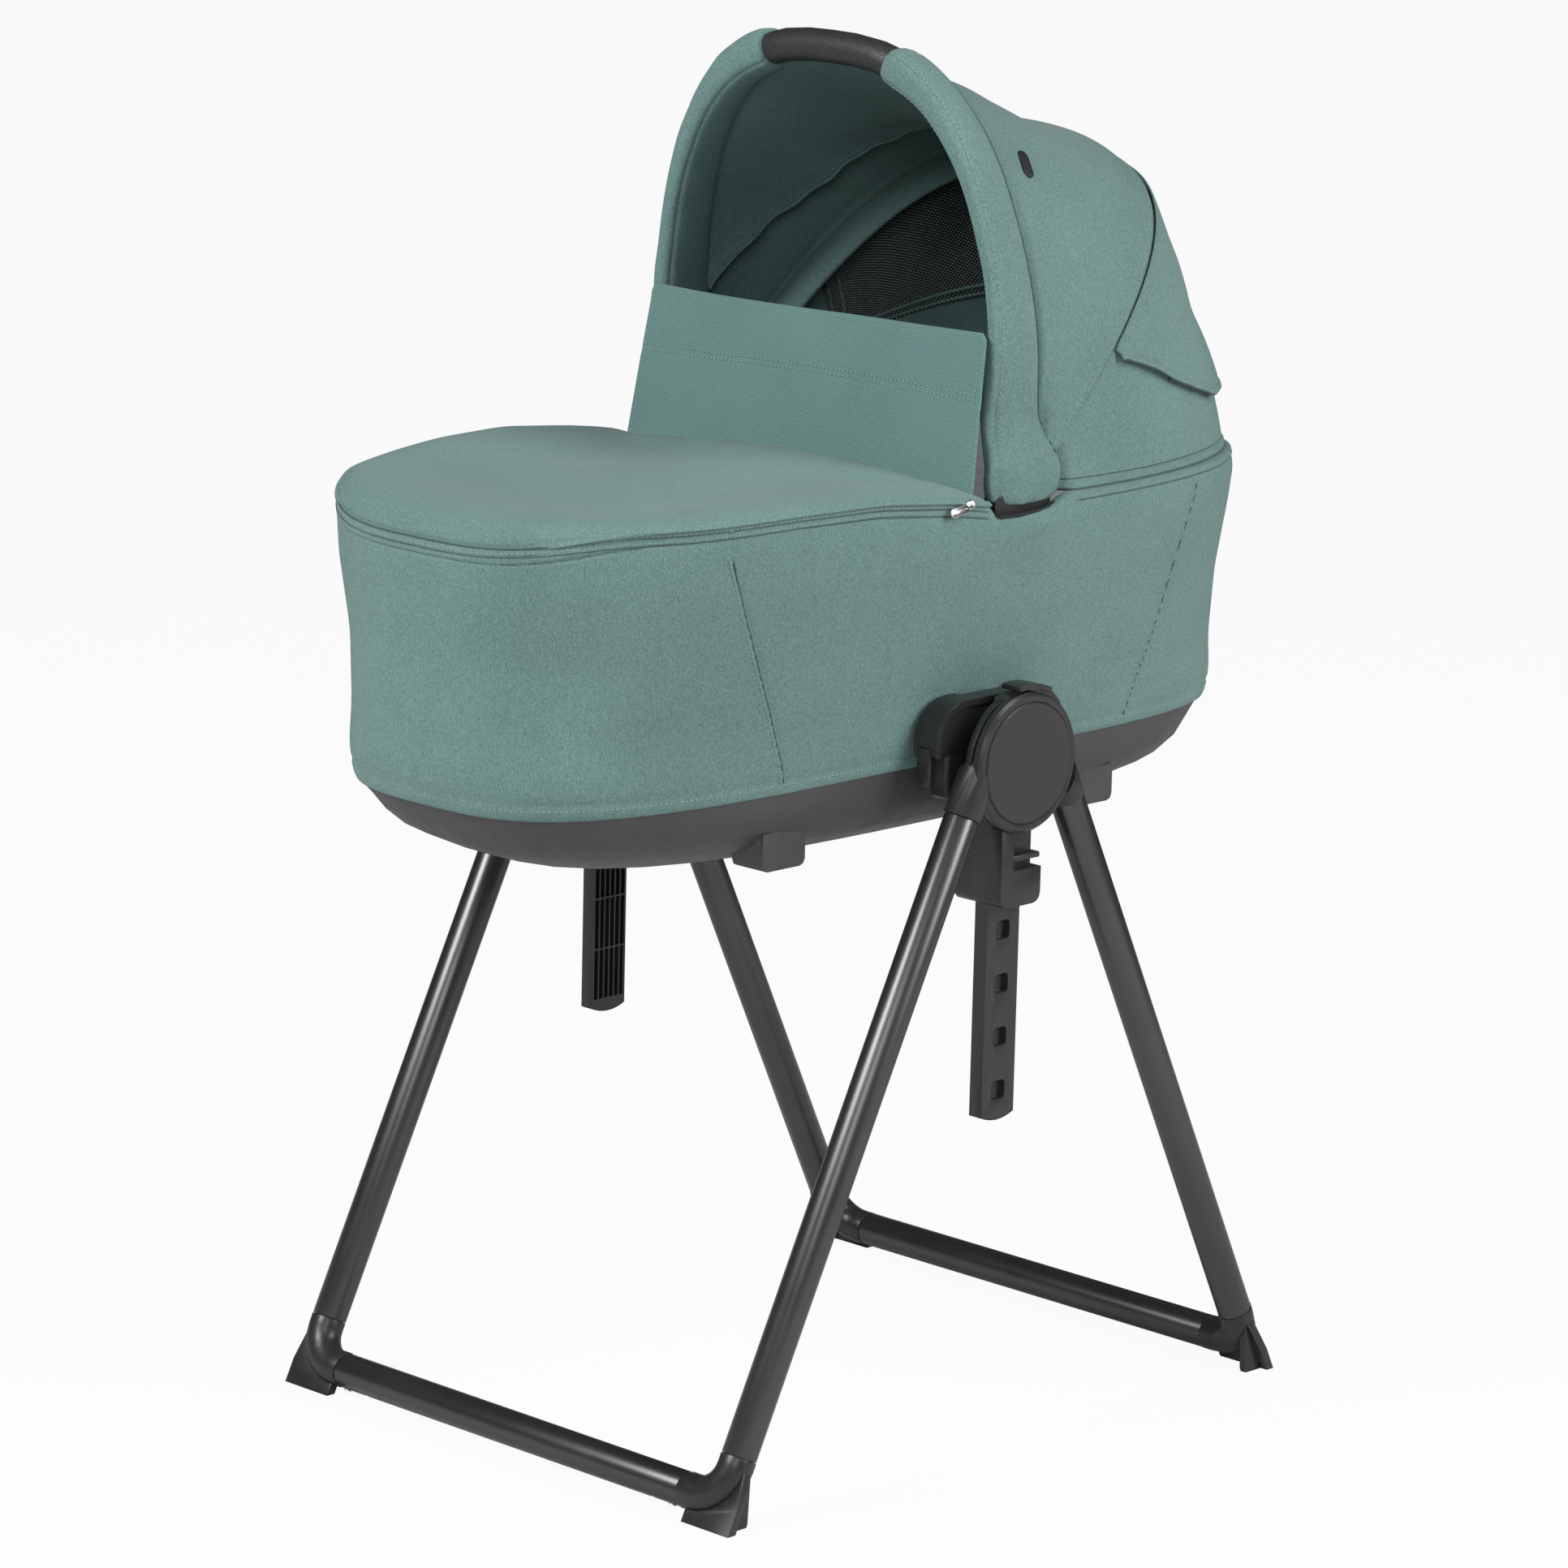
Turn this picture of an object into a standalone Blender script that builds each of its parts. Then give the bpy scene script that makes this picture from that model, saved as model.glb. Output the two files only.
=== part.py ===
"""Bassinet with stand: a folding tube stand whose two height bars carry a fabric-covered carry cot.

Units are metres, +Z is up. +X is the head end, -X the foot end, +Y the left side, and the plane
Y = 0 is the plane of symmetry. The origin is on the floor below the middle of the cot.
"""
import math

import bmesh
import bpy
from mathutils import Matrix, Vector

# Fits
GAP = 0.0003                    # between pieces that meet
RUNNING = 0.0005                # beside a piece that slides or turns

# Stand tubes
TUBE_R = 0.015
TUBE_WALL = 0.0016
LEG_ANGLE = math.radians(26.1)  # of each leg from vertical
LEG_OFFSET = 0.040              # leg axis beside the hub axis
LEG_REACH = 0.659               # along the leg, from beside the hub to the floor bar
LEG_PLANE = 0.252               # leg axis from the plane of symmetry
BAR_HEIGHT = 0.022              # floor bar axis above the floor
SOCKET_R = 0.0165
SOCKET_SEAM = 0.064             # socket's end, along the leg
ELBOW_R = 0.0156
ELBOW_BEND = 0.030
ELBOW_ARM = 0.038               # leg seam above the floor bar
ELBOW_REACH = 0.0415            # bar seam inside the leg plane
PLUG_LENGTH = 0.022             # of the elbow and the socket inside a tube
FOOT_THICK = 0.008
FOOT_WIDTH = 0.055
FOOT_RISE = 0.034
RIVET_R = 0.0020
RIVET_HEAD_R = 0.0034
RIVET_LENGTH = 0.009
RIVET_INSET = 0.010
DRAIN_INSET = 0.034

# Hub
HUB_X = 0.008                   # hub axis from the middle of the cot
HUB_RING_R = 0.0595             # both leg knuckles
HUB_PLATE_R = 0.050
HUB_PIN_R = 0.011
HUB_PLATE_THICK = 0.0058
KNUCKLE_THICK = 0.0060          # of the rear leg's knuckle
RING_THICK = 0.0105             # of the front leg's knuckle, which is the outer ring
CAP_R = 0.0515
CAP_THICK = 0.0050
CAP_PROUD = 0.0014

# Height bar and its guide
RACK_WIDTH = 0.040
RACK_THICK = 0.014
RACK_PLANE = 0.2365
RACK_BELOW = 0.3119             # bar's lower end below the hub axis
RACK_ABOVE = 0.0447
SLOT_SIZE = 0.0165
SLOT_DEPTH = 0.0065
SLOT_PITCH = 0.0463
SLOT_COUNT = 5
SLOT_FIRST = 0.2858             # lowest slot below the hub axis
RIB_GROOVES = 6
RIB_WIDTH = 0.0016
RIB_DEPTH = 0.005
GUIDE_HALF = 0.0245
GUIDE_INNER = 0.209
GUIDE_OUTER = 0.262
GUIDE_TOP = 0.033               # below the hub axis
GUIDE_BOTTOM = 0.123
GUIDE_CORNER = 0.009
NOTCH_FLOOR = 0.092             # below the hub axis
NOTCH_LEFT = -0.0097
LEVER_THICK = 0.005
LEVER_LIFT = 0.008
LEVER_SHANK = 0.0034
LEVER_HALF = 0.0075

# Fold button on the hub
BUTTON_TRAVEL = 0.0025
BUTTON_THICK = 0.0042
BUTTON_SHANK_X = 0.008
BUTTON_SHANK_HALF = 0.007
BUTTON_SHANK_THICK = 0.0030
BUTTON_SHANK_LOW = 0.047
BUTTON_START = math.radians(-10)
BUTTON_END = math.radians(25)

# Dock that receives the cot
DOCK_HALF = 0.078
DOCK_INNER = 0.2082
DOCK_OUTER = 0.2345
DOCK_SILL = 0.008               # hood's lower edge above the hub axis
DOCK_TOP = 0.054
DOCK_CORNER = 0.036
DOCK_BASE = 0.030               # lower body below the hub axis
DOCK_BASE_HALF = 0.060
DOCK_RECESS = 0.003
DOCK_RIM = 0.006
TAB_WIDTH = 0.015
TAB_PLANE = 0.2205              # middle of the release tab from the plane of symmetry
TAB_THICK = 0.0035
TAB_TRAVEL = 0.003
TAB_TOP = 0.016                 # above the hub axis
TAB_BOTTOM = 0.0165             # below the hub axis
ADAPTER_HALF = 0.030
ADAPTER_OUTER = 0.2145
ADAPTER_BOTTOM = 0.024          # below the hub axis
ADAPTER_TOP = 0.026

# Cot
PLAN_POWER = 3.0                # roundness of the plan
PLAN_POINTS = 44
RIM_TOP = 0.808
HEM = 0.5905                    # at the middle of the cot's side
HEM_DROP_FOOT = 0.014           # how much lower the hem is at the foot end
HEM_DROP_HEAD = 0.008
DROP_TOP = 0.640                # the wall above this height stays level
DROP_BOTTOM = 0.540
TUB_BOTTOM = 0.517
COVER_THICK = 0.003
TUB_THICK = 0.003
LINER_THICK = 0.004
# Outer wall of the fabric: height, half length, half width
COVER_WALL = (
    (RIM_TOP, 0.4325, 0.2255), (0.795, 0.4385, 0.2285), (0.765, 0.4375, 0.2245), (0.700, 0.4300, 0.2130),
    (0.640, 0.4310, 0.2052), (0.608, 0.4345, 0.2042), (HEM, 0.4295, 0.2020))
# Outer wall of the tub below the hem
TUB_WALL = (
    (0.578, 0.4170, 0.1965), (0.558, 0.4040, 0.1905), (0.540, 0.3880, 0.1750), (0.524, 0.3520, 0.1450),
    (TUB_BOTTOM, 0.3000, 0.1000))
TUB_RIM = 0.7915                # upper edge of the tub, under the rim tube
RIM_TUBE_R = 0.007
RIM_TUBE_Z = 0.799
LINER_RIM = 0.790
TUB_FOOT_X = 0.189              # from the middle of the cot
TUB_FOOT_Y = 0.160
TUB_FOOT_LENGTH = 0.050
TUB_FOOT_WIDTH = 0.036
TUB_FOOT_BOTTOM = 0.5195
TUB_FOOT_TOP = 0.552
HINGE_DIP = 0.046               # half of the cover's cut-out for a bow hinge
MATTRESS_THICK = 0.045
MATTRESS_LENGTH = 0.365         # half
MATTRESS_WIDTH = 0.155
PIPING = 0.0025                 # groove of the mattress's side seam
# Mattress below its seam, fitted to the tub's floor: rise from the floor, draw-in at ends and sides
MATTRESS_UNDERSIDE = ((0, 0.077, 0.066), (0.007, 0.021, 0.0185), (0.0165, 0.003, 0.0025))
# Mattress above its seam: drop from the crown, draw-in at ends and sides
MATTRESS_CROWN = ((0.009, 0.006, 0.006), (0.003, 0.016, 0.016), (0, 0.165, 0.070))

# Apron over the foot end
APRON_EDGE = -0.0073            # its straight edge, where the wind flap stands
APRON_CROWN = 0.012
APRON_ROUND = 2.2               # how flat the crown's middle is
APRON_THICK = 0.003
APRON_RINGS = 5

# Wind flap
FLAP_HEIGHT = 0.123             # above its hinge
FLAP_LEAN = math.radians(9.5)
FLAP_HALF = 0.2045
FLAP_TAPER = 0.009
FLAP_THICK = 0.005

# Canopy
PIVOT_X = 0.054
PIVOT_Z = 0.800
HANDLE_HALF = 0.192
HANDLE_HEIGHT = 0.365
HANDLE_BASE = -0.002            # bow's foot from the pivot, along X
HANDLE_FLARE = 0.011            # how much wider the bow is above the rim
FLARE_START = 0.045             # above the pivots
FLARE_END = 0.160
HANDLE_POWER = 2.75
HANDLE_FORWARD = 0.024          # how far the bow's top leans to the foot end
HANDLE_TUBE_R = 0.008
GRIP_R = 0.0142
GRIP_HALF = 0.072
SLEEVE_TOP_HALF = 0.0185
SLEEVE_MID_HALF = 0.024
SLEEVE_LOW_HALF = 0.041
SLEEVE_SIDE_THICK = 0.0095
SLEEVE_TOP_THICK = 0.0165
SLEEVE_GAP = 0.001              # between the grip and a sleeve
SLEEVE_LOW = 0.024              # sleeve's rounded end starts this far above the pivot
SEAM_ANGLE = math.radians(45)   # canopy seam from vertical
MID_BOW_HALF = 0.176
MID_BOW_HEIGHT = 0.345
MID_BOW_R = 0.0042
CANOPY_THICK = 0.003
CANOPY_FOOT = 0.045             # lower edge of the canopy from the pivot
# Outer surface of the canopy: angle from vertical, height, half width, roundness
CANOPY_BOWS = (
    (-3, 0.350, 0.2120, 3.2), (1, 0.338, 0.2120, 3.2), (5, 0.328, 0.2115, 3.2), (12, 0.322, 0.2105, 3.3),
    (25, 0.331, 0.2080, 3.3), (38, 0.359, 0.2060, 3.1),
    (45, 0.366, 0.2060, 3.0), (52, 0.357, 0.2070, 2.9), (65, 0.349, 0.2110, 2.8), (80, 0.368, 0.2190, 2.7),
    (95, 0.3905, 0.2240, 2.6))
HINGE_HALF = 0.034
HINGE_PLATE = 0.0070
HINGE_PIN_R = 0.004
HINGE_BOSS_R = 0.008
BOW_END_R = 0.013
CANOPY_COLUMNS = 22
CANOPY_SEAM = 0.0008            # fabric's front edge behind the sleeve
CANOPY_ON_RIM = 0.0008          # fabric's lower edge above the rim
CANOPY_SHARES = (0, 0.08, 0.18, 0.30, 0.45, 0.62, 0.80, 1)
VENT_SHARES = (0, 0.05, 0.09, 0.22, 0.35, 0.48, 0.53, 0.70, 0.86, 1)
VENT_ROWS = (2, 4)              # first and last cell of the vent's opening
VENT_COLUMNS = (5, 16)
VENT_THICK = 0.001
VISOR_ANGLE = math.radians(76)
VISOR_SHORT = math.radians(51)
VISOR_CORNER = 0.165            # visor's side edge from the pivots
VISOR_FULL = 0.290
VISOR_THICK = 0.0025
VISOR_STANDOFF = 0.002
VISOR_KICK = 0.011

# Values that follow
LEG_DROP = LEG_REACH * math.cos(LEG_ANGLE) - LEG_OFFSET * math.sin(LEG_ANGLE)
HUB_Z = BAR_HEIGHT + LEG_DROP
RACK_INNER = RACK_PLANE - RACK_THICK / 2
RACK_OUTER = RACK_PLANE + RACK_THICK / 2
PLATE_INNER = RACK_OUTER + GAP
PLATE_OUTER = PLATE_INNER + HUB_PLATE_THICK
KNUCKLE_INNER = PLATE_OUTER + GAP
KNUCKLE_OUTER = KNUCKLE_INNER + KNUCKLE_THICK
RING_INNER = KNUCKLE_OUTER + GAP
RING_OUTER = RING_INNER + RING_THICK
CAP_INNER = RING_OUTER + CAP_PROUD - CAP_THICK
LEVER_CENTRE = (NOTCH_LEFT + GUIDE_HALF) / 2
BUTTON_SHANK_INNER = PLATE_INNER + (HUB_PLATE_THICK - BUTTON_SHANK_THICK) / 2
BUTTON_LOW = HUB_RING_R + BUTTON_TRAVEL + GAP
BUTTON_HIGH = BUTTON_LOW + BUTTON_THICK
FLAP_HINGE_Z = RIM_TOP + GAP + APRON_THICK + APRON_CROWN + GAP
FLOOR_REACH = (HUB_Z + LEG_OFFSET * math.sin(LEG_ANGLE)) / math.cos(LEG_ANGLE)

SIDES = (("left", 1), ("right", -1))
ENDS = (("front", -1), ("rear", 1))


def clear_scene():
    for item in list(bpy.data.objects):
        bpy.data.objects.remove(item, do_unlink=True)


def make_collection(name):
    collection = bpy.data.collections.new(name)
    bpy.context.scene.collection.children.link(collection)
    return collection


def make_material(name, colour, roughness, metallic=0.0):
    material = bpy.data.materials.new(name)
    material.use_nodes = True
    shader = material.node_tree.nodes["Principled BSDF"]
    shader.inputs["Base Color"].default_value = (*colour, 1)
    shader.inputs["Roughness"].default_value = roughness
    shader.inputs["Metallic"].default_value = metallic
    return material


clear_scene()
PARTS = make_collection("bassinet_with_stand")
CUTTERS = make_collection("cutters")

METAL = make_material("anthracite_metal", (0.045, 0.045, 0.048), 0.38, 0.6)
STEEL = make_material("zinc_steel", (0.55, 0.55, 0.56), 0.35, 1.0)
BLACK = make_material("black_plastic", (0.030, 0.030, 0.032), 0.50)
GREY = make_material("dark_grey_plastic", (0.060, 0.060, 0.062), 0.60)
TEAL = make_material("teal_fabric", (0.165, 0.290, 0.270), 0.90)
LINING = make_material("pale_lining", (0.60, 0.61, 0.62), 0.90)
LEATHER = make_material("black_leatherette", (0.020, 0.020, 0.022), 0.55)
MESH_CLOTH = make_material("black_mesh", (0.012, 0.013, 0.014), 0.80)
CHROME = make_material("chrome", (0.80, 0.80, 0.80), 0.15, 1.0)


def adopt(item, name, material, parent=None):
    """Name an object, give it its material and put it in the parts collection."""
    item.name = name
    item.data.name = name
    item.data.materials.clear()
    item.data.materials.append(material)
    for collection in list(item.users_collection):
        collection.objects.unlink(item)
    PARTS.objects.link(item)
    if parent is not None:
        item.parent = parent
    return item


def adopt_cutter(item):
    for collection in list(item.users_collection):
        collection.objects.unlink(item)
    CUTTERS.objects.link(item)
    item.hide_render = True
    item.display_type = "WIRE"
    return item


def empty(name, location, tilt=0.0):
    item = bpy.data.objects.new(name, None)
    item.location = location
    item.rotation_euler = (0, tilt, 0)
    PARTS.objects.link(item)
    bpy.context.view_layer.update()
    return item


def from_bmesh(bm, name):
    bmesh.ops.recalc_face_normals(bm, faces=bm.faces)
    data = bpy.data.meshes.new(name)
    bm.to_mesh(data)
    bm.free()
    item = bpy.data.objects.new(name, data)
    bpy.context.scene.collection.objects.link(item)
    return item


def smooth(item, angle=35):
    item.data.shade_smooth()
    item.data.set_sharp_from_angle(angle=math.radians(angle))
    return item


def curve_to_mesh(item):
    """Turn a curve object into a closed mesh object at the same place."""
    bpy.context.view_layer.update()
    graph = bpy.context.evaluated_depsgraph_get()
    data = bpy.data.meshes.new_from_object(item.evaluated_get(graph))
    bm = bmesh.new()
    bm.from_mesh(data)
    bmesh.ops.remove_doubles(bm, verts=bm.verts, dist=0.00001)
    bmesh.ops.recalc_face_normals(bm, faces=bm.faces)
    bm.to_mesh(data)
    bm.free()
    solid = bpy.data.objects.new(item.name + "_solid", data)
    solid.matrix_world = item.matrix_world.copy()
    bpy.context.scene.collection.objects.link(solid)
    bpy.data.objects.remove(item, do_unlink=True)
    return solid


def tube(points, radius, scales=None, closed=False, sides=3):
    """Tube mesh along points, with a radius that may change from point to point."""
    data = bpy.data.curves.new("tube", "CURVE")
    data.dimensions = "3D"
    data.bevel_depth = radius
    data.bevel_resolution = sides
    data.use_fill_caps = not closed
    spline = data.splines.new("POLY")
    spline.points.add(len(points) - 1)
    for index, point in enumerate(points):
        spline.points[index].co = (*point, 1)
        spline.points[index].radius = scales[index] if scales else 1
    spline.use_cyclic_u = closed
    item = bpy.data.objects.new("tube", data)
    bpy.context.scene.collection.objects.link(item)
    return curve_to_mesh(item)


def plate(outline, depth, centre, facing="Y"):
    """Flat outline made solid: outline is (x, z) for a plate across Y, (y, z) for one across X."""
    data = bpy.data.curves.new("plate", "CURVE")
    data.dimensions = "2D"
    data.fill_mode = "BOTH"
    data.extrude = depth / 2
    spline = data.splines.new("POLY")
    spline.points.add(len(outline) - 1)
    for index, (across, up) in enumerate(outline):
        spline.points[index].co = (across, up, 0, 1)
    spline.use_cyclic_u = True
    item = bpy.data.objects.new("plate", data)
    item.rotation_euler = (math.pi / 2, 0, math.pi / 2 if facing == "X" else 0)
    item.location = centre
    bpy.context.scene.collection.objects.link(item)
    return curve_to_mesh(item)


def box(low, high):
    bm = bmesh.new()
    bmesh.ops.create_cube(bm, size=1)
    low = Vector(low)
    high = Vector(high)
    size = high - low
    bmesh.ops.scale(bm, vec=size, verts=bm.verts)
    bmesh.ops.translate(bm, vec=(low + high) / 2, verts=bm.verts)
    return from_bmesh(bm, "box")


def side_box(side, x_range, out_range, z_range):
    """Box on one side: out_range is measured outwards from the plane of symmetry."""
    lows = sorted(side * value for value in out_range)
    return box((x_range[0], lows[0], z_range[0]), (x_range[1], lows[1], z_range[1]))


def disc(side, radius, out_range, x=0.0, z=0.0, segments=40):
    """Cylinder across Y on one side."""
    bm = bmesh.new()
    depth = out_range[1] - out_range[0]
    bmesh.ops.create_cone(bm, cap_ends=True, segments=segments, radius1=radius, radius2=radius, depth=depth)
    bmesh.ops.rotate(bm, matrix=Matrix.Rotation(math.pi / 2, 3, "X"), verts=bm.verts)
    middle = side * (out_range[0] + out_range[1]) / 2
    bmesh.ops.translate(bm, vec=(x, middle, z), verts=bm.verts)
    return from_bmesh(bm, "disc")


def move(item, parent):
    """Carry a piece modelled in a parent's own axes to where the parent stands."""
    item.data.transform(item.matrix_world)
    item.matrix_world = parent.matrix_world.copy()
    return item


def combine(target, tool, operation):
    bpy.context.view_layer.update()
    modifier = target.modifiers.new(operation.lower(), "BOOLEAN")
    modifier.operation = operation
    modifier.solver = "EXACT"
    modifier.object = adopt_cutter(tool)
    return target


def cut(target, *tools):
    for tool in tools:
        combine(target, tool, "DIFFERENCE")
    return target


def join(target, *tools):
    for tool in tools:
        combine(target, tool, "UNION")
    return target


def soften(item, width, segments=2, angle=40):
    """Rounded edges."""
    bevel = item.modifiers.new("rounded", "BEVEL")
    bevel.width = width
    bevel.segments = segments
    bevel.limit_method = "ANGLE"
    bevel.angle_limit = math.radians(angle)
    return item


def arc(centre, radius, start, end, steps):
    """Points of an arc in the outline's plane; angles run from +X towards +Z."""
    points = []
    for index in range(steps + 1):
        angle = start + (end - start) * index / steps
        points.append((centre[0] + radius * math.cos(angle), centre[1] + radius * math.sin(angle)))
    return points


def rounded_outline(half_width, low, high, radius, steps=4, lower_radius=None):
    """Outline of a rounded rectangle, symmetric about its own middle."""
    lower = radius if lower_radius is None else lower_radius
    outline = []
    outline += arc((half_width - radius, high - radius), radius, 0, math.pi / 2, steps)
    outline += arc((-half_width + radius, high - radius), radius, math.pi / 2, math.pi, steps)
    outline += arc((-half_width + lower, low + lower), lower, math.pi, 1.5 * math.pi, steps)
    outline += arc((half_width - lower, low + lower), lower, 1.5 * math.pi, 2 * math.pi, steps)
    return outline


# Empties that carry the moving assemblies
STAND = empty("hub_axis", (HUB_X, 0, HUB_Z))
FRAMES = {
    "front": empty("front_fold_axis", (HUB_X, 0, HUB_Z), LEG_ANGLE),
    "rear": empty("rear_fold_axis", (HUB_X, 0, HUB_Z), -LEG_ANGLE)}


def place(item, name, material, parent):
    """Hand a piece modelled in its parent's axes to that parent."""
    item.data.transform(item.matrix_world)
    item.matrix_world = Matrix.Identity(4)
    return adopt(item, name, material, parent)


def hollow_tube(length):
    """Tube along -Z from its own origin, turned from its wall's section."""
    data = bpy.data.meshes.new("tube_wall")
    inner = TUBE_R - TUBE_WALL
    section = [(TUBE_R, 0, 0), (TUBE_R, 0, -length), (inner, 0, -length), (inner, 0, 0)]
    data.from_pydata(section, [(0, 1), (1, 2), (2, 3), (3, 0)], [])
    item = bpy.data.objects.new("tube", data)
    bpy.context.scene.collection.objects.link(item)
    screw = item.modifiers.new("turned", "SCREW")
    screw.steps = 16
    screw.render_steps = 16
    screw.use_merge_vertices = True
    screw.merge_threshold = 0.0001
    screw.use_smooth_shade = True
    return item


def build_leg(end, end_sign, side, side_sign):
    """Leg tube from its socket's seam to its elbow's seam."""
    length = LEG_REACH - ELBOW_ARM - SOCKET_SEAM - 2 * GAP
    item = hollow_tube(length)
    item.location = (end_sign * LEG_OFFSET, side_sign * LEG_PLANE, -SOCKET_SEAM - GAP)
    return adopt(item, f"{end}_leg_{side}", METAL, FRAMES[end])


def rivet_drill(end_sign, side_sign, inset, radius, deep):
    """Round bar up into the floor bar's underside, by its distance from the elbow's seam."""
    bm = bmesh.new()
    spot = side_sign * (LEG_PLANE - ELBOW_REACH - inset)
    low = -LEG_REACH - TUBE_R - 0.001
    middle = Matrix.Translation((end_sign * LEG_OFFSET, spot, low + deep / 2))
    bmesh.ops.create_cone(bm, cap_ends=True, segments=10, radius1=radius, radius2=radius, depth=deep,
                          matrix=middle)
    return from_bmesh(bm, "drill")


def build_bar(end, end_sign):
    """Floor bar between the two elbows, drilled for a rivet and a drain hole near each end."""
    half = LEG_PLANE - ELBOW_REACH - GAP
    bar = hollow_tube(2 * half)
    bar.rotation_euler = (math.pi / 2, 0, 0)
    bar.location = (end_sign * LEG_OFFSET, -half, -LEG_REACH)
    for _, side_sign in SIDES:
        for inset in (RIVET_INSET, DRAIN_INSET):
            cut(bar, rivet_drill(end_sign, side_sign, inset, RIVET_R + 0.0001, 0.006))
    return place_later(bar, f"{end}_bar", METAL, FRAMES[end])


def build_rivet(end, end_sign, side, side_sign):
    """Rivet that holds an elbow's plug in the floor bar."""
    rivet = rivet_drill(end_sign, side_sign, RIVET_INSET, RIVET_R, RIVET_LENGTH)
    head = rivet_drill(end_sign, side_sign, RIVET_INSET, RIVET_HEAD_R, 0.0008)
    join(rivet, head)
    return place_later(rivet, f"{end}_rivet_{side}", STEEL, FRAMES[end])


def elbow_path(side_sign, extra=0.0):
    """Centre line of an elbow in the frame's plane, from leg seam to bar seam, as (y, z)."""
    plane = side_sign * LEG_PLANE
    bend = (plane - side_sign * ELBOW_BEND, -LEG_REACH + ELBOW_BEND)
    points = [(plane, -LEG_REACH + ELBOW_ARM + extra)]
    steps = 6
    for index in range(steps + 1):
        angle = -math.pi / 2 * index / steps
        points.append((bend[0] + side_sign * ELBOW_BEND * math.cos(angle),
                       bend[1] + ELBOW_BEND * math.sin(angle)))
    points.append((plane - side_sign * (ELBOW_REACH + extra), -LEG_REACH))
    return points


def elbow_solid(end_sign, side_sign, radius, with_plugs):
    path = elbow_path(side_sign)
    points = [Vector((end_sign * LEG_OFFSET, y, z)) for y, z in path]
    scales = [1.0] * len(points)
    if with_plugs:
        thin = (TUBE_R - TUBE_WALL - GAP) / radius
        step = 0.00005
        up = Vector((0, 0, 1))
        inward = Vector((0, -side_sign, 0))
        points = [points[0] + up * PLUG_LENGTH, points[0] + up * step] + points
        points += [points[-1] + inward * step, points[-1] + inward * PLUG_LENGTH]
        scales = [thin, thin] + scales + [thin, thin]
    return tube(points, radius, scales, sides=4)


def build_elbow(end, end_sign, side, side_sign):
    """Moulded elbow whose two plugs sit inside the leg and the floor bar."""
    elbow = elbow_solid(end_sign, side_sign, ELBOW_R, True)
    smooth(elbow, 30)
    cut(elbow, rivet_drill(end_sign, side_sign, RIVET_INSET, RIVET_R + 0.0001, RIVET_LENGTH + 0.0005))
    return place_later(elbow, f"{end}_elbow_{side}", BLACK, FRAMES[end])


def build_foot(end, end_sign, side, side_sign):
    """Foot fin under the elbow, with a cross rib, cut to the elbow and to the floor."""
    outer = LEG_PLANE + ELBOW_R + 0.0055
    deep = FLOOR_REACH + 0.012
    rise = -LEG_REACH + FOOT_RISE
    fin_outline = [
        (outer, -deep), (outer, -LEG_REACH - 0.004), (LEG_PLANE + ELBOW_R - 0.002, rise),
        (LEG_PLANE + 0.002, rise), (LEG_PLANE - 0.010, -LEG_REACH), (outer - FOOT_WIDTH, -LEG_REACH),
        (outer - FOOT_WIDTH, -deep)]
    fin_outline = [(side_sign * y, z) for y, z in fin_outline]
    centre = (end_sign * LEG_OFFSET, 0, 0)
    fin = plate(fin_outline, FOOT_THICK, centre, "X")
    inward = -end_sign
    rib_outline = [
        (end_sign * LEG_OFFSET, -deep), (end_sign * LEG_OFFSET + inward * 0.022, -deep),
        (end_sign * LEG_OFFSET + inward * 0.022, -FLOOR_REACH + 0.014),
        (end_sign * LEG_OFFSET + inward * 0.006, rise - 0.006), (end_sign * LEG_OFFSET, rise - 0.006)]
    rib = plate(rib_outline, 0.006, (0, side_sign * (LEG_PLANE + ELBOW_R - 0.005), 0))
    elbow = elbow_solid(end_sign, side_sign, ELBOW_R + GAP, False)
    for piece in (fin, rib, elbow):
        move(piece, FRAMES[end])
    floor = box((-1, -1, -0.2), (1, 1, 0))
    join(fin, rib)
    cut(fin, elbow, floor)
    adopt(fin, f"{end}_foot_{side}", BLACK)
    return fin


def socket_body(end_sign, side_sign, top):
    """Tapered shank of a leg socket with the plug that sits in the leg."""
    x = end_sign * LEG_OFFSET
    y = side_sign * LEG_PLANE
    thin = (TUBE_R - TUBE_WALL - GAP) / SOCKET_R
    seam = -SOCKET_SEAM
    points = [(x, y, seam - PLUG_LENGTH), (x, y, seam - 0.00005), (x, y, seam), (x, y, -0.010), (x, y, 0.010)]
    scales = [thin, thin, 1, 1, 0.96]
    for height, shift, scale in top:
        points.append((x - end_sign * shift, y, height))
        scales.append(scale)
    return tube([Vector(point) for point in points], SOCKET_R, scales, sides=4)


def build_front_socket(side, side_sign):
    """Front leg socket: its knuckle is the hub's outer ring, and its ridge runs up beside it."""
    top = ((0.025, 0.001, 0.84), (0.038, 0.004, 0.62), (0.045, 0.007, 0.36))
    socket = socket_body(-1, side_sign, top)
    ring = disc(side_sign, HUB_RING_R, (RING_INNER, RING_OUTER))
    soften(ring, 0.0025, 1, 60)
    shell = cut(socket, disc(side_sign, HUB_RING_R + RUNNING, (0.2, RING_INNER + 0.001)))
    join(shell, ring)
    cut(shell, disc(side_sign, CAP_R + RUNNING, (CAP_INNER - GAP, 0.3)))
    cut(shell, disc(side_sign, HUB_PIN_R + 0.0001, (0.2, 0.3), segments=24))
    return place_later(shell, f"front_socket_{side}", BLACK, FRAMES["front"])


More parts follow.
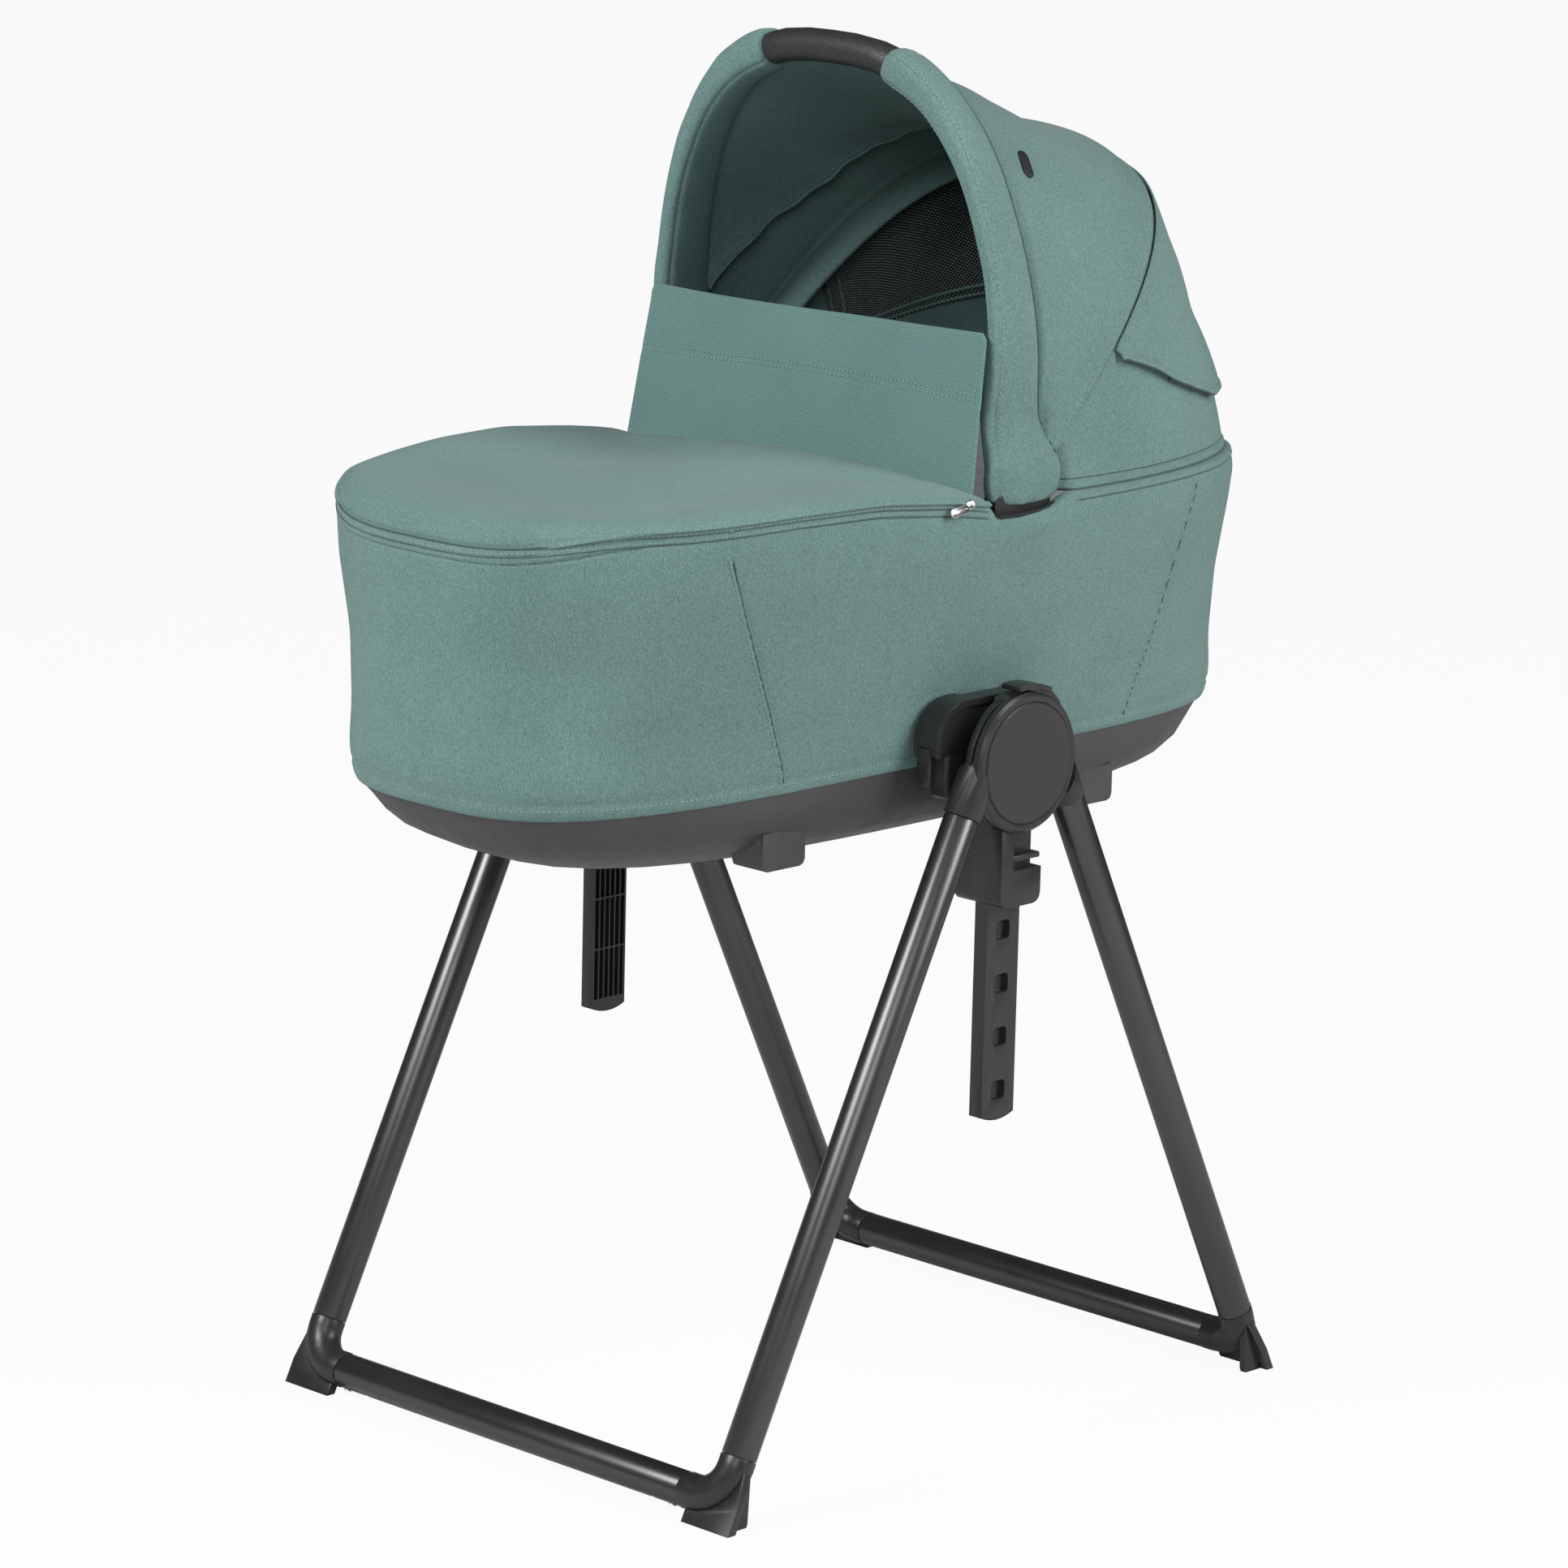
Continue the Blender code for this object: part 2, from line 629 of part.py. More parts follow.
def build_rear_socket(side, side_sign):
    """Rear leg socket: its knuckle turns between the hub plate and the outer ring."""
    socket = socket_body(1, side_sign, ((0.020, 0.0, 0.80),))
    cut(socket, disc(side_sign, HUB_RING_R + RUNNING, (KNUCKLE_OUTER - 0.001, 0.3)))
    cut(socket, disc(side_sign, HUB_PLATE_R + RUNNING, (0.2, KNUCKLE_INNER + 0.001)))
    knuckle = disc(side_sign, HUB_RING_R, (KNUCKLE_INNER, KNUCKLE_OUTER))
    join(socket, knuckle)
    cut(socket, disc(side_sign, HUB_PIN_R + 0.0001, (0.2, 0.3), segments=24))
    return place_later(socket, f"rear_socket_{side}", BLACK, FRAMES["rear"])


def place_later(item, name, material, parent):
    """Parent a piece whose modifiers use cutters in the same axes, moving the cutters with it."""
    for modifier in item.modifiers:
        if modifier.type == "BOOLEAN":
            carry(modifier.object, parent)
    adopt(item, name, material, parent)
    return item


def carry(tool, parent):
    tool.parent = parent
    for modifier in tool.modifiers:
        if modifier.type == "BOOLEAN":
            carry(modifier.object, parent)


def build_hub_guide(side, side_sign):
    """Fixed hub: guide for the height bar, pivot plate with its pin, and the seat of the fold button."""
    guide = plate(rounded_outline(GUIDE_HALF, -GUIDE_BOTTOM, -GUIDE_TOP, 0.002, 3, GUIDE_CORNER),
                  GUIDE_OUTER - GUIDE_INNER, (0, side_sign * (GUIDE_INNER + GUIDE_OUTER) / 2, 0))
    soften(guide, 0.0035, 2, 60)
    cut(guide, disc(side_sign, HUB_RING_R + RUNNING, (PLATE_OUTER, 0.3)))
    join(guide, disc(side_sign, HUB_PLATE_R, (PLATE_INNER, PLATE_OUTER)))
    join(guide, disc(side_sign, HUB_PIN_R, (PLATE_INNER + 0.001, CAP_INNER - GAP), segments=24))
    join(guide, button_seat(side_sign))
    channel = side_box(side_sign, (-RACK_WIDTH / 2 - GAP, RACK_WIDTH / 2 + GAP),
                       (RACK_INNER - GAP, RACK_OUTER + GAP), (-0.2, GUIDE_TOP))
    cut(guide, channel)
    notch_top = -0.050
    notch = side_box(side_sign, (NOTCH_LEFT, GUIDE_HALF + 0.01), (PLATE_OUTER, GUIDE_OUTER + 0.01),
                     (-NOTCH_FLOOR, notch_top))
    cut(guide, notch)
    pocket = side_box(side_sign, (-LEVER_HALF - GAP + LEVER_CENTRE, LEVER_HALF + GAP + LEVER_CENTRE),
                      (PLATE_OUTER + 0.0005, PLATE_OUTER + 0.0005 + LEVER_SHANK + 2 * GAP),
                      (-NOTCH_FLOOR - 0.021, -NOTCH_FLOOR + 0.001))
    cut(guide, pocket)
    cut(guide, side_box(side_sign, (BUTTON_SHANK_X - BUTTON_SHANK_HALF - GAP,
                                    BUTTON_SHANK_X + BUTTON_SHANK_HALF + GAP),
                        (BUTTON_SHANK_INNER - GAP, BUTTON_SHANK_INNER + BUTTON_SHANK_THICK + GAP),
                        (BUTTON_SHANK_LOW - BUTTON_TRAVEL - GAP, 0.1)))
    return place_later(guide, f"hub_guide_{side}", BLACK, STAND)


def ring_sector(inner, outer, start, end, steps=8):
    """Outline of a piece of a ring; angles from the top towards +X."""
    high = arc((0, 0), outer, math.pi / 2 - start, math.pi / 2 - end, steps)
    low = arc((0, 0), inner, math.pi / 2 - end, math.pi / 2 - start, steps)
    return high + low


def button_seat(side_sign):
    outline = ring_sector(HUB_PLATE_R - 0.006, BUTTON_LOW - BUTTON_TRAVEL - RUNNING, BUTTON_START, BUTTON_END)
    return plate(outline, HUB_PLATE_THICK, (0, side_sign * (PLATE_INNER + PLATE_OUTER) / 2, 0))


def build_fold_button(side, side_sign):
    """Button along the top of the hub, with its shank in the hub plate."""
    outer_face = RING_OUTER - 0.0015
    button = plate(ring_sector(BUTTON_LOW, BUTTON_HIGH, BUTTON_START, BUTTON_END), outer_face - PLATE_INNER,
                   (0, side_sign * (PLATE_INNER + outer_face) / 2, 0))
    soften(button, 0.0012, 2, 50)
    shank = side_box(side_sign, (BUTTON_SHANK_X - BUTTON_SHANK_HALF, BUTTON_SHANK_X + BUTTON_SHANK_HALF),
                     (BUTTON_SHANK_INNER, BUTTON_SHANK_INNER + BUTTON_SHANK_THICK),
                     (BUTTON_SHANK_LOW, BUTTON_LOW + 0.001))
    join(button, shank)
    return place_later(button, f"fold_button_{side}", BLACK, STAND)


def build_hub_cap(side, side_sign):
    """Plain round cover over the pivot."""
    cap = disc(side_sign, CAP_R, (CAP_INNER, CAP_INNER + CAP_THICK))
    soften(cap, 0.0012, 1, 60)
    smooth(cap)
    return place(cap, f"hub_cap_{side}", BLACK, STAND)


def build_latch_lever(side, side_sign):
    """Lift lever that frees the height bar: a finger blade on a flat shank."""
    blade_low = -NOTCH_FLOOR + 0.0075
    inner = PLATE_OUTER + 0.0005 + GAP
    blade = side_box(side_sign, (NOTCH_LEFT + 0.0006, GUIDE_HALF - 0.0008), (inner, GUIDE_OUTER - 0.0008),
                     (blade_low, blade_low + LEVER_THICK))
    soften(blade, 0.0012, 2, 50)
    shank = side_box(side_sign, (LEVER_CENTRE - LEVER_HALF, LEVER_CENTRE + LEVER_HALF),
                     (inner, inner + LEVER_SHANK), (-NOTCH_FLOOR - 0.020, blade_low + 0.0025))
    join(blade, shank)
    return place_later(blade, f"latch_lever_{side}", BLACK, STAND)


def build_rack(side, side_sign):
    """Height bar: rounded lower end, square latch slots outside, ribs between cross walls inside."""
    half = RACK_WIDTH / 2
    sag = 0.0045
    radius = (half ** 2 + sag ** 2) / (2 * sag)
    spread = math.asin(half / radius)
    low = arc((0, -RACK_BELOW + radius), radius, -math.pi / 2 - spread, -math.pi / 2 + spread, 8)
    outline = low + [(half, RACK_ABOVE), (-half, RACK_ABOVE)]
    rack = plate(outline, RACK_THICK, (0, side_sign * RACK_PLANE, 0))
    soften(rack, 0.0010, 1, 60)
    for index in range(SLOT_COUNT):
        middle = -SLOT_FIRST + index * SLOT_PITCH
        slot = plate(rounded_outline(SLOT_SIZE / 2, middle - SLOT_SIZE / 2, middle + SLOT_SIZE / 2, 0.0035, 2),
                     2 * SLOT_DEPTH, (0, side_sign * RACK_OUTER, 0))
        cut(rack, slot)
    bm = bmesh.new()
    margin = 0.0022
    groove = (RACK_WIDTH - 2 * margin - (RIB_GROOVES - 1) * RIB_WIDTH) / RIB_GROOVES
    for cell in range(SLOT_COUNT):
        bottom = -SLOT_FIRST - 0.0135 + cell * SLOT_PITCH
        height = SLOT_PITCH - RIB_WIDTH
        for column in range(RIB_GROOVES):
            left = -half + margin + column * (groove + RIB_WIDTH)
            place_at = Matrix.Translation((left + groove / 2, side_sign * RACK_INNER, bottom + height / 2))
            size = Matrix.Diagonal((groove, 2 * RIB_DEPTH, height, 1))
            bmesh.ops.create_cube(bm, size=1, matrix=place_at @ size)
    cut(rack, from_bmesh(bm, "grooves"))
    return place_later(rack, f"rack_{side}", BLACK, STAND)


def build_dock(side, side_sign):
    """Dock on top of the height bar: a hood with a recessed face, a pocket for the cot's adapter."""
    depth = DOCK_OUTER - DOCK_INNER
    middle = side_sign * (DOCK_INNER + DOCK_OUTER) / 2
    hood = plate(rounded_outline(DOCK_HALF, DOCK_SILL, DOCK_TOP, DOCK_CORNER, 5, 0.004), depth, (0, middle, 0))
    soften(hood, 0.0030, 1, 60)
    recess = plate(rounded_outline(DOCK_HALF - DOCK_RIM, DOCK_SILL - 0.01, DOCK_TOP - DOCK_RIM,
                                   DOCK_CORNER - DOCK_RIM, 5, 0.002),
                   2 * DOCK_RECESS, (0, side_sign * DOCK_OUTER, 0))
    cut(hood, recess)
    base_out = DOCK_OUTER - DOCK_RECESS - 0.001
    base = side_box(side_sign, (-DOCK_BASE_HALF, DOCK_BASE_HALF), (DOCK_INNER + 0.002, base_out),
                    (-DOCK_BASE, DOCK_SILL + 0.004))
    soften(base, 0.003, 1, 60)
    join(hood, base)
    pocket = side_box(side_sign, (-ADAPTER_HALF - RUNNING, ADAPTER_HALF + RUNNING),
                      (0.19, ADAPTER_OUTER + RUNNING), (-ADAPTER_BOTTOM - GAP, 0.1))
    seat = side_box(side_sign, (-RACK_WIDTH / 2 - GAP, RACK_WIDTH / 2 + GAP), (RACK_INNER - GAP, 0.26),
                    (-0.1, RACK_ABOVE + GAP))
    tab_low = -TAB_BOTTOM
    tab_seat = side_box(side_sign, (-DOCK_HALF - 0.01, -DOCK_HALF + TAB_THICK + TAB_TRAVEL + GAP),
                        (TAB_PLANE - TAB_WIDTH / 2 - GAP, TAB_PLANE + TAB_WIDTH / 2 + GAP),
                        (tab_low - 0.02, TAB_TOP + GAP))
    cut(hood, pocket, seat, tab_seat)
    return place_later(hood, f"dock_{side}", BLACK, STAND)


def build_release_tab(side, side_sign):
    """Finger tab on the dock's foot-end side, which frees the cot."""
    tab = side_box(side_sign, (-DOCK_HALF - 0.0012, -DOCK_HALF - 0.0012 + TAB_THICK),
                   (TAB_PLANE - TAB_WIDTH / 2, TAB_PLANE + TAB_WIDTH / 2), (-TAB_BOTTOM, TAB_TOP))
    soften(tab, 0.0014, 2, 50)
    return place(tab, f"dock_release_{side}", BLACK, STAND)


def plan_angles(half_length, half_width):
    """Angles that step evenly round the cot's plan."""
    fine = 4000
    lengths = [0.0]
    before = plan_point(half_length, half_width, 0.0)
    for index in range(1, fine + 1):
        point = plan_point(half_length, half_width, 2 * math.pi * index / fine)
        lengths.append(lengths[-1] + (point - before).length)
        before = point
    angles = []
    cursor = 0
    for index in range(PLAN_POINTS):
        target = lengths[-1] * index / PLAN_POINTS
        while lengths[cursor + 1] < target:
            cursor += 1
        share = (target - lengths[cursor]) / (lengths[cursor + 1] - lengths[cursor])
        angles.append(2 * math.pi * (cursor + share) / fine)
    return angles


def plan_point(half_length, half_width, angle):
    """Point of the cot's plan, a superellipse."""
    cosine = math.cos(angle)
    sine = math.sin(angle)
    power = 2 / PLAN_POWER
    x = math.copysign(abs(cosine) ** power, cosine) * half_length
    y = math.copysign(abs(sine) ** power, sine) * half_width
    return Vector((x, y))


PLAN_ANGLES = plan_angles(COVER_WALL[1][1], COVER_WALL[1][2])


def hem_drop(x, z):
    """How far a wall point is lowered towards the ends, most at the hem."""
    drop = HEM_DROP_FOOT if x < 0 else HEM_DROP_HEAD
    if z >= HEM:
        weight = max(0.0, (DROP_TOP - z) / (DROP_TOP - HEM))
    else:
        weight = max(0.0, (z - DROP_BOTTOM) / (HEM - DROP_BOTTOM))
    return drop * weight * (x / COVER_WALL[0][1]) ** 2


def plan_ring(half_length, half_width, z):
    ring = []
    for angle in PLAN_ANGLES:
        point = plan_point(half_length, half_width, angle)
        ring.append(Vector((point.x, point.y, z - hem_drop(point.x, z))))
    return ring


def wall_at(z, wall=COVER_WALL):
    """Half length and half width of a wall at a height."""
    levels = sorted(wall)
    if z <= levels[0][0]:
        return levels[0][1:]
    for low, high in zip(levels, levels[1:]):
        if z <= high[0]:
            share = (z - low[0]) / (high[0] - low[0])
            return tuple(a + (b - a) * share for a, b in zip(low[1:], high[1:]))
    return levels[-1][1:]


def band(bm, row, following):
    """Triangles between two rings, split the same way whichever ring is the upper one."""
    count = len(row)
    downwards = row[0].co.z >= following[0].co.z
    for index in range(count):
        nxt = (index + 1) % count
        if downwards:
            bm.faces.new((row[index], row[nxt], following[nxt]))
            bm.faces.new((row[index], following[nxt], following[index]))
        else:
            bm.faces.new((row[index], row[nxt], following[index]))
            bm.faces.new((row[nxt], following[nxt], following[index]))


def loft(rings, name, closed_loop=False, cap_first=False, cap_last=False):
    """Solid through rings of equal count; closed_loop joins the last ring to the first."""
    bm = bmesh.new()
    rows = [[bm.verts.new(point) for point in ring] for ring in rings]
    pairs = list(zip(rows, rows[1:]))
    if closed_loop:
        pairs.append((rows[-1], rows[0]))
    for row, following in pairs:
        band(bm, row, following)
    if cap_first:
        fan(bm, rows[0])
    if cap_last:
        fan(bm, rows[-1])
    return from_bmesh(bm, name)


def fan(bm, row):
    """Close a ring with triangles to its middle."""
    middle = sum((vert.co for vert in row), Vector()) / len(row)
    centre = bm.verts.new(middle)
    for index in range(len(row)):
        bm.faces.new((row[index], row[(index + 1) % len(row)], centre))


def wall_rings(levels, inset):
    return [plan_ring(length - inset, width - inset, z) for z, length, width in levels]


def build_side_cover():
    """Fabric wall of the cot from the rim to the hem, cut out for the adapters and the bow hinges."""
    outer = wall_rings(COVER_WALL, 0)
    inner = wall_rings(reversed(COVER_WALL), COVER_THICK)
    cover = loft(outer + inner, "side_cover", closed_loop=True)
    for _, side_sign in SIDES:
        cut(cover, side_box(side_sign, (HUB_X - ADAPTER_HALF - 0.0012, HUB_X + ADAPTER_HALF + 0.0012),
                            (0.17, 0.25), (HEM - 0.01, HUB_Z + ADAPTER_TOP + 0.0012)))
        cut(cover, side_box(side_sign, (PIVOT_X - HINGE_DIP, PIVOT_X + HINGE_DIP), (0.17, 0.25),
                            (PIVOT_Z - 0.0065, 0.9)))
    smooth(cover, 50)
    return adopt(cover, "side_cover", TEAL)


def tub_levels():
    inset = COVER_THICK + GAP
    levels = [(TUB_RIM, *(value - inset for value in wall_at(TUB_RIM)))]
    levels += [(z, length - inset, width - inset) for z, length, width in COVER_WALL if z < 0.79]
    return levels + list(TUB_WALL)


def tub_rings(inset):
    """Rings of the tub's wall from rim to floor, inset from its outer face."""
    rings = []
    for z, length, width in tub_levels():
        lift = inset if z < 0.56 else 0
        rings.append(plan_ring(length - inset, width - inset, z + lift))
    return rings


def build_tub():
    """Hard tub: its upper wall is behind the cover, its lower part shows, with four feet."""
    tub = shell_with_floor(tub_rings(0), tub_rings(TUB_THICK)[::-1])
    outline = rounded_outline(TUB_FOOT_LENGTH / 2, TUB_FOOT_BOTTOM, TUB_FOOT_TOP, 0.002, 2, 0.006)
    for side_sign in (-1, 1):
        for end_sign in (-1, 1):
            middle = end_sign * TUB_FOOT_X
            foot = plate(outline, TUB_FOOT_WIDTH, (middle, side_sign * TUB_FOOT_Y, 0))
            soften(foot, 0.004, 1, 60)
            cut(foot, loft(tub_rings(TUB_THICK / 2), "tub_middle", cap_first=True, cap_last=True))
            join(tub, foot)
    smooth(tub, 40)
    return adopt(tub, "tub_shell", GREY)


def shell_with_floor(outer, inner):
    """Bowl: outer rings run rim to floor, inner rings floor to rim."""
    bm = bmesh.new()
    rows = [[bm.verts.new(point) for point in ring] for ring in outer + inner]
    split = len(outer)
    pairs = [pair for place, pair in enumerate(zip(rows, rows[1:])) if place != split - 1]
    pairs.append((rows[-1], rows[0]))
    for row, following in pairs:
        band(bm, row, following)
    fan(bm, rows[split - 1])
    fan(bm, rows[split])
    return from_bmesh(bm, "tub_shell")


def build_rim_frame():
    """Closed tube round the mouth of the cot, on the tub's upper edge."""
    length, width = wall_at(RIM_TUBE_Z)
    inset = COVER_THICK + GAP + RIM_TUBE_R
    ring = plan_ring(length - inset, width - inset, RIM_TUBE_Z)
    rim = tube(ring, RIM_TUBE_R, closed=True, sides=1)
    smooth(rim, 60)
    return adopt(rim, "rim_frame", BLACK)


def liner_levels():
    inset = COVER_THICK + TUB_THICK + 2 * GAP
    heights = [LINER_RIM] + [level[0] for level in COVER_WALL if HEM < level[0] < LINER_RIM]
    return [(z, *(value - inset for value in wall_at(z))) for z in heights]


def build_liner():
    """Padded lining of the cot's side wall."""
    levels = liner_levels()
    outer = [plan_ring(length, width, z) for z, length, width in levels]
    inner = [plan_ring(length - LINER_THICK, width - LINER_THICK, z) for z, length, width in reversed(levels)]
    liner = loft(outer + inner, "liner", closed_loop=True)
    smooth(liner, 50)
    return adopt(liner, "liner", LINING)


def build_mattress():
    """Mattress that fills the tub's rounded floor, with drawn-in sides and a crowned top."""
    base = TUB_BOTTOM + TUB_THICK + GAP
    seam = base + MATTRESS_THICK / 2
    top = base + MATTRESS_THICK
    levels = [(base + rise, ends, sides) for rise, ends, sides in MATTRESS_UNDERSIDE]
    levels += [(seam - PIPING, 0, 0), (seam, PIPING, PIPING), (seam + PIPING, 0, 0)]
    levels += [(top - drop, ends, sides) for drop, ends, sides in MATTRESS_CROWN]
    rings = [plan_ring(MATTRESS_LENGTH - ends, MATTRESS_WIDTH - sides, z) for z, ends, sides in levels]
    mattress = loft(rings, "mattress", cap_first=True, cap_last=True)
    smooth(mattress, 60)
    return adopt(mattress, "mattress", LINING)


def build_adapter(side, side_sign):
    """Tongue on the tub's side that drops into the dock's pocket."""
    inner = wall_at(HUB_Z + ADAPTER_TOP)[1] - COVER_THICK
    adapter = plate(rounded_outline(ADAPTER_HALF, -ADAPTER_BOTTOM, ADAPTER_TOP, 0.002, 2, 0.006),
                    ADAPTER_OUTER - inner, (HUB_X, side_sign * (ADAPTER_OUTER + inner) / 2, HUB_Z))
    return adopt(adapter, f"cot_adapter_{side}", BLACK)


def apron_height(x, y):
    """Height of the apron's crown above its edge."""
    length, width = wall_at(RIM_TOP)
    along = max(0.0, (APRON_EDGE - x) / (length + APRON_EDGE)) ** PLAN_POWER
    across = (abs(y) / width) ** PLAN_POWER
    return APRON_CROWN * (1 - min(1.0, along + across) ** (APRON_ROUND / PLAN_POWER))


def apron_edge_x(y):
    """Straight edge of the apron, set back where the crown lifts it into the leaning flap."""
    return APRON_EDGE + apron_height(APRON_EDGE, y) * math.tan(FLAP_LEAN)


def apron_outline():
    """Foot end of the plan, closed by the straight edge, as a list of (x, y)."""
    length, width = wall_at(RIM_TOP)
    steps = 24
    start = math.pi / 2
    points = []
    for index in range(steps + 1):
        angle = start + math.pi * index / steps
        point = plan_point(length, width, angle)
        points.append((point.x, point.y))
    points = [(x, y) for x, y in points if x < APRON_EDGE - 0.01]
    share = (APRON_EDGE / -length)
    edge_y = width * (1 - abs(share) ** PLAN_POWER) ** (1 / PLAN_POWER)
    edge = []
    for index in range(13):
        y = -edge_y + 2 * edge_y * index / 12
        edge.append((apron_edge_x(y), y))
    return points + edge


def build_apron():
    """Crowned fabric cover over the foot end, one closed sheet that lies on the rim."""
    outline = apron_outline()
    middle = Vector((-0.16, 0))
    base = RIM_TOP + GAP
    bm = bmesh.new()
    layers = []
    for lift in (APRON_THICK, 0.0):
        rows = []
        for ring in range(APRON_RINGS):
            share = 1 - (ring / APRON_RINGS) ** 1.2
            row = []
            for x, y in outline:
                px = middle.x + (x - middle.x) * share
                py = middle.y + (y - middle.y) * share
                row.append(bm.verts.new((px, py, base + lift + apron_height(px, py))))
            rows.append(row)
        centre = bm.verts.new((middle.x, 0, base + lift + apron_height(middle.x, 0)))
        layers.append((rows, centre))
    count = len(outline)
    for rows, centre in layers:
        for row, following in zip(rows, rows[1:]):
            for index in range(count):
                nxt = (index + 1) % count
                bm.faces.new((row[index], row[nxt], following[nxt], following[index]))
        for index in range(count):
            bm.faces.new((rows[-1][index], rows[-1][(index + 1) % count], centre))
    top, bottom = layers[0][0][0], layers[1][0][0]
    for index in range(count):
        nxt = (index + 1) % count
        bm.faces.new((top[index], top[nxt], bottom[nxt], bottom[index]))
    apron = from_bmesh(bm, "apron")
    smooth(apron, 50)
    return adopt(apron, "apron", TEAL)


def build_wind_flap():
    """Upright flap on the apron's straight edge; its lower edge follows the apron's crown."""
    hinge = empty("flap_hinge_axis", (apron_edge_x(0) + GAP, 0, FLAP_HINGE_Z), FLAP_LEAN)
    outline = []
    steps = 14
    for index in range(steps + 1):
        y = -FLAP_HALF + 2 * FLAP_HALF * index / steps
        surface = RIM_TOP + GAP + APRON_THICK + apron_height(APRON_EDGE, y)
        outline.append((y, surface + GAP - FLAP_HINGE_Z))
    corner = 0.010
    high = FLAP_HEIGHT
    half = FLAP_HALF - FLAP_TAPER
    outline += arc((half - corner, high - corner), corner, 0, math.pi / 2, 4)
    outline += arc((-half + corner, high - corner), corner, math.pi / 2, math.pi, 4)
    flap = plate(outline, FLAP_THICK, (FLAP_THICK / 2, 0, 0), "X")
    soften(flap, 0.0012, 2, 60)
    return place(flap, "wind_flap", TEAL, hinge)


def build_zip_pull():
    """Zip slider and its pull at the near end of the apron's zip."""
    width = wall_at(RIM_TOP - 0.008)[1]
    body = box((-0.050, -width - 0.0034, RIM_TOP - 0.008), (-0.038, -width - 0.0004, RIM_TOP - 0.001))
    pull = box((-0.068, -width - 0.0052, RIM_TOP - 0.0075), (-0.048, -width - 0.0030, RIM_TOP - 0.0025))
    join(body, pull)
    soften(body, 0.0005, 1, 60)
    return adopt(body, "zip_pull", CHROME)


def ease(share):
    """Smooth step from 0 to 1."""
    share = max(0.0, min(1.0, share))
    return share * share * (3 - 2 * share)


def handle_point(angle):
    """Point of the handle bow in the bow hinge's axes; angle runs from the left foot to the right."""
    cosine = math.cos(angle)
    sine = math.sin(angle)
    power = 2 / HANDLE_POWER
    z = abs(sine) ** power * HANDLE_HEIGHT
    half = HANDLE_HALF + HANDLE_FLARE * ease((z - FLARE_START) / (FLARE_END - FLARE_START))
    y = math.copysign(abs(cosine) ** power, cosine) * half
    return Vector((HANDLE_BASE - HANDLE_FORWARD * (z / HANDLE_HEIGHT) ** 2, y, z))


def even_bow(point_at, start, end, count):
    """Evenly spaced points along a bow."""
    fine = 1500
    samples = [point_at(start + (end - start) * index / fine) for index in range(fine + 1)]
    lengths = [0.0]
    for before, after in zip(samples, samples[1:]):
        lengths.append(lengths[-1] + (after - before).length)
    points = []
    cursor = 0
    for index in range(count + 1):
        target = lengths[-1] * index / count
        while cursor < fine - 1 and lengths[cursor + 1] < target:
            cursor += 1
        share = (target - lengths[cursor]) / (lengths[cursor + 1] - lengths[cursor])
        points.append(samples[cursor].lerp(samples[cursor + 1], min(1.0, share)))
    return points


HANDLE_HINGE = empty("handle_bow_axis", (PIVOT_X, 0, PIVOT_Z))
MID_HINGE = empty("mid_bow_axis", (PIVOT_X, 0, PIVOT_Z), SEAM_ANGLE)


BOW_LINE = even_bow(handle_point, 0.0, math.pi, 36)


def part_of_bow(inside):
    """Points of the bow's line where inside(point) is positive, with the crossing points added."""
    points = []
    for before, after in zip(BOW_LINE, BOW_LINE[1:]):
        first = inside(before)
        second = inside(after)
        if first > 0:
            points.append(before)
        if (first > 0) != (second > 0):
            points.append(before.lerp(after, first / (first - second)))
    if inside(BOW_LINE[-1]) > 0:
        points.append(BOW_LINE[-1])
    return points


def bow_bore():
    return tube(BOW_LINE, HANDLE_TUBE_R + GAP, sides=2)


def build_handle_bow():
    """Tube bow with a flat eye at each end that turns on the hinge pin."""
    bow = tube(BOW_LINE, HANDLE_TUBE_R, sides=2)
    for _, side_sign in SIDES:
        eye = disc(side_sign, BOW_END_R, (HANDLE_HALF - 0.0065, HANDLE_HALF + 0.0065), segments=18)
        join(bow, eye)
    for _, side_sign in SIDES:
        cut(bow, disc(side_sign, HINGE_PIN_R + 0.0002, (0.1, 0.25), segments=12))
        cut(bow, side_box(side_sign, (-0.03, 0.03), (HANDLE_HALF + 0.0065, 0.25), (-0.03, 0.012)))
        cut(bow, side_box(side_sign, (-0.03, 0.03), (0.15, HANDLE_HALF - 0.0065), (-0.03, 0.012)))
    return place_later(bow, "handle_bow", BLACK, HANDLE_HINGE)


def build_grip():
    """Leatherette grip at the top of the bow."""
    grip = tube(part_of_bow(lambda point: GRIP_HALF - abs(point.y)), GRIP_R, sides=4)
    cut(grip, bow_bore())
    smooth(grip, 40)
    return place_later(grip, "handle_grip", LEATHER, HANDLE_HINGE)


def sleeve_half_width(share):
    """Sleeve's half width along X, by its share of the bow's height."""
    low_share = max(0.0, 1 - share / 0.55) ** 1.5
    high_share = max(0.0, (share - 0.62) / 0.38)
    wide = (SLEEVE_LOW_HALF - SLEEVE_MID_HALF) * low_share
    return SLEEVE_MID_HALF + wide + (SLEEVE_TOP_HALF - SLEEVE_MID_HALF) * high_share


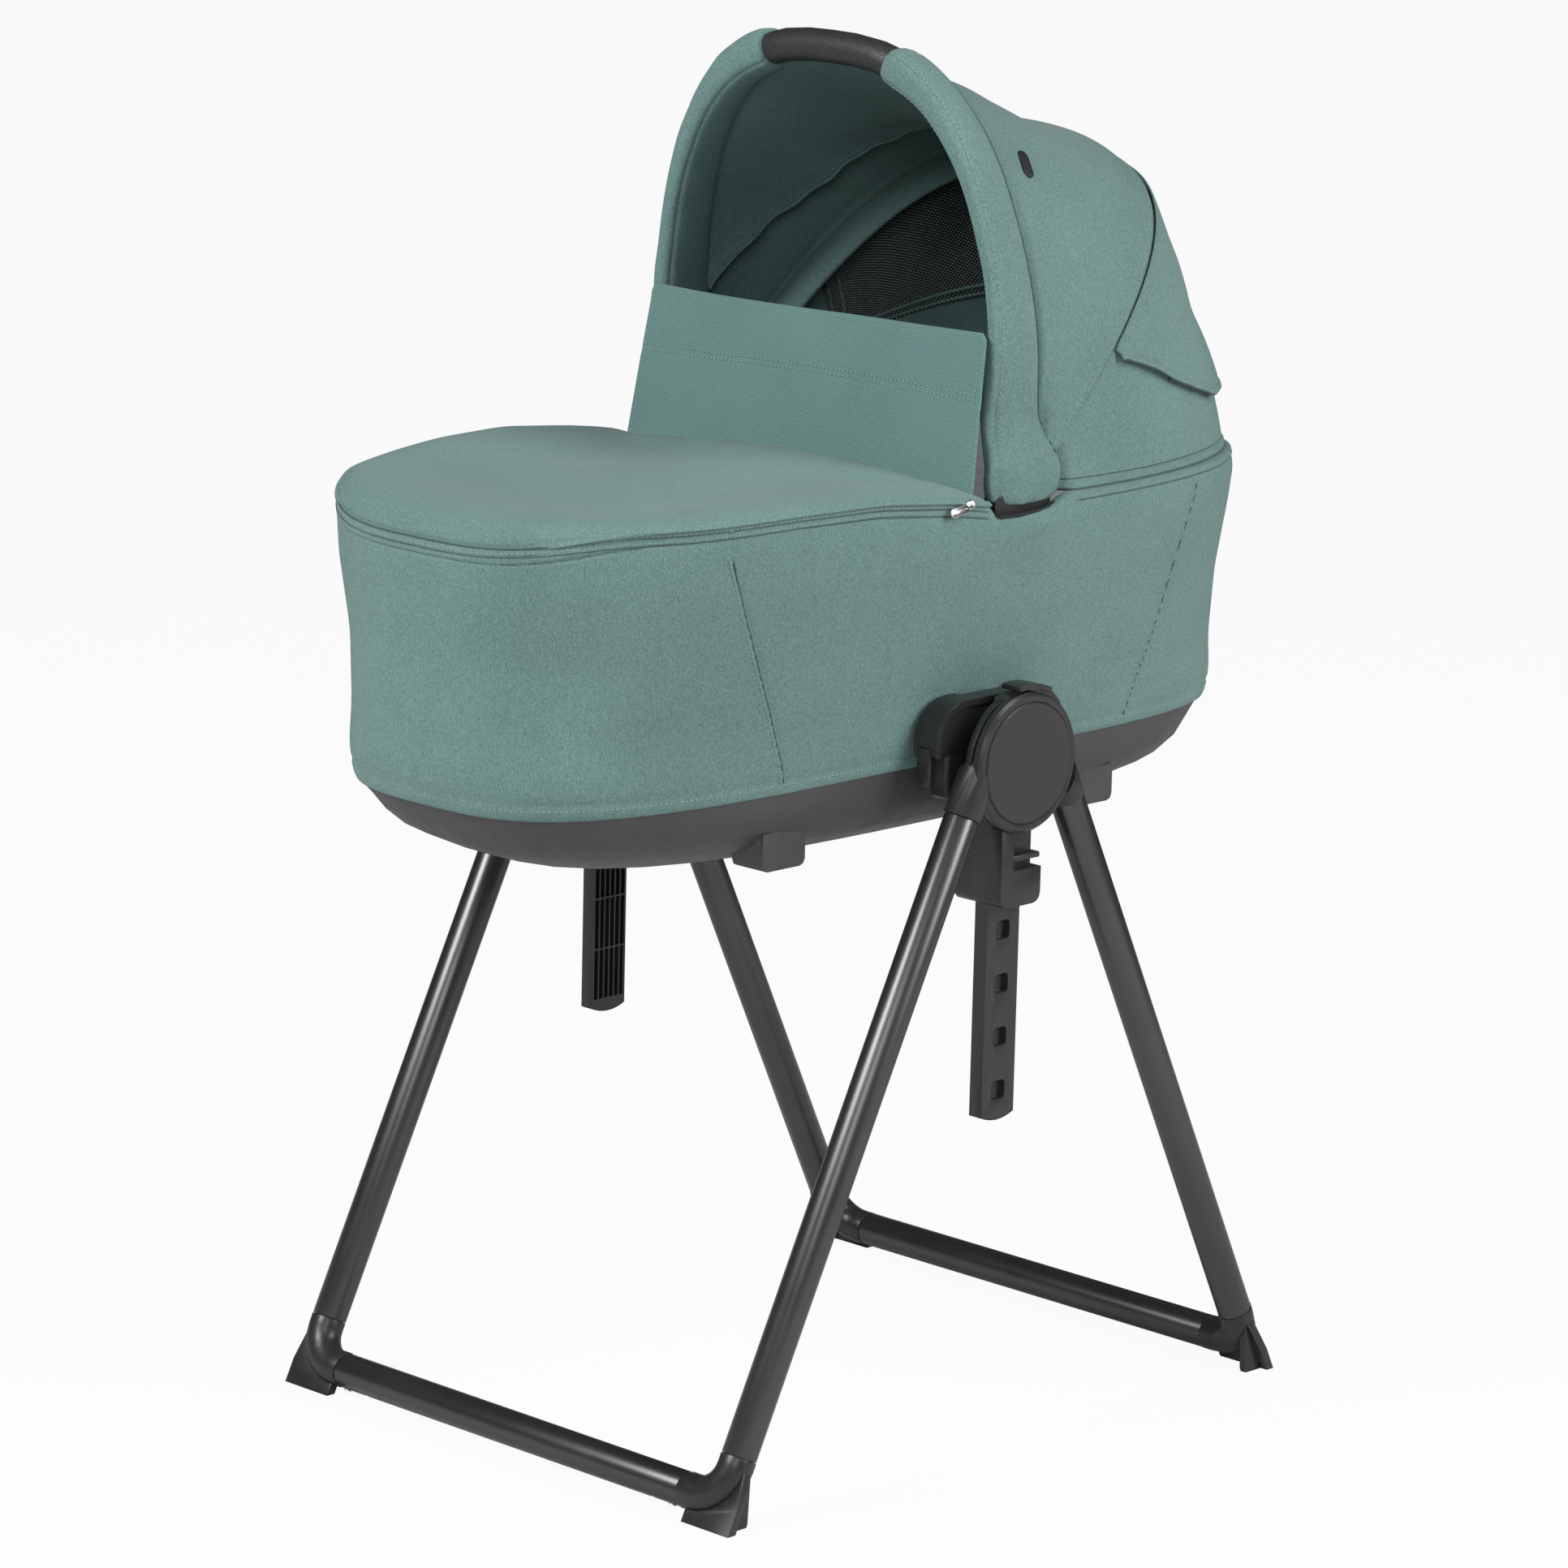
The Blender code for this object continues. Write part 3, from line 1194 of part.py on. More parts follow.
def sleeve_section(point, tangent, half_width, half_thick, count=12):
    """Flattened oval across the bow; its long axis is along X."""
    normal = Vector((0, -tangent.z, tangent.y)).normalized()
    ring = []
    for index in range(count):
        angle = 2 * math.pi * index / count
        cosine = math.cos(angle)
        sine = math.sin(angle)
        along = math.copysign(abs(cosine) ** 0.75, cosine) * half_width
        outward = math.copysign(abs(sine) ** 0.75, sine) * half_thick
        ring.append(point + Vector((along, 0, 0)) + normal * outward)
    return ring


def build_sleeve(side, side_sign):
    """Fabric sleeve round one half of the bow, widest at its lower end."""
    half = part_of_bow(lambda point: min(point.y * side_sign - GRIP_HALF - SLEEVE_GAP, point.z - SLEEVE_LOW))
    points = sorted(half, key=lambda point: point.z)
    rings = []
    top = points[-1].z
    for index, point in enumerate(points):
        before = points[max(0, index - 1)]
        after = points[min(len(points) - 1, index + 1)]
        tangent = (after - before).normalized()
        share = point.z / top
        high_share = max(0.0, (share - 0.62) / 0.38)
        half_thick = SLEEVE_SIDE_THICK + (SLEEVE_TOP_THICK - SLEEVE_SIDE_THICK) * high_share ** 1.5
        rings.append(sleeve_section(point, tangent, sleeve_half_width(share), half_thick))
    rings = rounded_sleeve_end(points[0], rings[0]) + rings
    sleeve = loft(rings, "sleeve", cap_first=True, cap_last=True)
    eye = disc(side_sign, BOW_END_R + RUNNING, (0.16, HANDLE_HALF + 0.0065 + GAP), segments=24)
    boss = disc(side_sign, HINGE_BOSS_R + RUNNING, (HANDLE_HALF, 0.25), segments=16)
    cut(sleeve, bow_bore(), eye, boss)
    smooth(sleeve, 50)
    return place_later(sleeve, f"handle_sleeve_{side}", TEAL, HANDLE_HINGE)


def rounded_sleeve_end(point, ring):
    """Two smaller sections that round off the sleeve's lower end."""
    rings = []
    for scale, drop in ((0.55, 0.020), (0.86, 0.011)):
        rings.append([Vector((point.x + (p.x - point.x) * scale, p.y, p.z - drop)) for p in ring])
    return rings


def mid_bow_point(angle):
    cosine = math.cos(angle)
    sine = math.sin(angle)
    power = 2 / HANDLE_POWER
    return Vector((0, math.copysign(abs(cosine) ** power, cosine) * MID_BOW_HALF,
                   abs(sine) ** power * MID_BOW_HEIGHT))


def build_mid_bow():
    """Thin bow under the canopy's seam, on the same pivots."""
    points = even_bow(mid_bow_point, 0.0, math.pi, 26)
    bow = tube(points, MID_BOW_R, sides=1)
    for _, side_sign in SIDES:
        eye = disc(side_sign, 0.009, (MID_BOW_HALF - 0.003, MID_BOW_HALF + 0.003), segments=16)
        join(bow, eye)
        cut(bow, side_box(side_sign, (-0.02, 0.02), (0.1, MID_BOW_HALF - 0.003), (-0.02, 0.008)))
        cut(bow, side_box(side_sign, (-0.02, 0.02), (MID_BOW_HALF + 0.003, 0.2), (-0.02, 0.008)))
        cut(bow, disc(side_sign, HINGE_PIN_R + 0.0002, (0.1, 0.25), segments=12))
    return place_later(bow, "mid_bow", BLACK, MID_HINGE)


def build_bow_hinge(side, side_sign):
    """Hinge plate inside the rim tube, with the pin that both bows turn on."""
    length, width = wall_at(RIM_TUBE_Z)
    rim_inner = width - COVER_THICK - GAP - 2 * RIM_TUBE_R
    outer = rim_inner - 0.0008
    inner = outer - HINGE_PLATE
    hinge = plate(rounded_outline(HINGE_HALF, -0.022, 0.012, 0.011, 4), HINGE_PLATE,
                  (0, side_sign * (inner + outer) / 2, 0))
    soften(hinge, 0.0015, 1, 60)
    join(hinge, disc(side_sign, HINGE_PIN_R, (MID_BOW_HALF - 0.006, inner + 0.001), segments=12))
    join(hinge, disc(side_sign, HINGE_BOSS_R, (HANDLE_HALF + 0.0065 + GAP, inner + 0.001), segments=16))
    return place_later(hinge, f"bow_hinge_{side}", BLACK, COT_PIVOT)


COT_PIVOT = empty("bow_pivot", (PIVOT_X, 0, PIVOT_Z))


def bow_values(angle):
    """Height, half width and roundness of the canopy at an angle from vertical."""
    degrees = math.degrees(angle)
    for low, high in zip(CANOPY_BOWS, CANOPY_BOWS[1:]):
        if degrees <= high[0]:
            share = (degrees - low[0]) / (high[0] - low[0])
            return [a + (b - a) * share for a, b in zip(low[1:], high[1:])]
    return list(CANOPY_BOWS[-1][1:])


def canopy_point(angle, turn, offset=0.0):
    """Point of the canopy: angle from vertical round the pivots, turn from the left foot to the right."""
    height, half, power = bow_values(angle)
    height += offset
    half += offset
    cosine = math.cos(turn)
    sine = math.sin(turn)
    y = math.copysign(abs(cosine) ** (2 / power), cosine) * half
    radius = abs(sine) ** (2 / power) * height
    return Vector((PIVOT_X + radius * math.sin(angle), y, PIVOT_Z + radius * math.cos(angle)))


def even_turns(angle, foot, count):
    """Turns that step evenly along the canopy at an angle, from a radius near one pivot to the other."""
    height, _, power = bow_values(angle)
    start = math.asin((foot / height) ** (power / 2))
    fine = 800
    turns = [start + (math.pi - 2 * start) * index / fine for index in range(fine + 1)]
    samples = [canopy_point(angle, turn) for turn in turns]
    lengths = [0.0]
    for before, after in zip(samples, samples[1:]):
        lengths.append(lengths[-1] + (after - before).length)
    result = []
    cursor = 0
    for index in range(count + 1):
        target = lengths[-1] * index / count
        while cursor < fine - 1 and lengths[cursor + 1] < target:
            cursor += 1
        share = (target - lengths[cursor]) / (lengths[cursor + 1] - lengths[cursor])
        result.append(turns[cursor] + (turns[cursor + 1] - turns[cursor]) * min(1.0, share))
    return result


def radius_at(angle, turn):
    """Distance of a canopy point from the pivots' axis."""
    height, _, power = bow_values(angle)
    return abs(math.sin(turn)) ** (2 / power) * height


def front_edge(turn):
    """Angle at which the canopy leaves the back of the bow's sleeve."""
    radius = radius_at(0.0, turn)
    share = min(1.0, radius / HANDLE_HEIGHT)
    back = HANDLE_BASE - HANDLE_FORWARD * share ** 2 + sleeve_half_width(share) + CANOPY_SEAM
    return min(math.radians(37), math.asin(min(0.9, back / radius)))


def rear_edge(turn):
    """Angle at which the canopy meets the rim of the cot."""
    radius = radius_at(math.radians(85), turn)
    return math.acos(min(0.9, (RIM_TOP + CANOPY_ON_RIM - PIVOT_Z) / radius))


def canopy_rows(turns, shares, start_of, end_of, offset_of):
    """Grid of canopy points; each column runs from its own start angle to its own end angle."""
    grid = []
    for share in shares:
        row = []
        for turn in turns:
            angle = start_of(turn) + (end_of(turn) - start_of(turn)) * share
            row.append(canopy_point(angle, turn, offset_of(share)))
        grid.append(row)
    return grid


def sheet(outer, inner, name, hole=None):
    """Closed sheet between two grids of points; hole leaves out the cells that it names."""
    bm = bmesh.new()
    rows = len(outer)
    columns = len(outer[0])
    cells = [(i, j) for i in range(rows - 1) for j in range(columns - 1) if not (hole and hole(i, j))]
    used = {(i + a, j + b) for i, j in cells for a in (0, 1) for b in (0, 1)}
    top = {key: bm.verts.new(outer[key[0]][key[1]]) for key in used}
    low = {key: bm.verts.new(inner[key[0]][key[1]]) for key in used}
    edges = {}
    for i, j in cells:
        corners = [(i, j), (i, j + 1), (i + 1, j + 1), (i + 1, j)]
        bm.faces.new([top[key] for key in corners])
        bm.faces.new([low[key] for key in reversed(corners)])
        for first, second in zip(corners, corners[1:] + corners[:1]):
            if (second, first) in edges:
                edges.pop((second, first))
            else:
                edges[(first, second)] = True
    for first, second in edges:
        bm.faces.new([top[second], top[first], low[first], low[second]])
    return from_bmesh(bm, name)


def spread(start, end, count):
    return [start + (end - start) * index / count for index in range(count + 1)]


def build_canopy_front():
    """Fabric from the handle bow back to the seam over the thin bow."""
    turns = even_turns(SEAM_ANGLE, CANOPY_FOOT, CANOPY_COLUMNS)
    seam = SEAM_ANGLE - 0.0015
    outer = canopy_rows(turns, CANOPY_SHARES, front_edge, lambda turn: seam, lambda share: 0.0)
    inner = canopy_rows(turns, CANOPY_SHARES, front_edge, lambda turn: seam, lambda share: -CANOPY_THICK)
    canopy = sheet(outer, inner, "canopy_front")
    smooth(canopy, 50)
    return adopt(canopy, "canopy_front", TEAL)


def vent_cell(row, column):
    """Cells of the rear fabric that the vent leaves open."""
    return VENT_ROWS[0] <= row <= VENT_ROWS[1] and VENT_COLUMNS[0] <= column <= VENT_COLUMNS[1]


def build_canopy_rear():
    """Fabric from the seam down to the rim at the head end, with the vent's opening."""
    turns = even_turns(SEAM_ANGLE, CANOPY_FOOT, CANOPY_COLUMNS)
    seam = SEAM_ANGLE + 0.0015
    outer = canopy_rows(turns, VENT_SHARES, lambda turn: seam, rear_edge, lambda share: 0.0)
    inner = canopy_rows(turns, VENT_SHARES, lambda turn: seam, rear_edge, lambda share: -CANOPY_THICK)
    canopy = sheet(outer, inner, "canopy_rear", vent_cell)
    smooth(canopy, 50)
    return adopt(canopy, "canopy_rear", TEAL)


def build_vent_mesh():
    """Mesh panel that closes the vent from inside."""
    turns = even_turns(SEAM_ANGLE, CANOPY_FOOT, CANOPY_COLUMNS)[VENT_COLUMNS[0] - 1:VENT_COLUMNS[1] + 3]
    shares = VENT_SHARES[VENT_ROWS[0] - 1:VENT_ROWS[1] + 3]
    face = -CANOPY_THICK - GAP
    seam = SEAM_ANGLE + 0.0015
    outer = canopy_rows(turns, shares, lambda turn: seam, rear_edge, lambda share: face)
    inner = canopy_rows(turns, shares, lambda turn: seam, rear_edge, lambda share: face - VENT_THICK)
    panel = sheet(outer, inner, "vent_mesh")
    smooth(panel, 50)
    return adopt(panel, "vent_mesh", MESH_CLOTH)


def visor_edge(turn):
    """Angle of the visor's lower edge: short beside its corners, long over the vent."""
    reach = (radius_at(SEAM_ANGLE, turn) - VISOR_CORNER) / (VISOR_FULL - VISOR_CORNER)
    reach = max(0.0, min(1.0, reach))
    return VISOR_SHORT + (VISOR_ANGLE - VISOR_SHORT) * reach * (2 - reach)


def visor_lift(share):
    """Height of the visor's inner face above the rear fabric."""
    return GAP + VISOR_STANDOFF * min(1.0, 3 * share) + VISOR_KICK * max(0.0, share - 0.55)


def build_visor_flap():
    """Flap sewn along the seam that hangs over the vent, its lower edge turned out."""
    turns = even_turns(SEAM_ANGLE, CANOPY_FOOT, CANOPY_COLUMNS)
    turns = [turn for turn in turns if radius_at(SEAM_ANGLE, turn) > VISOR_CORNER]
    shares = spread(0, 1, 6)
    seam = SEAM_ANGLE + 0.003
    outer = canopy_rows(turns, shares, lambda turn: seam, visor_edge, lambda s: visor_lift(s) + VISOR_THICK)
    inner = canopy_rows(turns, shares, lambda turn: seam, visor_edge, visor_lift)
    flap = sheet(outer, inner, "visor_flap")
    smooth(flap, 50)
    return adopt(flap, "visor_flap", TEAL)


def build_stand():
    for end, end_sign in ENDS:
        build_bar(end, end_sign)
        for side, side_sign in SIDES:
            build_leg(end, end_sign, side, side_sign)
            build_elbow(end, end_sign, side, side_sign)
            build_foot(end, end_sign, side, side_sign)
            build_rivet(end, end_sign, side, side_sign)
    for side, side_sign in SIDES:
        build_front_socket(side, side_sign)
        build_rear_socket(side, side_sign)
        build_hub_guide(side, side_sign)
        build_hub_cap(side, side_sign)
        build_fold_button(side, side_sign)
        build_latch_lever(side, side_sign)
        build_rack(side, side_sign)
        build_dock(side, side_sign)
        build_release_tab(side, side_sign)


def build_cot():
    build_side_cover()
    build_tub()
    build_rim_frame()
    build_liner()
    build_mattress()
    build_apron()
    build_wind_flap()
    build_zip_pull()
    for side, side_sign in SIDES:
        build_adapter(side, side_sign)
        build_bow_hinge(side, side_sign)


def build_canopy():
    build_handle_bow()
    build_grip()
    build_mid_bow()
    for side, side_sign in SIDES:
        build_sleeve(side, side_sign)
    build_canopy_front()
    build_canopy_rear()
    build_vent_mesh()
    build_visor_flap()


build_stand()
build_cot()
build_canopy()
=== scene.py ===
"""Bassinet on a folding stand: its cloth, seams and finishes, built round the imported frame.

Units are metres, +Z is up. +X is the head end, -X the foot end and +Y the left side. The origin
is on the floor below the middle of the cot, as in the frame.
"""
from __future__ import annotations

import logging
import math
from dataclasses import dataclass, field
from enum import Enum
from typing import Callable

import bmesh
import bpy
import numpy as np
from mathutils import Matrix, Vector


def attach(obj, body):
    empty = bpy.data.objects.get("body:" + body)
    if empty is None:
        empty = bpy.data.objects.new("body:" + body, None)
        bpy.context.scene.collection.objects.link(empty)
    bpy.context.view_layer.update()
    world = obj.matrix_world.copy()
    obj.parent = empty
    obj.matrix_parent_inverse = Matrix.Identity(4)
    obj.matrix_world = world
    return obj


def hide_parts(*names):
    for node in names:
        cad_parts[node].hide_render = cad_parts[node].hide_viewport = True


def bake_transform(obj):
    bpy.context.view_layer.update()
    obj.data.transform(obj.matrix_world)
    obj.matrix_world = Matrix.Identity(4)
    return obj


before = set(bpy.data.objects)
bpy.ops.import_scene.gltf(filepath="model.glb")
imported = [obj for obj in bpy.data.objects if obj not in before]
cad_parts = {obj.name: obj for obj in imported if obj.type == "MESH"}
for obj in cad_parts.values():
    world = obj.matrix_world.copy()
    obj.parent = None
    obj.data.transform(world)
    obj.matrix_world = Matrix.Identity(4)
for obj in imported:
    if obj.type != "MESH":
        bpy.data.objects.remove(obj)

LOG = logging.getLogger("bassinet")
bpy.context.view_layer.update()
FLAP_LEAN = math.radians(9.5)
Array = np.ndarray
Colour = tuple[float, float, float]
Spot = tuple[float, float, float]
Table = tuple[tuple[float, ...], ...]
Piece = bpy.types.Object
Material = bpy.types.Material
Socket = bpy.types.NodeSocket


class Side(Enum):
    """The two sides of the cot, by the sign of Y."""

    LEFT = 1
    RIGHT = -1

    @property
    def word(self) -> str:
        """Name of the side as it stands in the frame's names."""
        return self.name.lower()


class Axis(Enum):
    """Direction that knitted ribs follow one another along."""

    X = 0
    Y = 1
    Z = 2


def ease(share: float) -> float:
    """Smooth step of a share, held between 0 and 1."""
    held = min(1.0, max(0.0, float(share)))
    return held * held * (3 - 2 * held)


def hump(distance: float, width: float) -> float:
    """Bell curve that is 1 at no distance and fades over the width."""
    return math.exp(-((distance / width) ** 2))


def signed_power(value: float, power: float) -> float:
    """Power of a value's size, with the value's sign."""
    return math.copysign(abs(value) ** power, value)


def smooth_table(rows: Table, value: float, reach: float, column: int = 1, key: int = 0) -> float:
    """Value of a table's column, with its corners rounded.

    Args:
        rows: The table, with rising values in its key column.
        value: Place to read the table at.
        reach: Half of the stretch that is averaged.
        column: Column that is read.
        key: Column that the place is looked up in.

    Returns:
        The rounded value.
    """
    table = np.array(rows)
    spots = value + reach * np.linspace(-1, 1, 7)
    return float(np.mean(np.interp(spots, table[:, key], table[:, column])))


def ripple(point: Array | Spot, pitch: float) -> float:
    """Slow unevenness of cloth at a point, from -1 to 1, in waves of about this pitch."""
    k = 2 * math.pi / pitch
    x, y, z = (float(value) for value in point)
    first = math.sin(k * (0.83 * x + 0.41 * z) + 1.3) * math.sin(k * (0.63 * y - 0.37 * x) + 0.4)
    second = math.sin(k * 1.7 * (0.52 * z - 0.71 * y) + 2.1) * math.sin(k * 1.3 * (0.71 * x + 0.22 * y) + 5.0)
    return 0.6 * first + 0.4 * second


def distances(path: Array) -> Array:
    """Distance of each point of a path from its start, along the path."""
    steps = np.linalg.norm(np.diff(np.asarray(path, float), axis=0), axis=1)
    return np.concatenate([[0], np.cumsum(steps)])


def read_path(spot: float, spots: Array, points: Array) -> Array:
    """Point between the points of a path, at a spot among the points' own rising spots."""
    return np.array([np.interp(spot, spots, points[:, k]) for k in range(3)])


def unit(vector: Array) -> Array:
    """Vector of length 1 in the same direction."""
    return vector / max(float(np.linalg.norm(vector)), 1e-12)


def surface_normals(grid: Array, wrap: bool = False) -> Array:
    """Unit normals of a grid of points.

    Args:
        grid: Points, rows by columns by 3.
        wrap: True where the last column joins the first.

    Returns:
        Normals in the same layout.
    """
    along = np.gradient(grid, axis=0)
    if wrap:
        across = (np.roll(grid, -1, axis=1) - np.roll(grid, 1, axis=1)) / 2
    else:
        across = np.gradient(grid, axis=1)
    normals = np.cross(along, across)
    sizes = np.linalg.norm(normals, axis=-1, keepdims=True)
    return normals / np.maximum(sizes, 1e-12)


def resample(path: Array, count: int, closed: bool = False) -> Array:
    """Evenly spaced points along a path.

    Args:
        path: Points of the path.
        count: How many points to return.
        closed: True where the path returns to its start.

    Returns:
        Points, count by 3.
    """
    path = np.asarray(path, float)
    if closed:
        path = np.vstack([path, path[:1]])
    lengths = distances(path)
    spots = np.linspace(0, lengths[-1], count, endpoint=not closed)
    return np.stack([np.interp(spots, lengths, path[:, k]) for k in range(3)], axis=1)


def flat_cut(grid: Array, wrap: bool = False) -> tuple[tuple[float, float], float]:
    """Size of the flat panel that a sewn surface is cut from.

    Args:
        grid: Points of the surface, rows by columns by 3.
        wrap: Whether the last column joins the first one.

    Returns:
        The panel's width and length, and its area.
    """
    if wrap:
        grid = np.concatenate([grid, grid[:, :1]], axis=1)
    across = np.linalg.norm(np.diff(grid, axis=1), axis=2)
    down = np.linalg.norm(np.diff(grid, axis=0), axis=2)
    width, length = float(across.sum(axis=1).max()), float(down.sum(axis=0).max())
    first = np.cross(grid[1:, :-1] - grid[:-1, :-1], grid[:-1, 1:] - grid[:-1, :-1])
    second = np.cross(grid[1:, 1:] - grid[:-1, 1:], grid[1:, 1:] - grid[1:, :-1])
    area = float(np.linalg.norm(first, axis=2).sum() + np.linalg.norm(second, axis=2).sum()) / 2
    return (width, length), min(max(area, 0.31 * width * length), width * length)


def declare_sheet(piece: Piece, grid: Array, wrap: bool = False,
                  flat: tuple[float, float] | None = None) -> None:
    """State the flat cut of a sheet of cloth.

    Args:
        piece: The sheet.
        grid: Points of its outer face, rows by columns by 3.
        wrap: Whether the last column joins the first one.
        flat: Width and length where the rows aren't parallel to a side of the cut.
    """
    size, area = flat_cut(grid, wrap)
    if flat:
        size, area = flat, min(area, flat[0] * flat[1])
    LOG.info("%s flat %.3f x %.3f m, %.4f m2", piece.name, size[0], size[1], area)


def dress(piece: Piece, stands_for: str = "", body: str = "") -> None:
    """Hang a finished piece on its body and hide the part that it replaces.

    Args:
        piece: The piece.
        stands_for: Name of the part that it replaces, if any.
        body: Name of the body that it rides on, if any.
    """
    if body:
        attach(piece, body)
    if stands_for:
        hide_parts(stands_for)


class Sewn:
    """Gathers one piece's cloth, thread and cord, each with its own material."""

    def __init__(self, name: str) -> None:
        """Start an empty piece under the name that it will have."""
        self.name = name
        self.points: list[Array] = []
        self.faces: list[tuple[int, ...]] = []
        self.slots: list[int] = []
        self.materials: list[Material] = []
        self.count = 0

    def _slot(self, material: Material) -> int:
        """Slot number of a material on this piece."""
        if material not in self.materials:
            self.materials.append(material)
        return self.materials.index(material)

    def add(self, points: Array, faces: list[tuple[int, ...]], material: Material) -> None:
        """Add faces over new points.

        Args:
            points: New points.
            faces: Faces by the new points' own numbers.
            material: Material of these faces.
        """
        slot = self._slot(material)
        base = self.count
        self.points.append(np.asarray(points, float).reshape(-1, 3))
        self.faces += [tuple(base + index for index in face) for face in faces]
        self.slots += [slot] * len(faces)
        self.count += len(self.points[-1])

    def shell(self, grid: Array, thick: float, material: Material, wrap: bool = False,
              keep: Callable[[int, int], bool] | None = None) -> Array:
        """Cloth of a real thickness with rounded borders.

        Args:
            grid: Points of the outer face, rows by columns by 3.
            thick: Thickness of the cloth, inwards from the outer face.
            material: Material of the cloth.
            wrap: True where the last column joins the first.
            keep: Tells whether the cell at a row and a column is there.

        Returns:
            Unit normals of the outer face, for what is sewn on it.
        """
        rows, columns = grid.shape[:2]
        normals = surface_normals(grid, wrap)
        outer = grid.reshape(-1, 3)
        inner = (grid - normals * thick).reshape(-1, 3)
        half = rows * columns
        faces = []
        borders: dict[tuple[int, int], bool] = {}
        width = columns if wrap else columns - 1
        for row in range(rows - 1):
            for column in range(width):
                if keep is not None and not keep(row, column):
                    continue
                nxt = (column + 1) % columns
                corners = (row * columns + column, (row + 1) * columns + column,
                           (row + 1) * columns + nxt, row * columns + nxt)
                faces.append(corners)
                faces.append(tuple(half + index for index in reversed(corners)))
                for first, second in zip(corners, corners[1:] + corners[:1]):
                    if not borders.pop((second, first), False):
                        borders[(first, second)] = True
        points = [outer, inner]
        extra: dict[int, int] = {}
        lips = []
        flat_normals = normals.reshape(-1, 3)
        outwards: dict[int, Array] = {}
        for first, second in borders:
            direction = unit(np.cross(outer[second] - outer[first], flat_normals[first]))
            for index in (first, second):
                outwards[index] = outwards.get(index, np.zeros(3)) + direction
        for index, direction in outwards.items():
            extra[index] = 2 * half + len(lips)
            lips.append((outer[index] + inner[index]) / 2 + unit(direction) * thick * 0.45)
        for first, second in borders:
            faces.append((second, first, extra[first], extra[second]))
            faces.append((extra[second], extra[first], half + first, half + second))
        if lips:
            points.append(np.array(lips))
        used = np.zeros(2 * half + len(lips), bool)
        for face in faces:
            used[list(face)] = True
        number = np.cumsum(used) - 1
        self.add(np.vstack(points)[used], [tuple(int(number[i]) for i in face) for face in faces], material)
        return normals

    def cord(self, path: Array, radius: float, material: Material, closed: bool = False,
             sides: int = 8) -> None:
        """Round cord or piping along a path.

        Args:
            path: Points of its centre line.
            radius: Radius of the cord.
            material: Material of the cord.
            closed: True where the path returns to its start.
            sides: Faces round the cord.
        """
        path = np.asarray(path, float)
        count = len(path)
        if closed:
            tangents = np.roll(path, -1, axis=0) - np.roll(path, 1, axis=0)
        else:
            tangents = np.gradient(path, axis=0)
        tangents /= np.maximum(np.linalg.norm(tangents, axis=1, keepdims=True), 1e-12)
        side = np.cross(tangents[0], (0.0, 0.0, 1.0))
        if np.linalg.norm(side) < 0.1:
            side = np.cross(tangents[0], (0.0, 1.0, 0.0))
        rings = []
        for index in range(count):
            side = unit(side - tangents[index] * float(side @ tangents[index]))
            up = np.cross(side, tangents[index])
            turns = 2 * math.pi * np.arange(sides) / sides
            rings.append(path[index] + radius * (np.outer(np.cos(turns), side) + np.outer(np.sin(turns), up)))
        points = np.vstack(rings)
        faces = []
        for index in range(count if closed else count - 1):
            after = (index + 1) % count
            for k in range(sides):
                nxt = (k + 1) % sides
                faces.append((index * sides + k, after * sides + k, after * sides + nxt, index * sides + nxt))
        if not closed:
            faces.append(tuple(range(sides)))
            faces.append(tuple((count - 1) * sides + k for k in reversed(range(sides))))
        self.add(points, faces, material)

    def stitches(self, path: Array, normals: Array, material: Material, length: float = 0.0028,
                 pitch: float = 0.0046, width: float = 0.00034) -> None:
        """Row of sewn stitches that lie on the cloth.

        Args:
            path: Points on the cloth.
            normals: Normals of the cloth at these points.
            material: Material of the thread.
            length: Length of one stitch.
            pitch: Distance from one stitch to the next.
            width: Half width of the thread.
        """
        lengths = distances(path)
        count = max(2, int(lengths[-1] / pitch))
        centres = resample(path, count * 3 + 1)
        spots = np.linspace(0, lengths[-1], count * 3 + 1)
        facing = np.stack([np.interp(spots, lengths, normals[:, k]) for k in range(3)], axis=1)
        sides = 5
        turns = 2 * math.pi * np.arange(sides) / sides
        for index in range(1, count * 3, 3):
            tangent = unit(centres[index + 1] - centres[index - 1])
            up = unit(facing[index])
            across = np.cross(tangent, up)
            centre = centres[index] + up * width * 0.35
            ring = width * (np.outer(np.cos(turns), across) + np.outer(np.sin(turns) * 0.8, up))
            points = [centre - tangent * length / 2]
            points += list(centre - tangent * length * 0.3 + ring)
            points += list(centre + tangent * length * 0.3 + ring)
            points.append(centre + tangent * length / 2)
            last = 2 * sides + 1
            faces = []
            for k in range(sides):
                nxt = (k + 1) % sides
                faces.append((0, 1 + k, 1 + nxt))
                faces.append((1 + k, 1 + sides + k, 1 + sides + nxt, 1 + nxt))
                faces.append((last, 1 + sides + nxt, 1 + sides + k))
            self.add(np.array(points), faces, material)

    def build(self, sharp: float = 70.0) -> Piece:
        """Make the object.

        Args:
            sharp: Angle in degrees above which an edge stays sharp.

        Returns:
            The new mesh object, smooth shaded.
        """
        data = bpy.data.meshes.new(self.name)
        data.from_pydata(np.vstack(self.points), [], self.faces)
        data.validate()
        for material in self.materials:
            data.materials.append(material)
        data.polygons.foreach_set("material_index", self.slots)
        bm = bmesh.new()
        bm.from_mesh(data)
        bmesh.ops.recalc_face_normals(bm, faces=bm.faces)
        bm.to_mesh(data)
        bm.free()
        data.shade_smooth()
        data.set_sharp_from_angle(angle=math.radians(sharp))
        piece = bpy.data.objects.new(self.name, data)
        bpy.context.scene.collection.objects.link(piece)
        LOG.info("%s: %d faces", self.name, len(self.faces))
        return piece


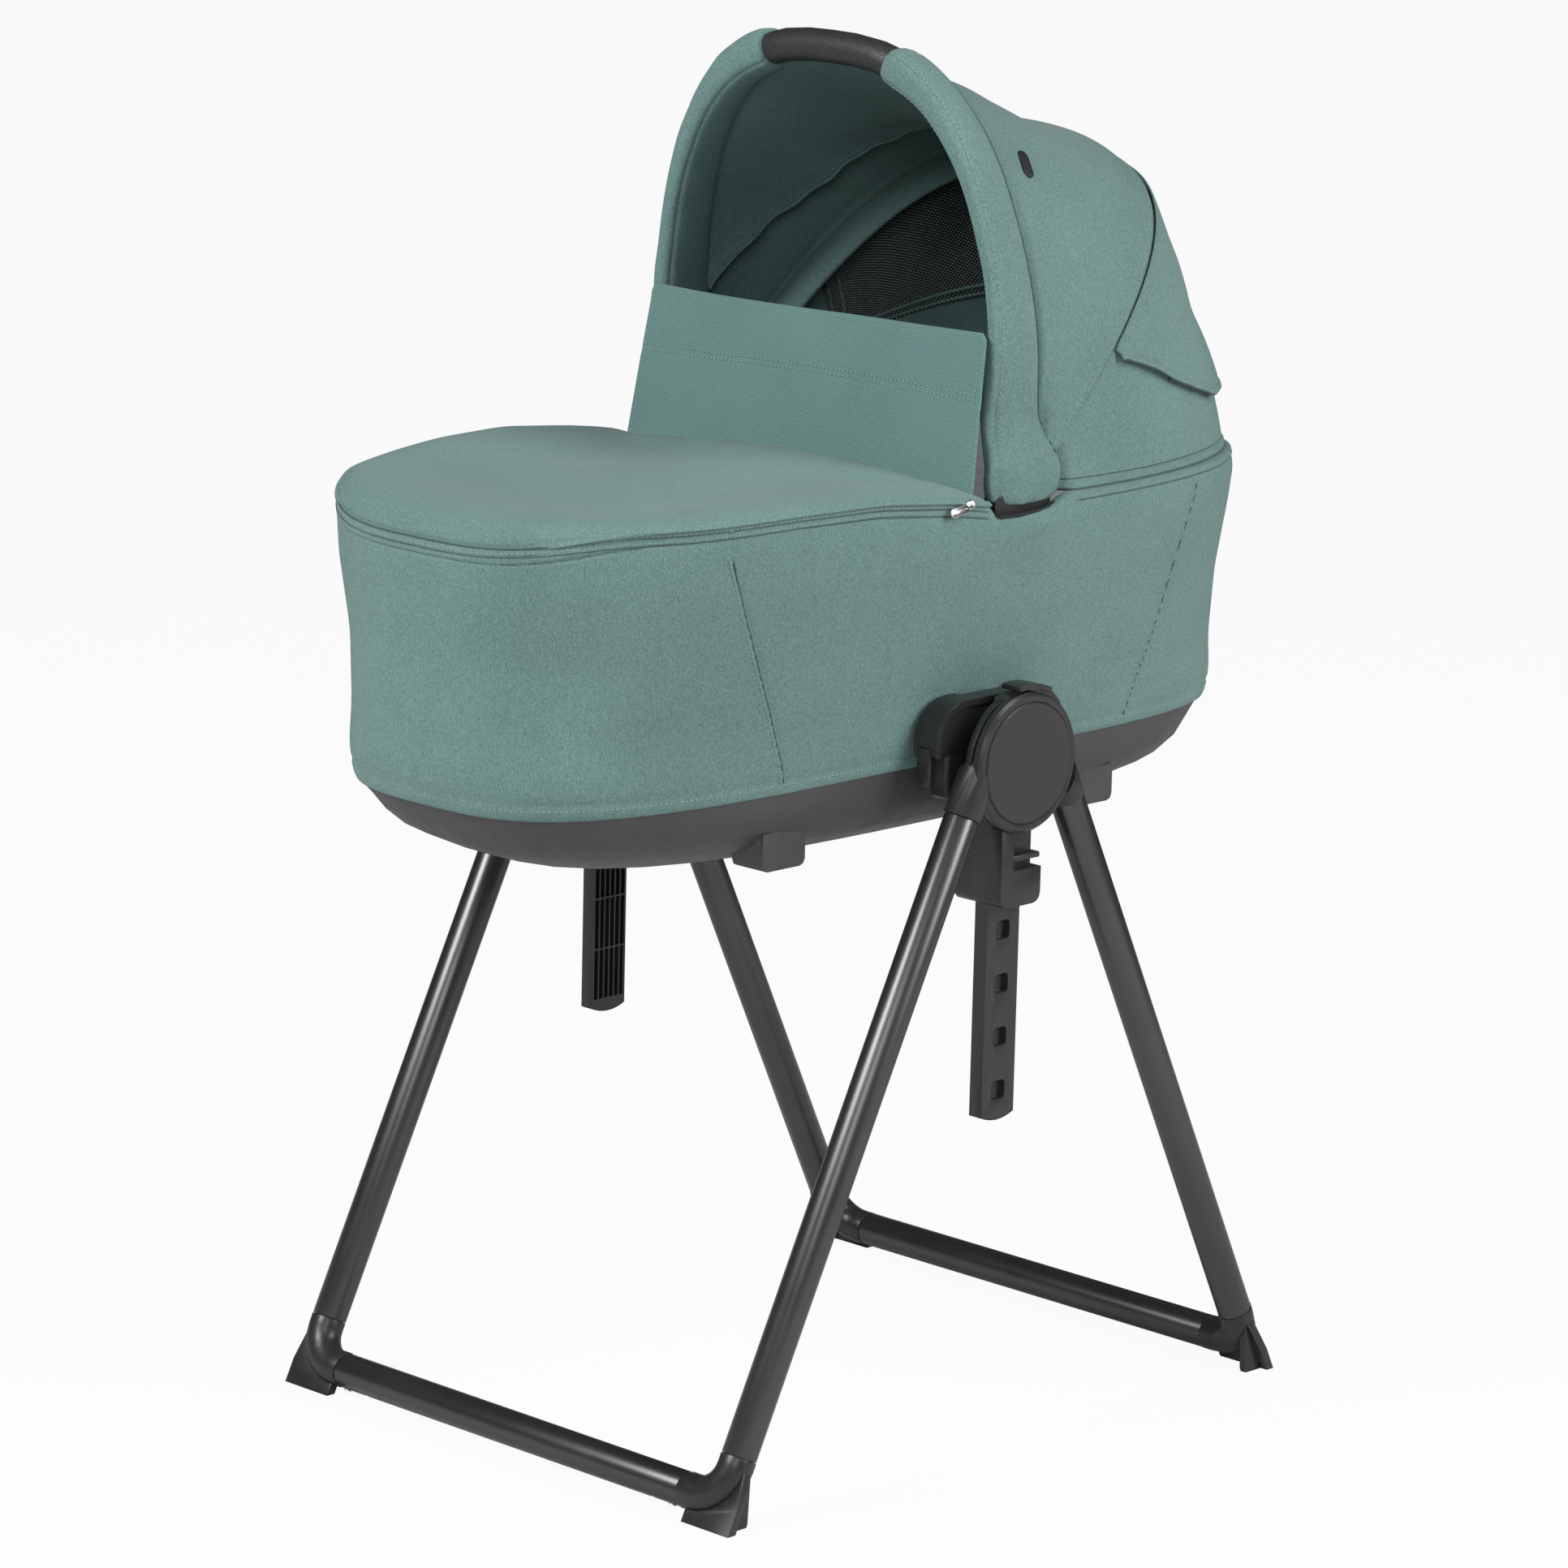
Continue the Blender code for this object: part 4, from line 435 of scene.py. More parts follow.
class Graph:
    """Node graph of one material, with short calls for the nodes that the finishes share."""

    def __init__(self, name: str) -> None:
        """Start a material of this name with a Principled shader."""
        self.material = bpy.data.materials.new(name)
        self.material.use_nodes = True
        self.nodes = self.material.node_tree.nodes
        self.links = self.material.node_tree.links
        self.shader = self.nodes["Principled BSDF"]
        self.place = self.nodes.new("ShaderNodeTexCoord").outputs["Object"]

    def join(self, source: Socket, target: Socket) -> None:
        """Link two sockets."""
        self.links.new(source, target)

    def stretched(self, scale: Spot, turn: Spot = (0, 0, 0)
                  ) -> Socket:
        """Object coordinates, turned and scaled.

        Args:
            scale: Scale along each axis.
            turn: Turn about each axis in radians.

        Returns:
            The vector socket.
        """
        node = self.nodes.new("ShaderNodeMapping")
        node.inputs["Scale"].default_value = scale
        node.inputs["Rotation"].default_value = turn
        self.join(self.place, node.inputs["Vector"])
        return node.outputs["Vector"]

    def noise(self, scale: float, detail: float = 2.0, place: Socket | None = None
              ) -> Socket:
        """Noise over the surface.

        Args:
            scale: Waves per metre.
            detail: How many finer layers it has.
            place: Coordinates other than the object's own.

        Returns:
            The noise value, about 0.5 on average.
        """
        node = self.nodes.new("ShaderNodeTexNoise")
        node.inputs["Scale"].default_value = scale
        node.inputs["Detail"].default_value = detail
        node.inputs["Roughness"].default_value = 0.55
        self.join(place or self.place, node.inputs["Vector"])
        return node.outputs["Fac"]

    def ribs(self, pitch: float, axis: Axis, uneven: float = 0.6, place: Socket | None = None
             ) -> Socket:
        """Even ribs across one axis.

        Args:
            pitch: Distance from rib to rib.
            axis: Axis that the ribs follow one another along.
            uneven: How much the ribs waver.
            place: Coordinates other than the object's own.

        Returns:
            The ribs' height, from 0 to 1.
        """
        node = self.nodes.new("ShaderNodeTexWave")
        node.wave_type = "BANDS"
        node.bands_direction = axis.name
        node.wave_profile = "SIN"
        node.inputs["Scale"].default_value = 2 * math.pi / (20 * pitch)
        node.inputs["Distortion"].default_value = uneven
        node.inputs["Detail"].default_value = 2.0
        node.inputs["Detail Scale"].default_value = 3.0
        self.join(place or self.place, node.inputs["Vector"])
        return node.outputs["Fac"]

    def cells(self, scale: float) -> Socket:
        """Distance to the nearest of many scattered points, for a pebbled grain."""
        node = self.nodes.new("ShaderNodeTexVoronoi")
        node.inputs["Scale"].default_value = scale
        self.join(self.place, node.inputs["Vector"])
        return node.outputs["Distance"]

    def fit(self, value: Socket, low: float, high: float, start: float = 0.0, end: float = 1.0
            ) -> Socket:
        """Stretch a value's range.

        Args:
            value: The value.
            low: Value that becomes start.
            high: Value that becomes end.
            start: Result at low.
            end: Result at high.

        Returns:
            The result, held between start and end.
        """
        node = self.nodes.new("ShaderNodeMapRange")
        node.inputs["From Min"].default_value = low
        node.inputs["From Max"].default_value = high
        node.inputs["To Min"].default_value = start
        node.inputs["To Max"].default_value = end
        self.join(value, node.inputs["Value"])
        return node.outputs["Result"]

    def maths(self, operation: str, first: Socket, second: Socket | float
              ) -> Socket:
        """Result of a Math node on a socket and a socket or number."""
        node = self.nodes.new("ShaderNodeMath")
        node.operation = operation
        self.join(first, node.inputs[0])
        if isinstance(second, (int, float)):
            node.inputs[1].default_value = second
        else:
            self.join(second, node.inputs[1])
        return node.outputs[0]

    def total(self, first: Socket, *others: Socket) -> Socket:
        """Sum of some values."""
        for other in others:
            first = self.maths("ADD", first, other)
        return first

    def blend(self, share: Socket, first: Colour | Socket,
              second: Colour | Socket) -> Socket:
        """Colour between two colours.

        Args:
            share: 0 for the first colour, 1 for the second.
            first: Colour or socket.
            second: Colour or socket.

        Returns:
            The colour socket.
        """
        node = self.nodes.new("ShaderNodeMix")
        node.data_type = "RGBA"
        self.join(share, node.inputs["Factor"])
        colours = [socket for socket in node.inputs if socket.type == "RGBA"]
        for socket, colour in zip(colours, (first, second)):
            if isinstance(colour, tuple):
                socket.default_value = (*colour, 1)
            else:
                self.join(colour, socket)
        return next(socket for socket in node.outputs if socket.type == "RGBA")

    def bump(self, height: Socket, distance: float, strength: float = 1.0,
             under: Socket | None = None) -> Socket:
        """Surface relief.

        Args:
            height: Height from 0 to 1.
            distance: Real height of the relief.
            strength: Share of it that shows.
            under: Relief that this one lies on.

        Returns:
            The normal socket.
        """
        node = self.nodes.new("ShaderNodeBump")
        node.inputs["Distance"].default_value = distance
        node.inputs["Strength"].default_value = strength
        self.join(height, node.inputs["Height"])
        if under is not None:
            self.join(under, node.inputs["Normal"])
        return node.outputs["Normal"]

    def finish(self, colour: Socket, roughness: Socket | float,
               normal: Socket | None = None, metallic: float = 0.0, sheen: float = 0.0
               ) -> Material:
        """Hand the results to the shader.

        Args:
            colour: Base colour.
            roughness: Roughness, a number or a socket.
            normal: Relief.
            metallic: Share of metal.
            sheen: Weight of the fuzz's sheen.

        Returns:
            The finished material.
        """
        inputs = self.shader.inputs
        self.join(colour, inputs["Base Color"])
        if isinstance(roughness, (int, float)):
            inputs["Roughness"].default_value = roughness
        else:
            self.join(roughness, inputs["Roughness"])
        if normal is not None:
            self.join(normal, inputs["Normal"])
        inputs["Metallic"].default_value = metallic
        inputs["Sheen Weight"].default_value = sheen
        inputs["Sheen Roughness"].default_value = 0.5
        return self.material


@dataclass(frozen=True)
class MelangeCloth:
    """Close-knit cloth of light and dark yarns."""

    name: str = "teal_melange_cloth"
    dark: Colour = (0.052, 0.108, 0.102)
    light: Colour = (0.178, 0.296, 0.280)
    yarn: float = 0.0012

    def material(self) -> Material:
        """Yarn speckle, faint knit columns, a slow unevenness and a little fuzz."""
        graph = Graph(self.name)
        speckle = graph.noise(1 / self.yarn, 3.0)
        flecks = graph.noise(0.8 / self.yarn, 2.0, graph.stretched((1, 1, 0.5)))
        slow = graph.noise(7, 2.0)
        share = graph.total(graph.fit(speckle, 0.30, 0.70, 0.0, 0.50), graph.fit(flecks, 0.3, 0.7, 0.0, 0.36),
                            graph.fit(slow, 0.3, 0.7, 0.0, 0.14))
        colour = graph.blend(share, self.dark, self.light)
        knit = graph.ribs(self.yarn * 1.2, Axis.Z, 3.0)
        relief = graph.bump(graph.total(speckle, graph.fit(knit, 0, 1, 0, 0.35)), 0.00022, 0.55)
        roughness = graph.fit(speckle, 0.3, 0.7, 0.84, 0.96)
        return graph.finish(colour, roughness, relief, sheen=0.08)


@dataclass(frozen=True)
class RibbedCloth:
    """Knitted cloth with fine ribs across the flap."""

    name: str = "teal_ribbed_cloth"
    dark: Colour = (0.066, 0.138, 0.131)
    light: Colour = (0.160, 0.282, 0.265)
    pitch: float = 0.0021

    def material(self) -> Material:
        """Ribs that follow the flap's lean, over a yarn speckle, with painted shade in the grooves between
        the ribs.
        """
        graph = Graph(self.name)
        place = graph.stretched((1, 1, 1), (0, -FLAP_LEAN, 0))
        ribs = graph.ribs(self.pitch, Axis.Z, 0.25, place)
        speckle = graph.noise(1100, 3.0)
        slow = graph.noise(9, 2.0)
        # The rib height also lightens the ribs' tops and darkens the grooves between them: painted shade.
        share = graph.total(graph.fit(ribs, 0, 1, 0.0, 0.34), graph.fit(speckle, 0.3, 0.7, 0.0, 0.50),
                            graph.fit(slow, 0.3, 0.7, 0.0, 0.12))
        relief = graph.bump(graph.fit(ribs, 0, 1, 0, 1), 0.00035, 0.5, graph.bump(speckle, 0.0002, 0.4))
        return graph.finish(graph.blend(share, self.dark, self.light), 0.9, relief, sheen=0.08)


@dataclass(frozen=True)
class Thread:
    """Sewing thread, and the dark cord laid in grooves and creases as painted shade."""

    name: str
    tone: Colour

    def material(self) -> Material:
        """Twisted thread with a slight shine."""
        graph = Graph(self.name)
        twist = graph.noise(2600, 1.0)
        deep = tuple(value * 0.7 for value in self.tone)
        colour = graph.blend(graph.fit(twist, 0.3, 0.7), deep, self.tone)
        return graph.finish(colour, 0.7, graph.bump(twist, 0.0001, 0.5), sheen=0.1)


@dataclass(frozen=True)
class SoftLining:
    """Pale brushed lining."""

    name: str = "pale_brushed_lining"
    dark: Colour = (0.42, 0.43, 0.45)
    light: Colour = (0.66, 0.67, 0.69)

    def material(self) -> Material:
        """Brushed cotton with a fine nap."""
        graph = Graph(self.name)
        nap = graph.noise(900, 3.0)
        slow = graph.noise(14, 2.0)
        share = graph.total(graph.fit(nap, 0.3, 0.7, 0.1, 0.7), graph.fit(slow, 0.3, 0.7, 0.0, 0.25))
        colour = graph.blend(share, self.dark, self.light)
        return graph.finish(colour, 0.92, graph.bump(nap, 0.0003, 0.5), sheen=0.3)


@dataclass(frozen=True)
class NetCloth:
    """Ventilation net: black cords round rows of small holes."""

    name: str = "black_vent_net"
    cord: Colour = (0.010, 0.013, 0.013)
    hole: Colour = (0.420, 0.520, 0.500)
    pitch: float = 0.0040

    def material(self) -> Material:
        """Offset rows of holes, laid out by the panel's own map."""
        graph = Graph(self.name)
        surface = graph.nodes.new("ShaderNodeUVMap")
        surface.uv_map = "cloth"
        parts = graph.nodes.new("ShaderNodeSeparateXYZ")
        graph.join(surface.outputs["UV"], parts.inputs["Vector"])
        waves = []
        for name in ("X", "Y"):
            turned = graph.maths("MULTIPLY", parts.outputs[name], 2 * math.pi / self.pitch)
            waves.append(graph.maths("SINE", turned, 0.0))
        product = graph.maths("MULTIPLY", waves[0], waves[1])
        holes = graph.fit(product, 0.34, 0.60)
        colour = graph.blend(holes, self.cord, self.hole)
        relief = graph.bump(graph.maths("SUBTRACT", graph.fit(product, -1, 1), holes), 0.0003, 0.7)
        return graph.finish(colour, 0.6, relief, sheen=0.05)


@dataclass(frozen=True)
class MouldedPlastic:
    """Moulded plastic with a fine spark-eroded grain."""

    name: str
    tone: Colour
    roughness: float = 0.46
    grain: float = 1500.0
    depth: float = 0.00006

    def material(self) -> Material:
        """Grain, small changes in gloss and a trace of handling wear."""
        graph = Graph(self.name)
        grain = graph.noise(self.grain, 3.0)
        patches = graph.noise(16, 4.0)
        rub = graph.noise(70, 5.0)
        pale = tuple(min(1.0, value * 1.28) for value in self.tone)
        colour = graph.blend(graph.fit(patches, 0.35, 0.7), self.tone, pale)
        gloss = graph.total(graph.fit(patches, 0.3, 0.7, -0.05, 0.05),
                            graph.fit(rub, 0.35, 0.75, -0.05, 0.05))
        roughness = graph.maths("ADD", gloss, self.roughness)
        return graph.finish(colour, roughness, graph.bump(grain, self.depth, 0.8))


@dataclass(frozen=True)
class CoatedTube:
    """Powder-coated steel tube."""

    name: str = "anthracite_powder_coat"
    tone: Colour = (0.085, 0.085, 0.087)
    light: Colour = (0.130, 0.130, 0.132)

    def material(self) -> Material:
        """Satin coat with fine orange peel and metal flake."""
        graph = Graph(self.name)
        peel = graph.noise(420, 2.0)
        flake = graph.noise(2600, 1.0)
        slow = graph.noise(10, 3.0)
        share = graph.total(graph.fit(flake, 0.5, 0.8, 0.0, 0.5), graph.fit(slow, 0.3, 0.7, 0.0, 0.3))
        roughness = graph.fit(slow, 0.3, 0.7, 0.30, 0.36)
        colour = graph.blend(share, self.tone, self.light)
        return graph.finish(colour, roughness, graph.bump(peel, 0.00005, 0.5), metallic=0.85)


@dataclass(frozen=True)
class BareMetal:
    """Plated metal of the rivets and the zip slider."""

    name: str
    tone: Colour
    roughness: float

    def material(self) -> Material:
        """Fine brush marks and slight tarnish."""
        graph = Graph(self.name)
        marks = graph.noise(900, 2.0, graph.stretched((1, 1, 0.1)))
        tarnish = graph.noise(120, 3.0)
        deep = tuple(value * 0.75 for value in self.tone)
        colour = graph.blend(graph.fit(tarnish, 0.35, 0.75), self.tone, deep)
        roughness = graph.fit(marks, 0.3, 0.7, self.roughness, self.roughness + 0.12)
        return graph.finish(colour, roughness, graph.bump(marks, 0.00003, 0.5), metallic=1.0)


@dataclass(frozen=True)
class Leatherette:
    """Coated cloth with an embossed leather grain."""

    name: str = "black_leatherette"
    tone: Colour = (0.018, 0.018, 0.019)
    light: Colour = (0.040, 0.040, 0.042)

    def material(self) -> Material:
        """Pebbled grain with smoother high spots, painted lighter, and painted shade in the hollows between
        them.
        """
        graph = Graph(self.name)
        pebbles = graph.cells(620)
        fine = graph.noise(1500, 2.0)
        # High spots painted lighter and hollows darker: painted shade in the grain.
        colour = graph.blend(graph.fit(pebbles, 0.1, 0.6), self.light, self.tone)
        roughness = graph.fit(pebbles, 0.1, 0.7, 0.42, 0.60)
        relief = graph.bump(graph.maths("SUBTRACT", graph.fit(fine, 0, 1, 0, 0.4), pebbles), 0.00018, 0.6)
        return graph.finish(colour, roughness, relief)


class Finishes:
    """Every material of the object, made once."""

    def __init__(self) -> None:
        """Make the materials."""
        self.cloth = MelangeCloth().material()
        self.ribbed = RibbedCloth().material()
        self.thread = Thread("teal_thread", (0.30, 0.41, 0.39)).material()
        # Dark cord laid in grooves, creases, joins and under edges as painted shade, and along the zip's
        # coil.
        self.dark_thread = Thread("deep_teal_thread", (0.050, 0.095, 0.092)).material()
        self.lining = SoftLining().material()
        self.net = NetCloth().material()
        self.black = MouldedPlastic("black_moulding", (0.020, 0.020, 0.021), 0.36).material()
        self.cap = MouldedPlastic("black_cap_moulding", (0.024, 0.024, 0.025), 0.44, 1100, 0.00008).material()
        self.grey = MouldedPlastic("grey_tub_moulding", (0.046, 0.046, 0.046), 0.52, 1000, 0.00009).material()
        self.tag = MouldedPlastic("black_rubber_tag", (0.010, 0.010, 0.011), 0.6).material()
        self.tube = CoatedTube().material()
        self.steel = BareMetal("zinc_plate", (0.52, 0.52, 0.53), 0.3).material()
        self.chrome = BareMetal("bright_nickel", (0.78, 0.77, 0.75), 0.14).material()
        self.leather = Leatherette().material()


@dataclass(frozen=True)
class Groove:
    """Groove or ridge along a line in cloth."""

    depth: float
    width: float
    place: float = 0.0

    def at(self, distance: float) -> float:
        """Depth at a distance from the line that the place is measured from."""
        return self.depth * hump(distance - self.place, self.width)


@dataclass(frozen=True)
class CotPlan:
    """Shape of the cot's wall: a rounded plan that changes from the rim to the hem."""

    power: float = 3.0
    rim_top: float = 0.808
    hem: float = 0.5905
    drop_top: float = 0.640
    drop_foot: float = 0.014
    drop_head: float = 0.008
    levels: Table = (
        (0.5905, 0.4295, 0.2020), (0.608, 0.4345, 0.2042), (0.640, 0.4310, 0.2052), (0.700, 0.4300, 0.2130),
        (0.765, 0.4375, 0.2245), (0.795, 0.4385, 0.2285), (0.808, 0.4325, 0.2255))

    def halves(self, z: float) -> tuple[float, float]:
        """Half length and half width of the wall at a height, with rounded changes between levels."""
        reach = 0.009
        return smooth_table(self.levels, z, reach), smooth_table(self.levels, z, reach, 2)

    def corner(self, angle: float) -> tuple[float, float]:
        """Plan point of a unit superellipse at an angle."""
        power = 2 / self.power
        return signed_power(math.cos(angle), power), signed_power(math.sin(angle), power)

    def drop(self, x: float, z: float) -> float:
        """How far a wall point is lowered towards the ends."""
        depth = self.drop_foot if x < 0 else self.drop_head
        weight = max(0.0, min(1.0, (self.drop_top - z) / (self.drop_top - self.hem)))
        return depth * weight * (x / 0.4325) ** 2

    def even_angles(self, count: int) -> list[float]:
        """Angles of points spaced evenly round the rim, from the head end by the left side."""
        length, width = self.halves(0.80)
        fine = np.linspace(0, 2 * math.pi, 6001)
        corners = np.array([self.corner(angle) for angle in fine]) * (length, width)
        lengths = distances(corners)
        return list(np.interp(np.linspace(0, lengths[-1], count, endpoint=False), lengths, fine))

    def ring(self, z: float, angles: list[float], inset: float = 0.0) -> Array:
        """Ring of wall points at a height, lowered towards the ends."""
        length, width = self.halves(z)
        points = []
        for angle in angles:
            across, along = self.corner(angle)
            x = across * (length - inset)
            y = along * (width - inset)
            points.append((x, y, z - self.drop(x, z)))
        return np.array(points)

    def side_y(self, x: float, z: float, inset: float = 0.0) -> float:
        """Half width of the wall at a place along the cot."""
        length, width = self.halves(z)
        share = min(1.0, abs(x) / (length - inset))
        return (width - inset) * (1 - share ** self.power) ** (1 / self.power)


@dataclass
class SideCover:
    """Fabric wall of the cot with its upper tape, its seams and its rolled hem."""

    plan: CotPlan
    thick: float = 0.0028
    columns: int = 640
    adapter_x: tuple[float, float] = (-0.0232, 0.0392)
    adapter_top: float = 0.6235
    hinge_dip: Table = (
        (-0.006, 0.0), (-0.001, 0.0035), (0.005, 0.0118), (0.012, 0.0143), (0.036, 0.0150), (0.060, 0.0133),
        (0.076, 0.0112), (0.086, 0.0068), (0.094, 0.0022), (0.104, 0.0))
    zip_rise: Table = (
        (-0.44, 0.0), (-0.42, 0.0060), (-0.39, 0.0100), (-0.304, 0.0120), (-0.213, 0.0160), (-0.131, 0.0162),
        (-0.047, 0.0080), (-0.012, 0.0020), (0.004, 0.0), (0.10, 0.0))
    tape: float = 0.0125
    sunk: float = 0.0011
    seam_groove: Groove = Groove(0.0017, 0.0015)
    seam_ridges: tuple[Groove, ...] = (Groove(0.0006, 0.004, 0.005), Groove(0.0008, 0.003, -0.0035))
    tape_step: float = 0.0011
    tape_groove: Groove = Groove(0.0012, 0.0011)
    hem_groove: Groove = Groove(0.0011, 0.0016, 0.6020)
    tug: tuple[float, float] = (0.008, 0.645)
    seam_front: Table = (
        (-0.2040, 0.592), (-0.2211, 0.644), (-0.2450, 0.701), (-0.2699, 0.758), (-0.2856, 0.802))
    seam_back: Table = (
        (0.2022, 0.596), (0.2215, 0.625), (0.2445, 0.672), (0.2593, 0.721), (0.2692, 0.763), (0.2844, 0.799))
    wrap_over: Table = (
        (0.8020, 0.0175), (0.8062, 0.0150), (0.8082, 0.0105), (0.8088, 0.0060), (0.8084, 0.0025))
    levels: list[tuple[float, float]] = field(default_factory=list)

    def __post_init__(self) -> None:
        """Rows over the rim tube and down to the hem, closer together near the two borders."""
        top = np.linspace(self.plan.rim_top - 0.0012, 0.780, 26)
        middle = np.linspace(0.777, 0.606, 48)
        low = np.linspace(0.603, self.plan.hem + 0.0006, 8)
        self.levels = list(self.wrap_over)
        self.levels += [(float(z), 0.0) for z in np.concatenate([top, middle, low])]

    def seam_x(self, z: float, back: bool) -> float:
        """Place of a seam along the cot at a height."""
        return smooth_table(self.seam_back if back else self.seam_front, z, 0.02, column=0, key=1)

    def rim_line(self, x: float) -> float:
        """Height of the apron's seam, which sinks round the foot end."""
        end = ease((-0.345 - x) / 0.09)
        return 0.8095 - 0.0115 * float(end) + self.lift(x)

    def lift(self, x: float) -> float:
        """How far the foot half's upper edge stands above the plain rim, where the zip pulls it up."""
        return max(0.0, smooth_table(self.zip_rise, x, 0.012))

    def relief(self, x: float, y: float, z: float) -> float:
        """How far the cloth stands out of its plain shape here."""
        result = 0.0
        for back in (False, True):
            gap = x - self.seam_x(z, back)
            result -= self.seam_groove.at(gap) * ease((z - 0.592) / 0.012)
            for ridge in self.seam_ridges:
                result += ridge.at(gap)
        line = self.tape_line(x)
        above = z - line + 0.0004
        beside_hinge = 1 - ease((x + 0.010) / 0.008) * (1 - ease((x - 0.094) / 0.010))
        result += self.tape_step * ease(above / 0.0016) * beside_hinge
        result -= self.tape_groove.at(above) * beside_hinge
        body = ease((line - 0.006 - z) / 0.02) * ease((z - 0.600) / 0.02)
        result += 0.0007 * ripple((x, y, z), 0.135) * body
        pull = hump(x - self.tug[0], 0.055) * hump(z - self.tug[1], 0.022)
        result += 0.0009 * math.sin((x - self.tug[0]) * 150) * pull
        result -= self.hem_groove.at(z)
        return result

    def tape_line(self, x: float) -> float:
        """Height of the upper tape's lower edge."""
        if x > 0.10:
            return 0.8010
        return self.rim_line(x) - self.tape

    def top_drop(self, x: float) -> float:
        """How far the upper edge dips for the hinge of the bows."""
        return smooth_table(self.hinge_dip, x, 0.002)

    def grid(self, angles: list[float]) -> Array:
        """Outer face of the cloth, one row per height."""
        rows = []
        for z, inset in self.levels:
            ring = self.plan.ring(z, angles, inset)
            normal = self._outward(ring)
            for index, (x, y, low) in enumerate(ring):
                dip = self.top_drop(x)
                if dip > 0:
                    share = min(1.0, (z - self.plan.hem) / (self.plan.rim_top - self.plan.hem))
                    low -= dip * max(0.0, (share - 0.7) / 0.3) ** 1.6
                rise = self.lift(x) * ease((z - 0.760) / 0.040)
                low += rise
                out = self.relief(x, y, z + rise) - self.sunk if inset == 0 else 0.0
                out -= 0.0014 * ease((self.plan.hem + 0.0045 - z) / 0.0045)
                ring[index] = (x + normal[index, 0] * out, y + normal[index, 1] * out, low)
            rows.append(ring)
        return np.array(rows)

    @staticmethod
    def _outward(ring: Array) -> Array:
        """Level normals of a closed ring, pointing out."""
        along = np.roll(ring, -1, axis=0) - np.roll(ring, 1, axis=0)
        normal = np.stack([along[:, 1], -along[:, 0], np.zeros(len(ring))], axis=1)
        return normal / np.linalg.norm(normal, axis=1, keepdims=True)

    def _open(self, grid: Array) -> Callable[[int, int], bool]:
        """Test that leaves out the cells over the adapters."""
        middle_x = (grid[:-1, :, 0] + np.roll(grid[:-1, :, 0], -1, axis=1)) / 2
        middle_z = (grid[:-1, :, 2] + grid[1:, :, 2]) / 2
        low, high = self.adapter_x
        gone = (middle_x > low - 0.0015) & (middle_x < high + 0.0015) & (middle_z < self.adapter_top)
        return lambda row, column: not gone[row, column]

    def _row_at(self, grid: Array, normals: Array, place: Callable[[float], bool],
                z_of: Callable[[float], float]) -> list[tuple[Array, Array]]:
        """Runs of points on the cloth at a height that changes along the cot.

        Args:
            grid: Outer face.
            normals: Its normals.
            place: Tells whether a point at x belongs to the row.
            z_of: Height of the row at x.

        Returns:
            Points and normals of each unbroken run.
        """
        runs = []
        points: list[Array] = []
        facing: list[Array] = []
        columns = grid.shape[1]
        for column in range(columns + 1):
            if column < columns and place(grid[0, column, 0]):
                order = np.argsort(grid[:, column, 2])
                heights = grid[order, column, 2]
                target = z_of(grid[0, column, 0])
                points.append(read_path(target, heights, grid[order, column]))
                facing.append(read_path(target, heights, normals[order, column]))
                continue
            if len(points) > 4:
                runs.append((np.array(points), np.array(facing)))
            points, facing = [], []
        return runs

    def _zip_row(self, grid: Array, normals: Array, rise: float) -> list[tuple[Array, Array]]:
        """Runs of points at a height above the upper tape's lower edge, clear of the bow's hinges."""
        foot, head = self.hinge_dip[0][0], self.hinge_dip[-1][0]
        return self._row_at(grid, normals, lambda x: x < foot or x > head, lambda x: self.tape_line(x) + rise)

    def _seam_path(self, back: bool, side: Side, aside: float) -> tuple[Array, Array]:
        """Points and normals beside a seam of one side."""
        points = []
        facing = []
        step = 0.004
        side_y = self.plan.side_y
        for z in np.linspace(0.600, 0.7935, 60).tolist():
            x = self.seam_x(z, back) + aside
            y = side_y(x, z) + self.relief(x, side.value * 0.2, z) - self.sunk
            points.append((x, side.value * y, z - self.plan.drop(x, z)))
            lean = (side_y(x, z + step) - side_y(x, z - step)) / (2 * step)
            slope = (side_y(x + step, z) - side_y(x - step, z)) / (2 * step)
            facing.append(unit(np.array([-slope, side.value, -lean])))
        return np.array(points), np.array(facing)

    def build(self, finishes: Finishes) -> Piece:
        """Sew the cover and dress it."""
        piece = Sewn("side_cover_cloth")
        angles = self.plan.even_angles(self.columns)
        grid = self.grid(angles)
        normals = piece.shell(grid, self.thick, finishes.cloth, wrap=True, keep=self._open(grid))
        for side in Side:
            for back in (False, True):
                path, facing = self._seam_path(back, side, -0.0042)
                piece.stitches(path, facing, finishes.thread, 0.0026, 0.0042, 0.00042)
                # Dark cord laid in the seam's groove: painted shade.
                groove, facing = self._seam_path(back, side, 0.0)
                piece.cord(groove + facing * 0.0007, 0.0007, finishes.dark_thread, sides=5)
        low, high = self.adapter_x
        hem = self.plan.hem
        for points, facing in self._row_at(grid, normals, lambda x: not low - 0.004 < x < high + 0.004,
                                           lambda x: hem + 0.0085 - self.plan.drop(x, hem)):
            piece.stitches(points, facing, finishes.thread)
        for points, facing in self._zip_row(grid, normals, 0.0062):
            path = resample(points + facing * 0.0004, len(points))
            piece.cord(path, 0.0009, finishes.dark_thread, sides=6)
        for points, facing in self._zip_row(grid, normals, 0.0022):
            piece.stitches(points, facing, finishes.thread, 0.0026, 0.0044, 0.0003)
        # Dark cord laid in the groove under the tape's lower edge: painted shade.
        for points, facing in self._zip_row(grid, normals, -0.0004):
            path = resample(points + facing * 0.0001, len(points))
            piece.cord(path, 0.00055, finishes.dark_thread, sides=5)
        cover = piece.build()
        dress(cover, "side_cover", "cot")
        declare_sheet(cover, grid, wrap=True)
        return cover


